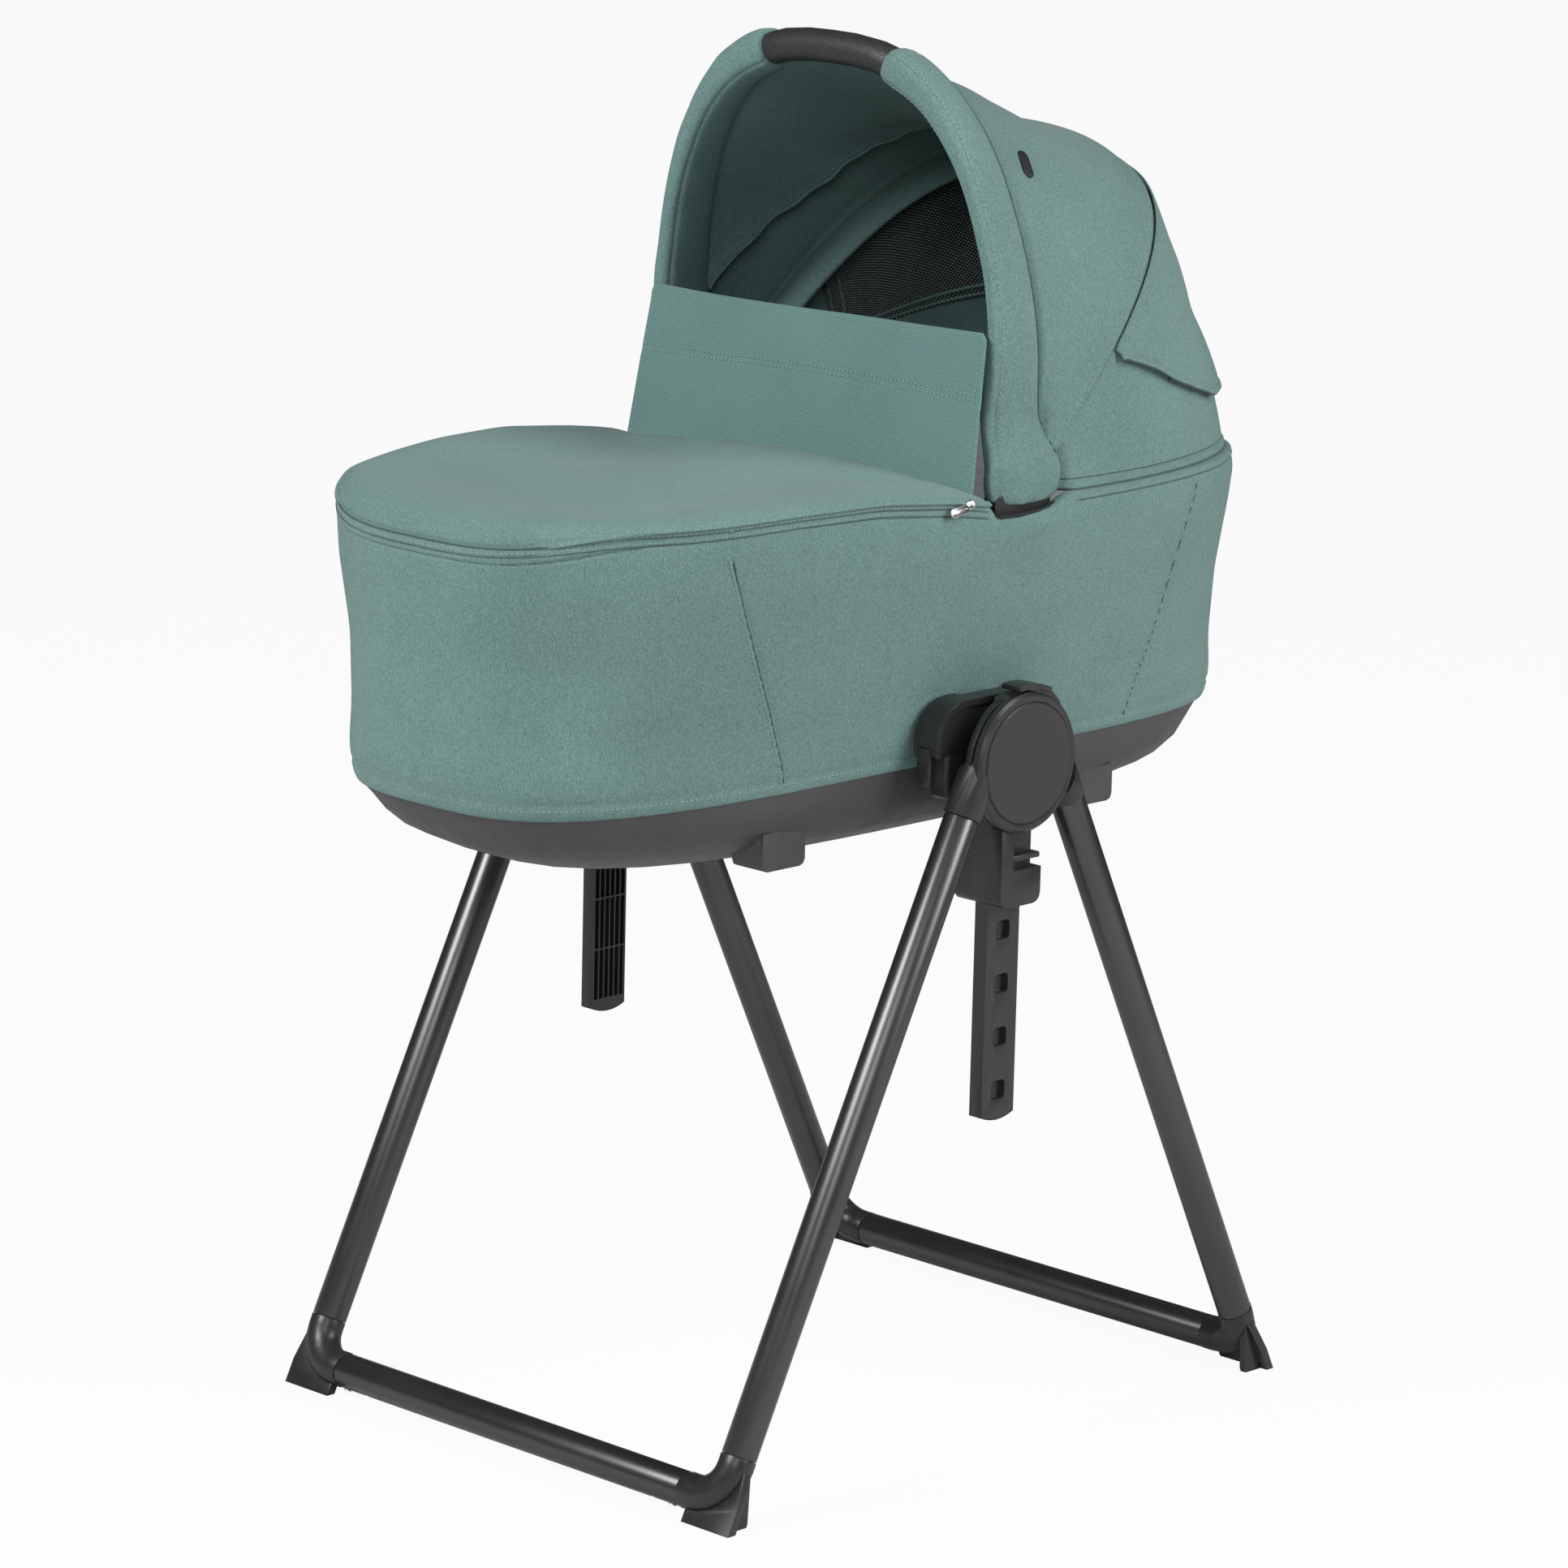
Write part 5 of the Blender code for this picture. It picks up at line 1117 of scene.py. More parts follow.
@dataclass
class Apron:
    """Crowned cloth over the foot end, with a tape that turns down over the rim."""

    plan: CotPlan
    cover: SideCover
    edge: float = -0.0073
    crown: float = 0.012
    over_rim: float = 0.0038
    roundness: float = 2.2
    thick: float = 0.0026
    rings: int = 44
    steps: int = 220
    tape_width: float = 0.0072
    swell: float = 0.0022
    middle: tuple[float, float] = (-0.16, 0.0)

    def height(self, x: float, y: float) -> float:
        """Height of the cloth above its border, with the slack of its far front part."""
        length, width = self.plan.halves(self.plan.rim_top)
        along = max(0.0, (self.edge - x) / (length + self.edge)) ** self.plan.power
        across = (abs(y) / width) ** self.plan.power
        return self.crown * (1 - min(1.0, along + across) ** (self.roundness / self.plan.power))

    def slack(self, x: float, y: float) -> float:
        """Folds and slack of the cloth, which hangs lower towards the far side near the flap."""
        near_flap = ease((x + 0.30) / 0.22)
        far = ease((y + 0.03) / 0.15)
        low = -0.0052 * near_flap * far
        wave = 0.0011 * ripple((x, y, 0.0), 0.16)
        edge_pull = 0.0007 * math.sin(y * 95 + 1.1) * hump(x - self.edge + 0.02, 0.03)
        return low + wave + edge_pull

    def edge_x(self, y: float) -> float:
        """Straight border under the leaning flap."""
        return self.edge + self.height(self.edge, y) * math.tan(FLAP_LEAN)

    def outline(self) -> tuple[Array, list[bool]]:
        """Border of the cloth, and whether each point is on the straight edge."""
        length, width = self.plan.halves(self.plan.rim_top)
        edge_y = self.plan.side_y(self.edge, self.plan.rim_top)
        curve = []
        for angle in np.linspace(math.pi / 2, 1.5 * math.pi, 4001):
            across, along = self.plan.corner(float(angle))
            if across * length < self.edge:
                curve.append((across * length, along * width, 0.0))
        curve = resample(np.array(curve), self.steps)
        straight = [(self.edge_x(float(y)), float(y), 0.0) for y in np.linspace(-edge_y, edge_y, 62)[1:-1]]
        points = np.vstack([curve, np.array(straight)])
        return points, [False] * len(curve) + [True] * len(straight)

    def roll(self, x: float) -> float:
        """Radius of the rolled edge, largest round the foot end."""
        return 0.0042 + 0.0090 * ease((-0.33 - x) / 0.10)

    def _surface(self, x: float, y: float, inside: float, straight: bool) -> Spot:
        """Point of the crowned part, at a distance inside its border."""
        free = min(1.0, self.height(x, y) / 0.004)
        high = self.plan.rim_top + self.over_rim + self.height(x, y) + self.slack(x, y) * free
        high += self.swell * ease(inside / 0.020) * (1 - ease((inside - 0.02) / 0.09))
        high += self.cover.lift(x) * (1 - 0.75 * ease(inside / 0.12))
        if straight:
            return x, y, high
        radius = self.roll(x)
        if inside < radius:
            high -= radius - math.sqrt(radius ** 2 - (radius - inside) ** 2)
        return x, y, high

    def build(self, finishes: Finishes) -> Piece:
        """Sew the apron and dress it."""
        piece = Sewn("foot_apron_cloth")
        border, straight = self.outline()
        rows = []
        for ring in range(self.rings + 1):
            share = 1 - 0.996 * (1 - ring / self.rings) ** 1.7
            row = []
            for (x, y, _), flag in zip(border, straight):
                px = self.middle[0] + (x - self.middle[0]) * share
                py = self.middle[1] + (y - self.middle[1]) * share
                inside = (1 - share) * math.hypot(x - self.middle[0], y - self.middle[1]) * 0.93
                row.append(self._surface(px, py, inside, flag))
            rows.append(row)
        grid = np.vstack([np.array(rows), self._skirt(border, straight)])
        normals = piece.shell(grid, self.thick, finishes.cloth, wrap=True)
        self._close_middle(piece, grid[0], normals[0], finishes.cloth)
        band = [index for index, flag in enumerate(straight) if not flag]
        # Dark cord laid in the crease under the rolled edge: painted shade.
        crease = self.rings + 4
        piece.cord(grid[crease, band] + normals[crease, band] * 0.0002, 0.0006, finishes.dark_thread, sides=5)
        seam = self.rings + 7
        piece.stitches(grid[seam, band], normals[seam, band], finishes.thread, 0.0028, 0.0046, 0.00030)
        hem = [index for index, flag in enumerate(straight) if flag]
        inner = int(self.rings * 0.965)
        piece.stitches(grid[inner, hem], normals[inner, hem], finishes.thread, 0.0028, 0.0046, 0.00032)
        apron = piece.build()
        dress(apron, "apron", "cot")
        spread = grid[:, :, :2].max(axis=(0, 1)) - grid[:, :, :2].min(axis=(0, 1))
        rim = self.tape_width + math.pi / 2 * self.roll(-1.0)
        declare_sheet(apron, grid, wrap=True,
                      flat=(float(spread[1]) + 2 * rim, float(spread[0]) + rim))
        return apron

    def _skirt(self, border: Array, straight: list[bool]) -> Array:
        """Rows of the seam under the rolled edge and of the tape that runs down to the zip."""
        length, width = self.plan.halves(self.plan.rim_top)
        roll_rows = ((0.0012, 0.30), (0.0019, 0.65), (0.0014, 0.90))
        tape_rows = ((-0.0004, 0.0), (0.0011, 0.12), (0.0017, 0.30), (0.0018, 0.62), (0.0012, 0.92),
                     (0.0004, 1.0))
        rows = []
        for number, (out, share) in enumerate(roll_rows + tape_rows):
            row = []
            for (x, y, _), flag in zip(border, straight):
                if flag:
                    high = self._surface(x, y, 0.0, True)[2]
                    row.append((x + 0.0004 * ease(number / 2), y, high - 0.0003 * number))
                    continue
                line = self.cover.rim_line(x) - 0.0005
                start_z = self._surface(x, y, 0.0, False)[2]
                if number < len(roll_rows):
                    z = start_z + (line - start_z) * share
                else:
                    z = line - self.tape_width * share
                half_length, half_width = self.plan.halves(min(z, self.plan.rim_top))
                row.append((x / length * (half_length + out), y / width * (half_width + out), z))
            rows.append(row)
        return np.array(rows)

    def _close_middle(self, piece: Sewn, ring: Array, normals: Array, material: Material) -> None:
        """Small lid over the hole in the middle of the rings."""
        count = len(ring)
        inner = ring - normals * self.thick
        points = np.vstack([ring, inner, ring.mean(axis=0, keepdims=True), inner.mean(axis=0, keepdims=True)])
        faces = []
        for index in range(count):
            nxt = (index + 1) % count
            faces.append((index, nxt, 2 * count))
            faces.append((count + nxt, count + index, 2 * count + 1))
            faces.append((nxt, index, count + index, count + nxt))
        piece.add(points, faces, material)


@dataclass
class WindFlap:
    """Ribbed upright flap at the front of the opening."""

    plan: CotPlan
    apron: Apron
    height: float = 0.123
    half: float = 0.2045
    taper: float = 0.009
    seam_drops: tuple[float, float] = (0.0470, 0.0518)
    seam_middle: float = 0.0494
    thick: float = 0.0042
    corner: float = 0.004
    hinge_z: float = 0.8236

    def point(self, y: float, share: float, out: float = 0.0) -> Spot:
        """Point of the flap's front face.

        Args:
            y: Place across the flap, from -1 to 1.
            share: Height share from the apron to the upper edge.
            out: Distance in front of the plain face.

        Returns:
            The point.
        """
        side = abs(y)
        round_off = self.corner * (1 - math.sqrt(max(0.0, 1 - max(0.0, (side - 0.98) / 0.02) ** 2)))
        top = self.height - round_off
        half = self.half - self.taper * share
        across = y * half
        base = self.apron.plan.rim_top + 0.0040 + self.apron.height(self.apron.edge, across) - self.hinge_z
        base += self.apron.slack(self.apron.edge, across)
        top -= 0.0040 * ease((across + 0.10) / 0.26)
        top -= 0.0022 * (1 - (across / half) ** 2)
        rise = base + (top - base) * share
        belly = 0.0030 * math.sin(math.pi * share) * (1 - side ** 3)
        wave = 0.0012 * ripple((0.0, across, rise), 0.17)
        pinch = 0.0009 * math.sin(across * 46 + 0.8) * (1 - share) ** 2
        depth = out + belly + wave + pinch
        foot = self.apron.edge_x(0.0) + 0.0003
        back = rise * math.sin(FLAP_LEAN) - depth * math.cos(FLAP_LEAN)
        return foot + back, across, self.hinge_z + rise * math.cos(FLAP_LEAN) + depth * math.sin(FLAP_LEAN)

    def build(self, finishes: Finishes) -> Piece:
        """Sew the flap and dress it."""
        piece = Sewn("wind_flap_cloth")
        face_shares = np.linspace(0.08, 0.92, 26)
        shares = np.concatenate([np.linspace(0, 0.05, 4), face_shares, np.linspace(0.95, 1, 4)])
        places = np.linspace(-1, 1, 110).tolist()
        rows = []
        for share in shares.tolist():
            rows.append([self.point(y, share, self._edge(y, share)) for y in places])
        grid = np.array(rows)
        face = piece.shell(grid, self.thick, finishes.ribbed)[15, 50]
        across = np.linspace(0.985, -0.985, 120).tolist()
        for drop in self.seam_drops:
            self._row(piece, [(y, 1 - drop / self.height) for y in across], face, finishes, 0.0030, 0.0004)
        upwards = np.linspace(0.03, 0.955, 40).tolist()
        for place in (-0.979, 0.979):
            self._row(piece, [(place, share) for share in upwards], face, finishes)
        self._row(piece, [(y, 0.964) for y in np.linspace(0.975, -0.975, 120).tolist()], face, finishes)
        flap = piece.build()
        dress(flap, "wind_flap", "flap")
        declare_sheet(flap, grid)
        return flap

    def _row(self, piece: Sewn, spots: list[tuple[float, float]], face: Array, finishes: Finishes,
             length: float = 0.0028, width: float = 0.00034) -> None:
        """Sew a row of stitches on the flap.

        Args:
            piece: Piece that it is added to.
            spots: Places of the row, across the flap and up it.
            face: Normal of the flap's front face.
            finishes: Materials of the object.
            length: Length of one stitch.
            width: Half width of the thread.
        """
        path = np.array([self.point(y, share, 0.0004) for y, share in spots])
        piece.stitches(path, np.tile(face, (len(path), 1)), finishes.thread, length, width=width)

    def _edge(self, y: float, share: float) -> float:
        """Slight swell along the folded edges and a dip under the seams."""
        side = hump(1 - abs(y), 0.02) + hump(1 - share, 0.035)
        dip = hump(share - (1 - self.seam_middle / self.height), 0.02)
        return 0.0005 * side - 0.0006 * dip


@dataclass
class Liner:
    """Quilted lining of the cot's wall."""

    plan: CotPlan
    thick: float = 0.0036
    columns: int = 300
    inset: float = 0.0070
    rib: float = 0.012

    def build(self, finishes: Finishes) -> Piece:
        """Sew the lining with its level ribs."""
        piece = Sewn("cot_lining_cloth")
        angles = self.plan.even_angles(self.columns)
        rows = []
        for z in np.linspace(0.7895, 0.6085, 110):
            swell = 0.0007 * abs(math.sin(math.pi * (0.79 - z) / self.rib)) ** 0.7
            rows.append(self.plan.ring(float(z), angles, self.inset + self.thick + swell - 0.0004))
        grid = np.array(rows)[::-1]
        piece.shell(grid, self.thick, finishes.lining, wrap=True)
        lining = piece.build()
        dress(lining, "liner", "cot")
        declare_sheet(lining, grid, wrap=True)
        return lining


@dataclass
class Mattress:
    """Stuffed mattress on the tub's floor."""

    plan: CotPlan
    base: float = 0.5203
    thick: float = 0.045
    length: float = 0.360
    width: float = 0.150
    voxel: float = 0.0055
    swell: float = 0.006

    def _block(self) -> Piece:
        """Plain rounded block that the stuffing swells."""
        bm = bmesh.new()
        levels = ((0.001, 0.062), (0.008, 0.018), (0.016, 0.004), (0.030, 0.004), (0.040, 0.010))
        rows = []
        for rise, inset in levels:
            row = []
            for index in range(96):
                across, along = self.plan.corner(2 * math.pi * index / 96)
                row.append(bm.verts.new((across * (self.length - inset), along * (self.width - inset * 0.9),
                                         self.base + rise)))
            rows.append(row)
        for row, following in zip(rows, rows[1:]):
            for index in range(len(row)):
                nxt = (index + 1) % len(row)
                bm.faces.new((row[index], row[nxt], following[nxt], following[index]))
        bm.faces.new(rows[0][::-1])
        bm.faces.new(rows[-1])
        data = bpy.data.meshes.new("mattress_cushion")
        bm.to_mesh(data)
        bm.free()
        piece = bpy.data.objects.new("mattress_cushion", data)
        bpy.context.scene.collection.objects.link(piece)
        return piece

    def _apply(self, piece: Piece) -> None:
        """Turn the modifiers of a piece into its mesh."""
        graph = bpy.context.evaluated_depsgraph_get()
        data = bpy.data.meshes.new_from_object(piece.evaluated_get(graph))
        piece.modifiers.clear()
        piece.data = data

    def _stuff(self, piece: Piece) -> None:
        """Swell the block like stuffed cloth, and keep each point near its start."""
        start = np.array([vertex.co for vertex in piece.data.vertices])
        cloth = piece.modifiers.new("stuffing", "CLOTH")
        cloth.settings.use_pressure = True
        cloth.settings.uniform_pressure_force = 4.0
        cloth.settings.effector_weights.gravity = 0.0
        scene = bpy.context.scene
        for number in range(1, 21):
            scene.frame_set(number)
        self._apply(piece)
        scene.frame_set(1)
        end = np.array([vertex.co for vertex in piece.data.vertices])
        shift = end - start
        size = np.linalg.norm(shift, axis=1, keepdims=True)
        end = start + shift * np.minimum(1.0, self.swell / np.maximum(size, 1e-9))
        end[:, 2] = np.maximum(end[:, 2], self.base + 0.0004)
        for vertex, place in zip(piece.data.vertices, end):
            vertex.co = place

    def build(self, finishes: Finishes) -> Piece:
        """Make, stuff and dress the mattress."""
        piece = self._block()
        remesh = piece.modifiers.new("even_faces", "REMESH")
        remesh.mode = "VOXEL"
        remesh.voxel_size = self.voxel
        self._apply(piece)
        self._stuff(piece)
        smooth = piece.modifiers.new("smooth", "SUBSURF")
        smooth.levels = 1
        smooth.render_levels = 1
        self._apply(piece)
        piece.data.materials.clear()
        piece.data.materials.append(finishes.lining)
        piece.data.shade_smooth()
        dress(piece, "mattress", "cot")
        LOG.info("%s: %d faces", piece.name, len(piece.data.polygons))
        return piece


@dataclass(frozen=True)
class BowLine:
    """Middle line of the handle bow and the outline of its fabric sleeve."""

    pivot_x: float = 0.054
    pivot_z: float = 0.800
    half: float = 0.192
    height: float = 0.365
    base: float = -0.002
    flare: float = 0.011
    flare_start: float = 0.045
    flare_end: float = 0.160
    power: float = 2.75
    forward: float = 0.024
    sleeve_top: float = 0.0185
    sleeve_middle: float = 0.024
    sleeve_low: float = 0.041

    def point(self, angle: float) -> Array:
        """Point of the bow's middle line; the angle runs from the left foot to the right foot."""
        power = 2 / self.power
        rise = abs(math.sin(angle)) ** power * self.height
        half = self.half + self.flare * ease((rise - self.flare_start) / (self.flare_end - self.flare_start))
        y = signed_power(math.cos(angle), power) * half
        x = self.base - self.forward * (rise / self.height) ** 2
        return np.array([self.pivot_x + x, y, self.pivot_z + rise])

    def line(self, count: int) -> Array:
        """Evenly spaced points of the whole bow, from the left foot to the right foot."""
        fine = np.array([self.point(float(angle)) for angle in np.linspace(0, math.pi, 3001)])
        return resample(fine, count)

    def sleeve_half(self, share: float) -> float:
        """Sleeve's half width along the cot at a share of the bow's height."""
        low_share = max(0.0, 1 - share / 0.55) ** 1.5
        high_share = max(0.0, (share - 0.62) / 0.38)
        wide = (self.sleeve_low - self.sleeve_middle) * low_share
        return self.sleeve_middle + wide + (self.sleeve_top - self.sleeve_middle) * high_share


@dataclass(frozen=True)
class CanopyForm:
    """Outer surface of the canopy, in turns round the pivots of the bows."""

    bow: BowLine
    seam: float = math.radians(45)
    foot: float = 0.026
    rim: float = 0.8088
    thick: float = 0.0026
    grip_rise: float = 0.019
    bows: Table = (
        (-3, 0.350, 0.2120, 3.2), (1, 0.338, 0.2120, 3.2), (5, 0.328, 0.2115, 3.2), (12, 0.322, 0.2105, 3.3),
        (25, 0.331, 0.2080, 3.3), (38, 0.359, 0.2060, 3.1), (45, 0.366, 0.2060, 3.0),
        (52, 0.357, 0.2070, 2.9), (65, 0.349, 0.2110, 2.8), (80, 0.368, 0.2190, 2.7),
        (95, 0.3905, 0.2240, 2.6))

    def section(self, angle: float) -> Spot:
        """Height, half width and roundness of the canopy at an angle from vertical."""
        degrees = math.degrees(angle)
        reach = min(2.2, max(0.2, abs(degrees - 45) * 0.6))
        height, half, power = (smooth_table(self.bows, degrees, reach, column) for column in (1, 2, 3))
        return height, half, power

    def point(self, angle: float, turn: float, out: float = 0.0) -> Array:
        """Point of the canopy.

        Args:
            angle: Angle from vertical towards the head end.
            turn: Turn from the left foot to the right foot.
            out: Distance outside the plain surface.

        Returns:
            The point.
        """
        height, half, power = self.section(angle)
        y = signed_power(math.cos(turn), 2 / power) * (half + out)
        radius = abs(math.sin(turn)) ** (2 / power) * (height + out) + self.top_rise(angle, turn)
        x = self.bow.pivot_x + radius * math.sin(angle)
        return np.array([x, y, self.bow.pivot_z + radius * math.cos(angle)])

    def top_rise(self, angle: float, turn: float) -> float:
        """Rise of the front edge over the middle, where it runs up behind the grip."""
        near_bow = 1 - ease((math.degrees(angle) - 6) / 22)
        middle = ease((abs(math.sin(turn)) - 0.80) / 0.18)
        return self.grip_rise * near_bow * middle

    def radius(self, angle: float, turn: float) -> float:
        """Distance of a canopy point from the line through the pivots."""
        height, _, power = self.section(angle)
        return abs(math.sin(turn)) ** (2 / power) * height

    def turns(self, count: int, foot: float | None = None) -> list[float]:
        """Evenly spaced turns along the seam, from the right foot to the left foot."""
        height, _, power = self.section(self.seam)
        start = math.asin(((foot or self.foot) / height) ** (power / 2))
        fine = np.linspace(math.pi - start, start, 2401)
        points = np.array([self.point(self.seam, float(turn)) for turn in fine])
        lengths = distances(points)
        return np.interp(np.linspace(0, lengths[-1], count), lengths, fine).tolist()

    def front_edge(self, turn: float) -> float:
        """Angle at which the cloth leaves the back of the sleeve."""
        radius = self.radius(0.0, turn)
        share = min(1.0, radius / self.bow.height)
        back = self.bow.base - self.bow.forward * share ** 2 + self.bow.sleeve_half(share) - 0.0050
        return min(math.radians(42.5), math.asin(min(0.9, back / radius)))

    def rear_edge(self, turn: float) -> float:
        """Angle at which the cloth meets the rim of the cot."""
        radius = self.radius(math.radians(85), turn)
        return math.acos(min(0.9, (self.rim - self.bow.pivot_z) / radius))

    def grid(self, turns: list[float], shares: Array, start: Callable[[float], float],
             end: Callable[[float], float], out: Callable[[float, float, float], float]) -> Array:
        """Points of a panel.

        Args:
            turns: Turns of the columns.
            shares: Shares of the rows, from start to end.
            start: First angle at a turn.
            end: Last angle at a turn.
            out: Distance outside the plain surface at an angle, a turn and a share.

        Returns:
            Points, rows by columns by 3.
        """
        rows = []
        for share in shares:
            row = []
            for turn in turns:
                angle = start(turn) + (end(turn) - start(turn)) * float(share)
                row.append(self.point(angle, turn, out(angle, turn, float(share))))
            rows.append(row)
        return np.array(rows)

    def hold(self, piece: Piece, low_body: str, high_body: str, low: float, high: float) -> None:
        """Bake a panel's placement into its mesh.

        Args:
            piece: The panel.
            low_body: Body meant for the low angle; not used.
            high_body: Body meant for the high angle; not used.
            low: Angle in degrees meant for the low body; not used.
            high: Angle in degrees meant for the high body; not used.
        """
        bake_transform(piece)


@dataclass
class Canopy:
    """Hood of the bassinet: front and rear fabric, vent, flap over the vent and pocket of the thin bow."""

    form: CanopyForm
    columns: int = 190
    front_tuck: float = 0.012
    front_crease: float = 0.0095
    seam_ridge: Groove = Groove(0.0012, 0.03, 0.965)
    seam_dip: Groove = Groove(0.0008, 0.01, 1.0)
    rear_seam: Groove = Groove(0.0013, 0.012)
    hem_line: float = 0.0082
    hem_groove: Groove = Groove(0.0013, 0.0012)
    hem_start: float = 0.098
    vent_start: float = 0.09
    vent_end: float = 0.53
    vent_turns: tuple[float, float] = (0.225, 0.775)
    visor_corner: float = 0.168
    visor_thick: float = 0.0024
    visor_hem: float = 0.0065
    visor_groove: Groove = Groove(0.0010, 0.0016)
    visor_reach: Table = (
        (18.0, 47.5), (19.9, 51.5), (23.4, 57.5), (31.1, 68.5), (36.0, 73.0), (43.7, 77.5), (60.0, 79.5),
        (90.0, 80.0))
    inner_reach: Table = (
        (16, 9), (20, 15.5), (26, 22), (34.5, 28), (45, 30.5), (57, 32), (66, 33), (90, 33))
    inner_corner: float = 0.150
    inner_thick: float = 0.0018

    @staticmethod
    def _hold(share: float) -> float:
        """0 at a panel's two borders and 1 between them."""
        return math.sin(math.pi * min(1.0, max(0.0, share)))

    def _wrinkle(self, angle: float, turn: float, share: float) -> float:
        """Slack of the front fabric, with folds that fan out from its feet."""
        across = (turn / math.pi - 0.5) * 2
        side = abs(across)
        foot = ease((side - 0.45) / 0.45)
        dents = 0.0011 * math.sin(46 * side + 3 * share) * ease((share - 0.5) / 0.4) * foot
        fan = 0.0006 * math.sin(0.35 * math.degrees(angle) + 5 * side) * foot + dents
        belly = -0.0012 * math.sin(math.pi * share) * (1 - foot)
        slow = 0.0011 * math.sin(7 * across + 2.3 * share * 4) * math.sin(math.pi * share)
        hold = self._hold(share) ** 0.6
        return (fan + slow) * hold + belly

    def _rear_wave(self, angle: float, turn: float, share: float) -> float:
        """Slack of the rear fabric, with a groove above its hem band."""
        across = (turn / math.pi - 0.5) * 2
        point = self.form.point(angle, turn)
        hold = self._hold(share) ** 0.5
        wave = 0.0011 * ripple(point, 0.15) * hold
        foot = ease((abs(across) - 0.55) / 0.3)
        fan = 0.0004 * math.sin(8 * share * math.pi + 3 * abs(across)) * foot * hold
        behind_sleeve = 1 - ease((point[0] - self.hem_start) / 0.010)
        tuck = 0.015 * behind_sleeve * (1 - ease((point[2] - 0.825) / 0.030))
        height = point[2] - self.form.rim
        groove = -self.hem_groove.at(height - self.hem_line)
        band = 0.0015 * ease((self.hem_line - height) / 0.003) * (1 - 0.7 * ease((0.0016 - height) / 0.0016))
        seam = -self.rear_seam.at(share)
        return wave + fan + groove + band + seam - tuck

    def front(self, finishes: Finishes) -> Piece:
        """Fabric from the handle bow back to the seam."""
        form = self.form
        piece = Sewn("canopy_front_cloth")
        turns = form.turns(self.columns)
        shares = np.linspace(0, 1, 46)
        seam = form.seam - 0.0006
        grid = form.grid(turns, shares, form.front_edge, lambda turn: seam, self._front_out)
        normals = piece.shell(grid, form.thick, finishes.cloth)
        piece.stitches(grid[-3], normals[-3], finishes.thread)
        cloth = piece.build()
        form.hold(cloth, "mid_bow", "handle", 45, 5)
        dress(cloth, "canopy_front")
        declare_sheet(cloth, grid)
        return cloth

    def _front_out(self, angle: float, turn: float, share: float) -> float:
        """Wrinkles of the front fabric, with a slight ridge at the seam."""
        ridge = self.seam_ridge.at(share) - self.seam_dip.at(share)
        rise = self.form.radius(angle, turn)
        low = 1 - ease((rise - self.form.bow.flare_start) / 0.115)
        tuck = self.front_tuck * low * (1 - ease(share / 0.45))
        crease = self.front_crease * (1 - ease(share / 0.10))
        return self._wrinkle(angle, turn, share) + ridge - tuck - crease

    def _vent_open(self, turns: list[float], shares: Array) -> Callable[[int, int], bool]:
        """Test that leaves out the cells of the vent's opening."""
        low, high = self.vent_turns
        count = len(turns) - 1

        def keep(row: int, column: int) -> bool:
            """Tell whether the cell is cloth."""
            across = (column + 0.5) / count
            down = (shares[row] + shares[row + 1]) / 2
            return not (low < across < high and self.vent_start < down < self.vent_end)

        return keep

    def rear(self, finishes: Finishes) -> Piece:
        """Fabric from the seam down to the rim, with the vent's opening and its piping."""
        form = self.form
        piece = Sewn("canopy_rear_cloth")
        turns = form.turns(self.columns)
        above = np.linspace(0, self.vent_start, 6)
        vent = np.linspace(self.vent_start, self.vent_end, 24)[1:]
        below = np.linspace(self.vent_end, 0.93, 24)[1:]
        shares = np.concatenate([above, vent, below, np.linspace(0.93, 1, 14)[1:]])
        seam = form.seam + 0.0006
        grid = form.grid(turns, shares, lambda turn: seam, form.rear_edge, self._rear_wave)
        normals = piece.shell(grid, form.thick, finishes.cloth, keep=self._vent_open(turns, shares))
        band = int(np.argmin(np.abs(grid[:, self.columns // 2, 2] - form.rim - 0.0095)))
        piece.stitches(self._level(grid, 0.0096), normals[band], finishes.thread)
        # Dark cords laid along the seam's groove near the feet: painted shade.
        for columns in (slice(0, 46), slice(self.columns - 46, self.columns)):
            piece.cord(grid[0, columns] + normals[0, columns] * 0.0003, 0.0007, finishes.dark_thread, sides=6)
        # Dark cord along the lower edge where the cloth meets the rim: painted shade.
        piece.cord(self._level(grid, 0.0003) + normals[-1] * 0.0006, 0.0010, finishes.dark_thread, sides=6)
        # Dark cord laid in the groove above the hem band: painted shade.
        hem = self._level(grid, self.hem_line)
        piece.cord(hem + normals[band] * 0.0002, 0.0005, finishes.dark_thread, sides=5)
        for out, radius in ((0.0, 0.0016), (0.010, 0.0012)):
            piece.cord(self._vent_border(turns, out), radius, finishes.cloth, closed=True)
        cloth = piece.build()
        form.hold(cloth, "cot", "mid_bow", 95, 45)
        dress(cloth, "canopy_rear")
        declare_sheet(cloth, grid)
        return cloth

    def _level(self, grid: Array, height: float) -> Array:
        """Points of the rear fabric at a height above its lower edge."""
        lines = (grid[::-1, column] for column in range(grid.shape[1]))
        return np.array([read_path(self.form.rim + height, line[:, 2], line) for line in lines])

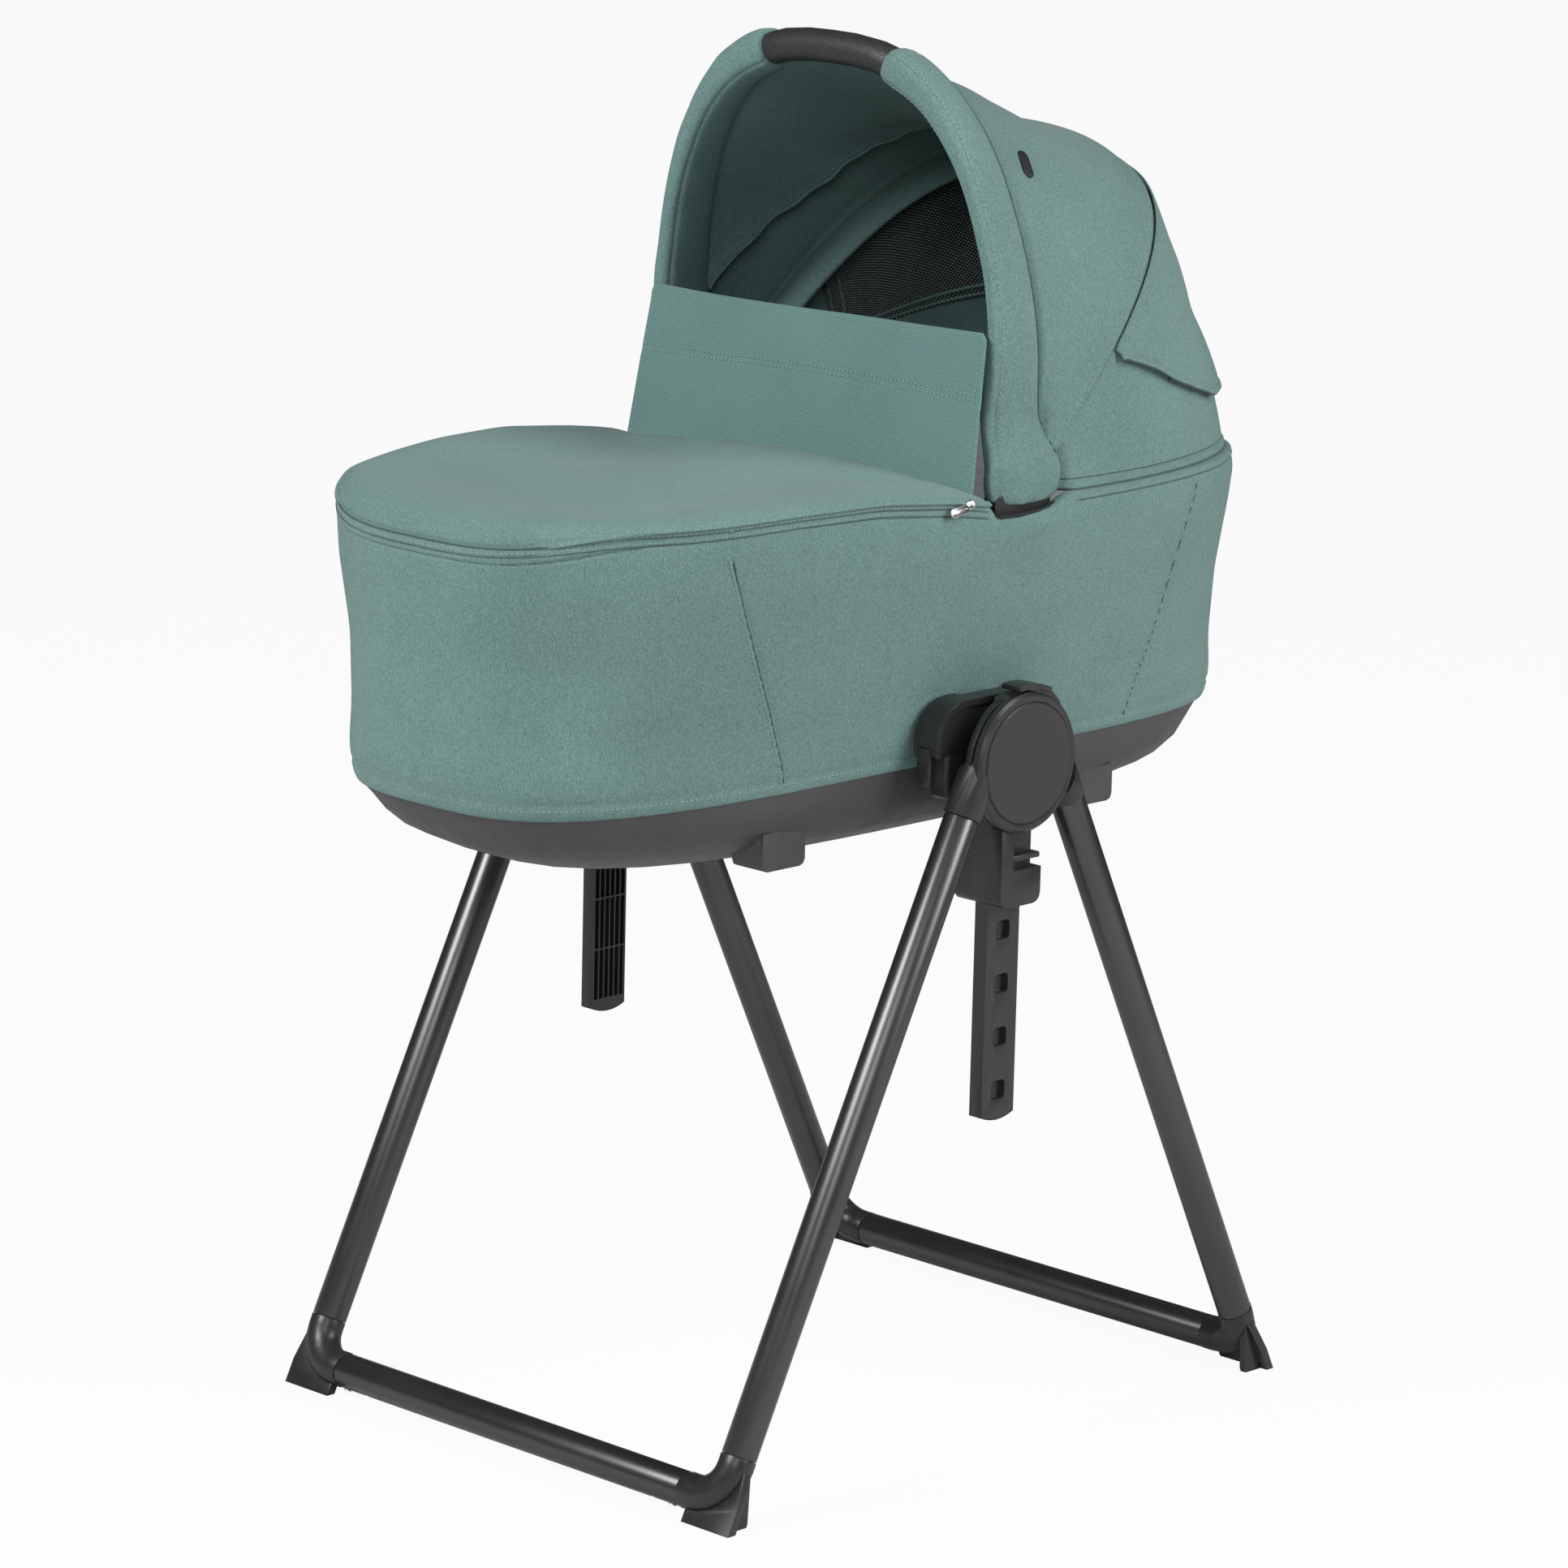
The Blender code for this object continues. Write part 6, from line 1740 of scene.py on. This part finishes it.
    def _vent_border(self, turns: list[float], aside: float) -> Array:
        """Closed line round the vent on the inner face of the rear fabric."""
        low, high = (value * (len(turns) - 1) for value in self.vent_turns)
        wide = aside / 0.004
        columns = np.linspace(low - wide, high + wide, 60)
        reach = aside / 0.28
        rows = np.linspace(self.vent_start - reach * 0.5, self.vent_end + reach, 30)
        border = [(rows[0], column) for column in columns]
        border += [(row, columns[-1]) for row in rows[1:]]
        border += [(rows[-1], column) for column in columns[-2::-1]]
        border += [(row, columns[0]) for row in rows[-2:0:-1]]
        points = []
        for share, column in border:
            turn = float(np.interp(column, range(len(turns)), turns))
            start = self.form.seam
            angle = start + (self.form.rear_edge(turn) - start) * float(share)
            points.append(self.form.point(angle, turn, -self.form.thick - 0.0008))
        return np.array(points)

    def vent(self, finishes: Finishes) -> Piece:
        """Net panel behind the vent's opening."""
        form = self.form
        piece = Sewn("vent_net_cloth")
        all_turns = form.turns(self.columns)
        low, high = (int(value * (self.columns - 1)) for value in self.vent_turns)
        turns = all_turns[low - 4:high + 5]
        shares = np.linspace(self.vent_start - 0.03, self.vent_end + 0.05, 30)
        grid = form.grid(turns, shares, lambda turn: form.seam, form.rear_edge,
                         lambda angle, turn, share: self._rear_wave(angle, turn, share) - form.thick - 0.0002)
        piece.shell(grid, 0.0009, finishes.net)
        cloth = piece.build()
        layer = cloth.data.uv_layers.new(name="cloth")
        places = np.array([vertex.co for vertex in cloth.data.vertices])
        angles = np.arctan2(places[:, 0] - form.bow.pivot_x, places[:, 2] - form.bow.pivot_z)
        ridge = np.array([form.point(math.radians(65), turn) for turn in all_turns])
        surface = np.stack([np.interp(places[:, 1], ridge[:, 1], distances(ridge)), angles * 0.36], axis=1)
        corners = np.zeros(len(cloth.data.loops), int)
        cloth.data.loops.foreach_get("vertex_index", corners)
        layer.data.foreach_set("uv", surface[corners].astype(np.float32).ravel())
        form.hold(cloth, "cot", "mid_bow", 95, 45)
        dress(cloth, "vent_mesh")
        declare_sheet(cloth, grid)
        return cloth

    @staticmethod
    def _reach(table: Table, turn: float) -> float:
        """Angle of an edge at a turn, from a table of both in degrees."""
        return math.radians(smooth_table(table, math.degrees(min(turn, math.pi - turn)), 1.2))

    def _visor_edge(self, turn: float) -> float:
        """Angle of the flap's lower edge: short beside its corners, long over the vent."""
        return self._reach(self.visor_reach, turn)

    def _visor_lift(self, turn: float, share: float) -> float:
        """Height of the flap's outer face above the rear fabric."""
        length = (self._visor_edge(turn) - self.form.seam) * self.form.radius(math.radians(62), turn)
        to_edge = (1 - share) * length
        kick = 0.0050 * max(0.0, share - 0.6)
        hem = 0.0009 * ease((self.visor_hem - to_edge) / 0.0015)
        hem -= self.visor_groove.at(to_edge - self.visor_hem)
        return 0.0006 + 0.0020 * min(1.0, 3 * share) + kick + self.visor_thick + hem

    def visor(self, finishes: Finishes) -> Piece:
        """Flap sewn along the seam that hangs over the vent."""
        form = self.form
        piece = Sewn("vent_flap_cloth")
        turns = form.turns(self.columns, self.visor_corner)
        shares = 1 - (1 - np.linspace(0, 1, 60)) ** 1.5
        grid = form.grid(turns, shares, lambda turn: form.seam + 0.0012, self._visor_edge,
                         lambda angle, turn, share: self._visor_lift(turn, share)
                         + 0.0008 * math.sin(11 * turn + 2) * math.sin(math.pi * share))
        normals = piece.shell(grid, self.visor_thick, finishes.cloth)
        line, facing = self._from_edge(grid, normals, self.visor_hem + 0.0016)
        piece.stitches(line, facing, finishes.thread)
        # Dark cord tucked under the flap's lower edge: painted shadow.
        piece.cord(grid[-1] - normals[-1] * 0.0012, 0.0012, finishes.dark_thread, sides=6)
        cloth = piece.build()
        form.hold(cloth, "cot", "mid_bow", 95, 45)
        dress(cloth, "visor_flap")
        declare_sheet(cloth, grid)
        return cloth

    @staticmethod
    def _from_edge(grid: Array, normals: Array, distance: float) -> tuple[Array, Array]:
        """Points and normals at a distance inside the last row, where the panel is long enough."""
        points, facing = [], []
        for column in range(grid.shape[1]):
            line = grid[::-1, column]
            lengths = distances(line)
            if lengths[-1] >= 1.6 * distance:
                points.append(read_path(distance, lengths, line))
                facing.append(read_path(distance, lengths, normals[::-1, column]))
        return np.array(points), np.array(facing)

    def inner_panel(self, finishes: Finishes) -> Piece:
        """Stitched panel inside the front of the hood, from the bow back to a rolled edge."""
        form = self.form
        piece = Sewn("hood_inner_panel")
        turns = form.turns(self.columns, self.inner_corner)
        shares = 1 - (1 - np.linspace(0, 1, 40)) ** 1.4
        grid = form.grid(turns, shares, self._inner_start, self._inner_end, self._inner_out)[::-1]
        normals = piece.shell(grid, self.inner_thick, finishes.cloth)
        line, facing = self._from_edge(grid[::-1], normals[::-1], 0.0070)
        piece.stitches(line, facing, finishes.thread, 0.0030, 0.0046, 0.00040)
        piece.cord(grid[0] + (grid[1] - grid[0]) * 0.2, 0.0014, finishes.cloth, sides=8)
        panel = piece.build()
        form.hold(panel, "mid_bow", "handle", 45, 5)
        dress(panel)
        declare_sheet(panel, grid)
        return panel

    def _inner_end(self, turn: float) -> float:
        """Angle of the inner panel's rolled edge."""
        return self._reach(self.inner_reach, turn)

    def _inner_start(self, turn: float) -> float:
        """Angle at which the inner panel leaves the sleeve."""
        return min(self.form.front_edge(turn), self._inner_end(turn) - math.radians(1.0))

    def _inner_out(self, angle: float, turn: float, share: float) -> float:
        """Place of the inner panel under the front fabric, with slack folds across it."""
        folds = 0.0030 * math.sin(13 * turn + 0.7) * math.sin(3 * turn) * share
        folds += 0.0010 * math.sin(37 * turn + 2.1 + 5 * share) * share
        return -self.form.thick - 0.0042 - 0.0095 * share ** 2 + folds

    def pocket(self, finishes: Finishes) -> Piece:
        """Pocket inside the seam that carries the thin bow."""
        piece = Sewn("thin_bow_pocket")
        form = self.form
        direction = np.array([math.sin(form.seam), 0.0, math.cos(form.seam)])
        along = np.array([math.cos(form.seam), 0.0, -math.sin(form.seam)])
        power = 2 / form.bow.power
        rows = []
        for turn in form.turns(150, 0.055)[2:-2]:
            top = form.point(form.seam, turn, -form.thick - 0.0003)
            side = signed_power(math.cos(turn), power) * 0.176
            low = np.array([form.bow.pivot_x, side, form.bow.pivot_z])
            low = low + direction * abs(math.sin(turn)) ** power * 0.345
            gap = np.linalg.norm(top - low)
            outward = (top - low) / gap
            lift = (gap + 0.006) / 2
            centre = low + outward * (gap - lift)
            ring = []
            for index in range(20):
                angle = 2 * math.pi * index / 20
                wide = 0.0050 * (1 - 0.50 * max(0.0, math.cos(angle)))
                ring.append(centre + outward * math.cos(angle) * lift + along * math.sin(angle) * wide)
            rows.append(ring)
        grid = np.array(rows)
        normals = piece.shell(grid, 0.0011, finishes.cloth, wrap=True)
        for column in (4, 16):
            piece.stitches(grid[:, column], normals[:, column], finishes.thread, 0.0028, 0.0046, 0.00032)
        pocket = piece.build()
        dress(pocket, body="mid_bow")
        declare_sheet(pocket, grid, wrap=True)
        return pocket


@dataclass
class HandleSleeve:
    """Padded sleeve round one half of the handle bow."""

    bow: BowLine
    side: Side
    grip_half: float = 0.073
    low: float = 0.024
    side_thick: float = 0.0095
    top_thick: float = 0.0165
    around: int = 72
    seam_groove: Groove = Groove(0.0010, 0.07, -0.80)
    end_groove: Groove = Groove(0.0010, 0.005, 0.026)
    end_swell: float = 0.0113
    swell_heights: tuple[float, float] = (0.828, 0.878)
    cap_steps: Table = (
        (0.12, 0.0233), (0.42, 0.0231), (0.66, 0.0222), (0.82, 0.0202), (0.92, 0.0165), (0.98, 0.0100))

    def _stations(self) -> Array:
        """Points of the bow from the rounded lower end to the grip."""
        line = self.bow.line(1401)
        half = line[line[:, 1] * self.side.value > self.grip_half]
        half = half[half[:, 2] > self.bow.pivot_z + self.low]
        half = half[np.argsort(half[:, 2])]
        return resample(half, 150)

    def _section(self, point: Array, tangent: Array, half_wide: float, half_thick: float, row: int,
                 last: int) -> list[Array]:
        """Flattened oval across the bow, with seam grooves and dimples.

        Args:
            point: Point of the bow's middle line.
            tangent: Direction of the bow there.
            half_wide: Half width of the sleeve, along the cot.
            half_thick: Half thickness of the sleeve.
            row: Number of the section from the lower end.
            last: Number of the section beside the grip.

        Returns:
            Points round the section.
        """
        normal = unit(np.array([0.0, -tangent[2], tangent[1]]))
        ring = []
        near_end = (last - row) / last
        low_z, high_z = self.swell_heights
        swell = self.end_swell * (1 - ease((point[2] - low_z) / (high_z - low_z)))
        for index in range(self.around):
            angle = 2 * math.pi * index / self.around
            along = signed_power(math.cos(angle), 0.75)
            outward = signed_power(math.sin(angle), 0.75)
            away = max(0.0, -self.side.value * outward)
            reach = outward * half_thick
            bulge = away ** 0.6 * (1 - 0.8 * along ** 2) + 0.97 * along ** 2
            reach -= self.side.value * swell * bulge
            shift = (along + 1) * 0.55 * swell
            place = point + (along * half_wide + shift, 0, 0) + normal * reach
            dent = self.seam_groove.at(along)
            dent += self.end_groove.at(near_end)
            low_share = hump(row / last, 0.16)
            dent += 0.0016 * low_share * (0.5 + 0.5 * math.sin(5 * along + row * 0.33)) * abs(outward)
            dent -= 0.0007 * ripple(place, 0.06)
            direction = np.array([along, 0, 0]) * half_thick + normal * outward * half_wide
            ring.append(place - unit(direction) * dent)
        return ring

    def build(self, finishes: Finishes) -> Piece:
        """Sew the sleeve and dress it."""
        piece = Sewn(f"handle_sleeve_{self.side.word}_cloth")
        stations = self._stations()
        tangents = np.gradient(stations, axis=0)
        tangents /= np.linalg.norm(tangents, axis=1, keepdims=True)
        last = len(stations) - 1
        rise = stations[-1, 2] - self.bow.pivot_z
        rings = []
        for row, point in enumerate(stations):
            share = (point[2] - self.bow.pivot_z) / rise
            high_share = max(0.0, (share - 0.62) / 0.38)
            half_thick = self.side_thick + (self.top_thick - self.side_thick) * high_share ** 1.5
            half_wide = self.bow.sleeve_half(share)
            end = 1 - 0.10 * hump(last - row, 2.0)
            rings.append(self._section(point, tangents[row], half_wide * end, half_thick * end, row, last))
        rings = self._cap(rings[0], stations[0]) + rings
        top = np.array(rings[-1])
        centre = top.mean(axis=0)
        for scale in (0.93, 0.80, 0.58):
            rings.append(list(centre + (top - centre) * scale + tangents[-1] * 0.0006))
        grid = np.array(rings)
        if self.side is Side.LEFT:
            grid = grid[:, ::-1]
        normals = piece.shell(grid, 0.0022, finishes.cloth, wrap=True)
        for column in self._columns(grid):
            seam = grid[12:-6, column]
            piece.stitches(seam, normals[12:-6, column], finishes.thread, 0.0030, width=0.00038)
        hoop = [*range(self.around), 0]
        piece.stitches(grid[-8, hoop], normals[-8, hoop], finishes.thread, 0.0028, 0.0044)
        # Dark cord laid along the rear crease: painted shade.
        rear = self._rear_column(grid)
        piece.cord(grid[12:-14, rear] + normals[12:-14, rear] * 0.0003, 0.0009, finishes.dark_thread, sides=5)
        sleeve = piece.build()
        dress(sleeve, f"handle_sleeve_{self.side.word}", "handle")
        return sleeve

    def _cap(self, ring: list[Array], centre: Array) -> list[list[Array]]:
        """Smaller sections that round off the lower end."""
        rings = []
        for scale, drop in self.cap_steps:
            shrink = np.array([scale, 0.93 + 0.07 * scale, 1.0])
            rings.append([centre + (point - centre) * shrink - (0, 0, drop) for point in ring])
        return rings

    def _rear_column(self, grid: Array) -> int:
        """Column of the crease along the rear edge, on the outer face."""
        middle = grid[len(grid) // 2]
        centre = middle.mean(axis=0)
        reach = 0.90 * float(middle[:, 0].max() - centre[0])
        outer = [k for k in range(len(middle))
                 if abs(middle[k, 1]) > abs(centre[1]) and 0 < middle[k, 0] - centre[0] < reach]
        return max(outer, key=lambda k: middle[k, 0])

    def _columns(self, grid: Array) -> list[int]:
        """Columns of the seam near the front edge, on the outer and the inner face."""
        middle = grid[len(grid) // 2]
        centre = middle.mean(axis=0)
        front = middle[:, 0] < centre[0] - 0.017
        outer = [k for k in range(len(middle)) if front[k] and abs(middle[k, 1]) > abs(centre[1])]
        inner = [k for k in range(len(middle)) if front[k] and abs(middle[k, 1]) < abs(centre[1])]
        return [max(group, key=lambda k: middle[k, 0]) for group in (outer, inner) if group]


def add_pill(piece: Sewn, start: Array, end: Array, out: Array, width: float, thick: float,
             material: Material) -> None:
    """Add a flat bar with round ends and softened edges.

    Args:
        piece: Piece that it is added to.
        start: One end of its middle line.
        end: Other end of its middle line.
        out: Direction that its face looks in.
        width: Width of the bar.
        thick: Height of its face above the middle line.
        material: Its finish.
    """
    along = unit(end - start)
    centre = (start + end) / 2
    out = unit(out - along * float(out @ along))
    across = np.cross(out, along)
    half = float(np.linalg.norm(end - start)) / 2 - width / 2
    outline = []
    for sign, base in ((1, -math.pi / 2), (-1, math.pi / 2)):
        for step in range(17):
            angle = base + math.pi * step / 16
            outline.append((sign * half + math.cos(angle) * width / 2, math.sin(angle) * width / 2))
    levels = ((0.80, thick), (0.95, thick * 0.82), (1.0, thick * 0.45), (1.0, 0.0), (0.95, -thick * 0.3))
    points = []
    for scale, lift in levels:
        for u, v in outline:
            points.append(centre + along * u * (1 - (1 - scale) * 0.35) + across * v * scale + out * lift)
    count = len(outline)
    faces = [tuple(range(count))]
    for row in range(len(levels) - 1):
        for index in range(count):
            nxt = (index + 1) % count
            faces.append((row * count + index, (row + 1) * count + index, (row + 1) * count + nxt,
                          row * count + nxt))
    faces.append(tuple(reversed(range((len(levels) - 1) * count, len(levels) * count))))
    piece.add(np.array(points), faces, material)


@dataclass
class BlankTag:
    """Plain black tag in the seam beside the sleeve."""

    form: CanopyForm
    start: Spot = (0.1086, -0.1440, 1.0855)
    end: Spot = (0.0985, -0.1638, 1.0664)
    width: float = 0.0120
    thick: float = 0.0018

    def build(self, finishes: Finishes) -> Piece:
        """Make the tag with rounded ends."""
        start, end = np.array(self.start), np.array(self.end)
        centre = (start + end) / 2
        out = np.array([centre[0] - self.form.bow.pivot_x - 0.03, centre[1] * 1.6,
                        (centre[2] - self.form.bow.pivot_z) * 0.8])
        piece = Sewn("blank_seam_tag")
        add_pill(piece, start, end, out, self.width, self.thick, finishes.tag)
        tag = piece.build(50)
        dress(tag, body="handle")
        return tag


@dataclass
class RimTube:
    """Tube that carries the cover's upper edge and sinks under the bow's hinges."""

    plan: CotPlan
    cover: SideCover
    z: float = 0.7990
    radius: float = 0.0068
    inset: float = 0.0103
    sink_share: float = 0.68

    def build(self, finishes: Finishes) -> Piece:
        """Bend the tube round the cot."""
        piece = Sewn("rim_tube")
        path = self.plan.ring(self.z, self.plan.even_angles(420), self.inset)
        for point in path:
            if abs(point[1]) > 0.15:
                point[2] -= self.sink_share * self.cover.top_drop(float(point[0]))
        piece.cord(path, self.radius, finishes.black, closed=True, sides=18)
        tube = piece.build()
        dress(tube, "rim_frame", "cot")
        return tube


@dataclass
class ZipPull:
    """Metal slider with its ring and pull, on the zip beside the near sleeve."""

    slider: Table = ((-0.0385, -0.2286, 0.8118), (-0.0280, -0.2284, 0.8140))
    pull: Table = ((-0.0590, -0.2318, 0.8082), (-0.0370, -0.2312, 0.8114))

    def build(self, finishes: Finishes) -> Piece:
        """Cast the slider and hang the pull on it."""
        out = np.array([-0.15, -1.0, 0.25])
        piece = Sewn("zip_slider_and_pull")
        first, last = (np.array(point) for point in self.slider)
        add_pill(piece, first, last, out, 0.0078, 0.0026, finishes.chrome)
        add_pill(piece, first + (0.002, -0.0024, 0), last + (-0.002, -0.0024, 0), out, 0.0034, 0.0016,
                 finishes.chrome)
        low, high = (np.array(point) for point in self.pull)
        add_pill(piece, low, high, out, 0.0080, 0.0016, finishes.chrome)
        add_pill(piece, low + (0.0045, -0.0010, 0.0006), high + (-0.0045, -0.0010, -0.0006), out,
                 0.0036, 0.0010, finishes.steel)
        turns = np.linspace(0, 2 * math.pi, 25)[:-1]
        centre = (first + high) / 2 + (0.0012, -0.0006, 0.0006)
        along = unit(last - first) * 0.0042
        side = np.array([0.0, -0.0034, 0.0])
        ring = np.array([centre + along * math.cos(turn) + side * math.sin(turn) for turn in turns])
        piece.cord(ring, 0.0009, finishes.chrome, closed=True)
        pull = piece.build(40)
        dress(pull, "zip_pull", "cot")
        return pull


class StandFinishes:
    """Materials and soft edges of the rigid parts that the frame brings along."""

    smooth_under = math.radians(42)
    round_over = math.radians(48)
    round_size = 0.0007
    join_within = 0.00001

    tubes = ("front_leg", "rear_leg", "front_bar", "rear_bar", "handle_bow", "mid_bow")

    def __init__(self, finishes: Finishes) -> None:
        """Say which finish each rigid part has, by the start of its name."""
        self.table = {start: finishes.tube for start in self.tubes}
        self.table |= {"hub_cap": finishes.cap, "tub_shell": finishes.grey, "zip_pull": finishes.chrome,
                       "handle_grip": finishes.leather}

    def smoothing(self) -> bpy.types.NodeTree:
        """Node group that joins the facets of a part and shades its curved faces smoothly."""
        tree = bpy.data.node_groups.new("soft_facets", "GeometryNodeTree")
        tree.interface.new_socket("Geometry", in_out="INPUT", socket_type="NodeSocketGeometry")
        tree.interface.new_socket("Geometry", in_out="OUTPUT", socket_type="NodeSocketGeometry")
        start = tree.nodes.new("NodeGroupInput")
        end = tree.nodes.new("NodeGroupOutput")
        joined = tree.nodes.new("GeometryNodeMergeByDistance")
        joined.inputs["Distance"].default_value = self.join_within
        faces = tree.nodes.new("GeometryNodeSetShadeSmooth")
        edges = tree.nodes.new("GeometryNodeSetShadeSmooth")
        edges.domain = "EDGE"
        fold = tree.nodes.new("GeometryNodeInputMeshEdgeAngle")
        flat = tree.nodes.new("FunctionNodeCompare")
        flat.data_type = "FLOAT"
        flat.operation = "LESS_THAN"
        flat.inputs[1].default_value = self.smooth_under
        tree.links.new(start.outputs[0], joined.inputs[0])
        tree.links.new(joined.outputs[0], faces.inputs[0])
        tree.links.new(faces.outputs[0], edges.inputs[0])
        tree.links.new(fold.outputs["Unsigned Angle"], flat.inputs[0])
        tree.links.new(flat.outputs[0], edges.inputs["Shade Smooth"])
        tree.links.new(edges.outputs[0], end.inputs[0])
        return tree

    def soften(self, node: Piece, tree: bpy.types.NodeTree) -> None:
        """Round the sharp edges of a part and shade its facets smoothly."""
        weld = node.modifiers.new("joined_facets", "WELD")
        weld.merge_threshold = self.join_within
        round_off = node.modifiers.new("small_rounds", "BEVEL")
        round_off.limit_method = "ANGLE"
        round_off.angle_limit = self.round_over
        round_off.width = self.round_size
        round_off.segments = 2
        round_off.use_clamp_overlap = True
        smooth = node.modifiers.new("soft_facets", "NODES")
        smooth.node_group = tree

    def dress(self, finishes: Finishes) -> None:
        """Give every rigid part its finish."""
        tree = self.smoothing()
        for name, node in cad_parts.items():
            self.soften(node, tree)
            chosen = finishes.black
            if "rivet" in name:
                chosen = finishes.steel
            for start, material in self.table.items():
                if name.startswith(start):
                    chosen = material
            for slot in node.material_slots:
                slot.link = "OBJECT"
                slot.material = chosen


@dataclass
class Studio:
    """Camera, lights, floor and backdrop."""

    place: Spot = (-3.91848, -3.82006, 1.7678)
    turn: Spot = (77.3853, -1.2865, -45.1381)
    lens: float = 149.8939
    shift: tuple[float, float] = (0.016532, -0.008138)
    air: float = 0.06
    white_share: float = 0.94
    lamp_size: float = 1.8

    def camera(self) -> None:
        """Camera at the photograph's viewpoint."""
        data = bpy.data.cameras.new("camera")
        data.sensor_width = 36
        data.lens = self.lens
        data.shift_x, data.shift_y = self.shift
        camera = bpy.data.objects.new("camera", data)
        camera.location = self.place
        camera.rotation_euler = [math.radians(angle) for angle in self.turn]
        bpy.context.scene.collection.objects.link(camera)
        bpy.context.scene.camera = camera

    def lamp(self, name: str, place: Spot, power: float, tone: Colour = (1, 1, 1)) -> None:
        """Soft square lamp that faces the bassinet.

        Args:
            name: Name of the lamp.
            place: Place of its middle.
            power: Power in watts.
            tone: Colour of its light.
        """
        data = bpy.data.lights.new(name, "AREA")
        data.shape = "SQUARE"
        data.size = self.lamp_size
        data.energy = power
        data.color = tone
        lamp = bpy.data.objects.new(name, data)
        lamp.location = place
        aim = Vector((0.05, 0, 0.72)) - Vector(place)
        lamp.rotation_euler = aim.to_track_quat("-Z", "Y").to_euler()
        bpy.context.scene.collection.objects.link(lamp)

    def world(self) -> None:
        """Even surroundings: faint light on the bassinet, and plain white to the camera."""
        world = bpy.data.worlds.new("soft_box")
        world.use_nodes = True
        nodes, links = world.node_tree.nodes, world.node_tree.links
        back = nodes["Background"]
        back.inputs["Color"].default_value = (1, 1, 1, 1)
        back.inputs["Strength"].default_value = self.air
        seen = nodes.new("ShaderNodeBackground")
        seen.inputs["Color"].default_value = (1, 1, 1, 1)
        seen.inputs["Strength"].default_value = 1.0
        path = nodes.new("ShaderNodeLightPath")
        mix = nodes.new("ShaderNodeMixShader")
        links.new(path.outputs["Is Camera Ray"], mix.inputs["Fac"])
        links.new(back.outputs["Background"], mix.inputs[1])
        links.new(seen.outputs["Background"], mix.inputs[2])
        links.new(mix.outputs["Shader"], nodes["World Output"].inputs["Surface"])
        bpy.context.scene.world = world

    def floor(self) -> None:
        """Pale floor that keeps the stand's soft shadow."""
        half = 40.0
        corners = [(-half, -half, 0), (half, -half, 0), (half, half, 0), (-half, half, 0)]
        data = bpy.data.meshes.new("studio_floor")
        data.from_pydata(corners, [], [(0, 1, 2, 3)])
        floor = bpy.data.objects.new("studio_floor", data)
        bpy.context.scene.collection.objects.link(floor)
        material = bpy.data.materials.new("studio_floor")
        material.use_nodes = True
        nodes, links = material.node_tree.nodes, material.node_tree.links
        matt = nodes["Principled BSDF"]
        matt.inputs["Base Color"].default_value = (0.66, 0.66, 0.66, 1)
        matt.inputs["Roughness"].default_value = 0.9
        white = nodes.new("ShaderNodeEmission")
        white.inputs["Color"].default_value = (1, 1, 1, 1)
        path = nodes.new("ShaderNodeLightPath")
        share = nodes.new("ShaderNodeMath")
        share.operation = "MULTIPLY"
        share.inputs[1].default_value = self.white_share
        links.new(path.outputs["Is Camera Ray"], share.inputs[0])
        mix = nodes.new("ShaderNodeMixShader")
        links.new(share.outputs[0], mix.inputs["Fac"])
        links.new(matt.outputs["BSDF"], mix.inputs[1])
        links.new(white.outputs["Emission"], mix.inputs[2])
        links.new(mix.outputs["Shader"], nodes["Material Output"].inputs["Surface"])
        data.materials.append(material)

    def build(self) -> None:
        """Set the studio up."""
        bpy.context.scene.view_settings.view_transform = "Standard"
        self.camera()
        self.world()
        self.floor()
        self.lamp("foot_end", (-3.4, 0.6, 3.2), 165)
        self.lamp("beside_camera", (-3.4, -3.0, 2.6), 54)
        self.lamp("head_side", (1.6, -3.9, 2.4), 124, (1.0, 0.995, 0.985))
        self.lamp("high_side", (1.0, -3.0, 4.0), 66)


def build_cot(finishes: Finishes) -> None:
    """Make the cot's soft pieces."""
    plan = CotPlan()
    cover = SideCover(plan)
    apron = Apron(plan, cover)
    flap = WindFlap(plan, apron)
    cover.build(finishes)
    apron.build(finishes)
    flap.build(finishes)
    RimTube(plan, cover).build(finishes)
    ZipPull().build(finishes)
    Liner(plan).build(finishes)
    Mattress(plan).build(finishes)


def build_hood(finishes: Finishes) -> None:
    """Make the handle's and the canopy's soft pieces."""
    bow = BowLine()
    form = CanopyForm(bow)
    canopy = Canopy(form)
    for make in (canopy.front, canopy.rear, canopy.vent, canopy.visor, canopy.inner_panel, canopy.pocket):
        make(finishes)
    for side in Side:
        HandleSleeve(bow, side).build(finishes)
    BlankTag(form).build(finishes)


def main() -> None:
    """Build the whole scene in order."""
    logging.basicConfig(level=logging.INFO, format="%(name)s %(message)s")
    Studio().build()
    finishes = Finishes()
    StandFinishes(finishes).dress(finishes)
    build_cot(finishes)
    build_hood(finishes)


if __name__ == "__main__":
    main()
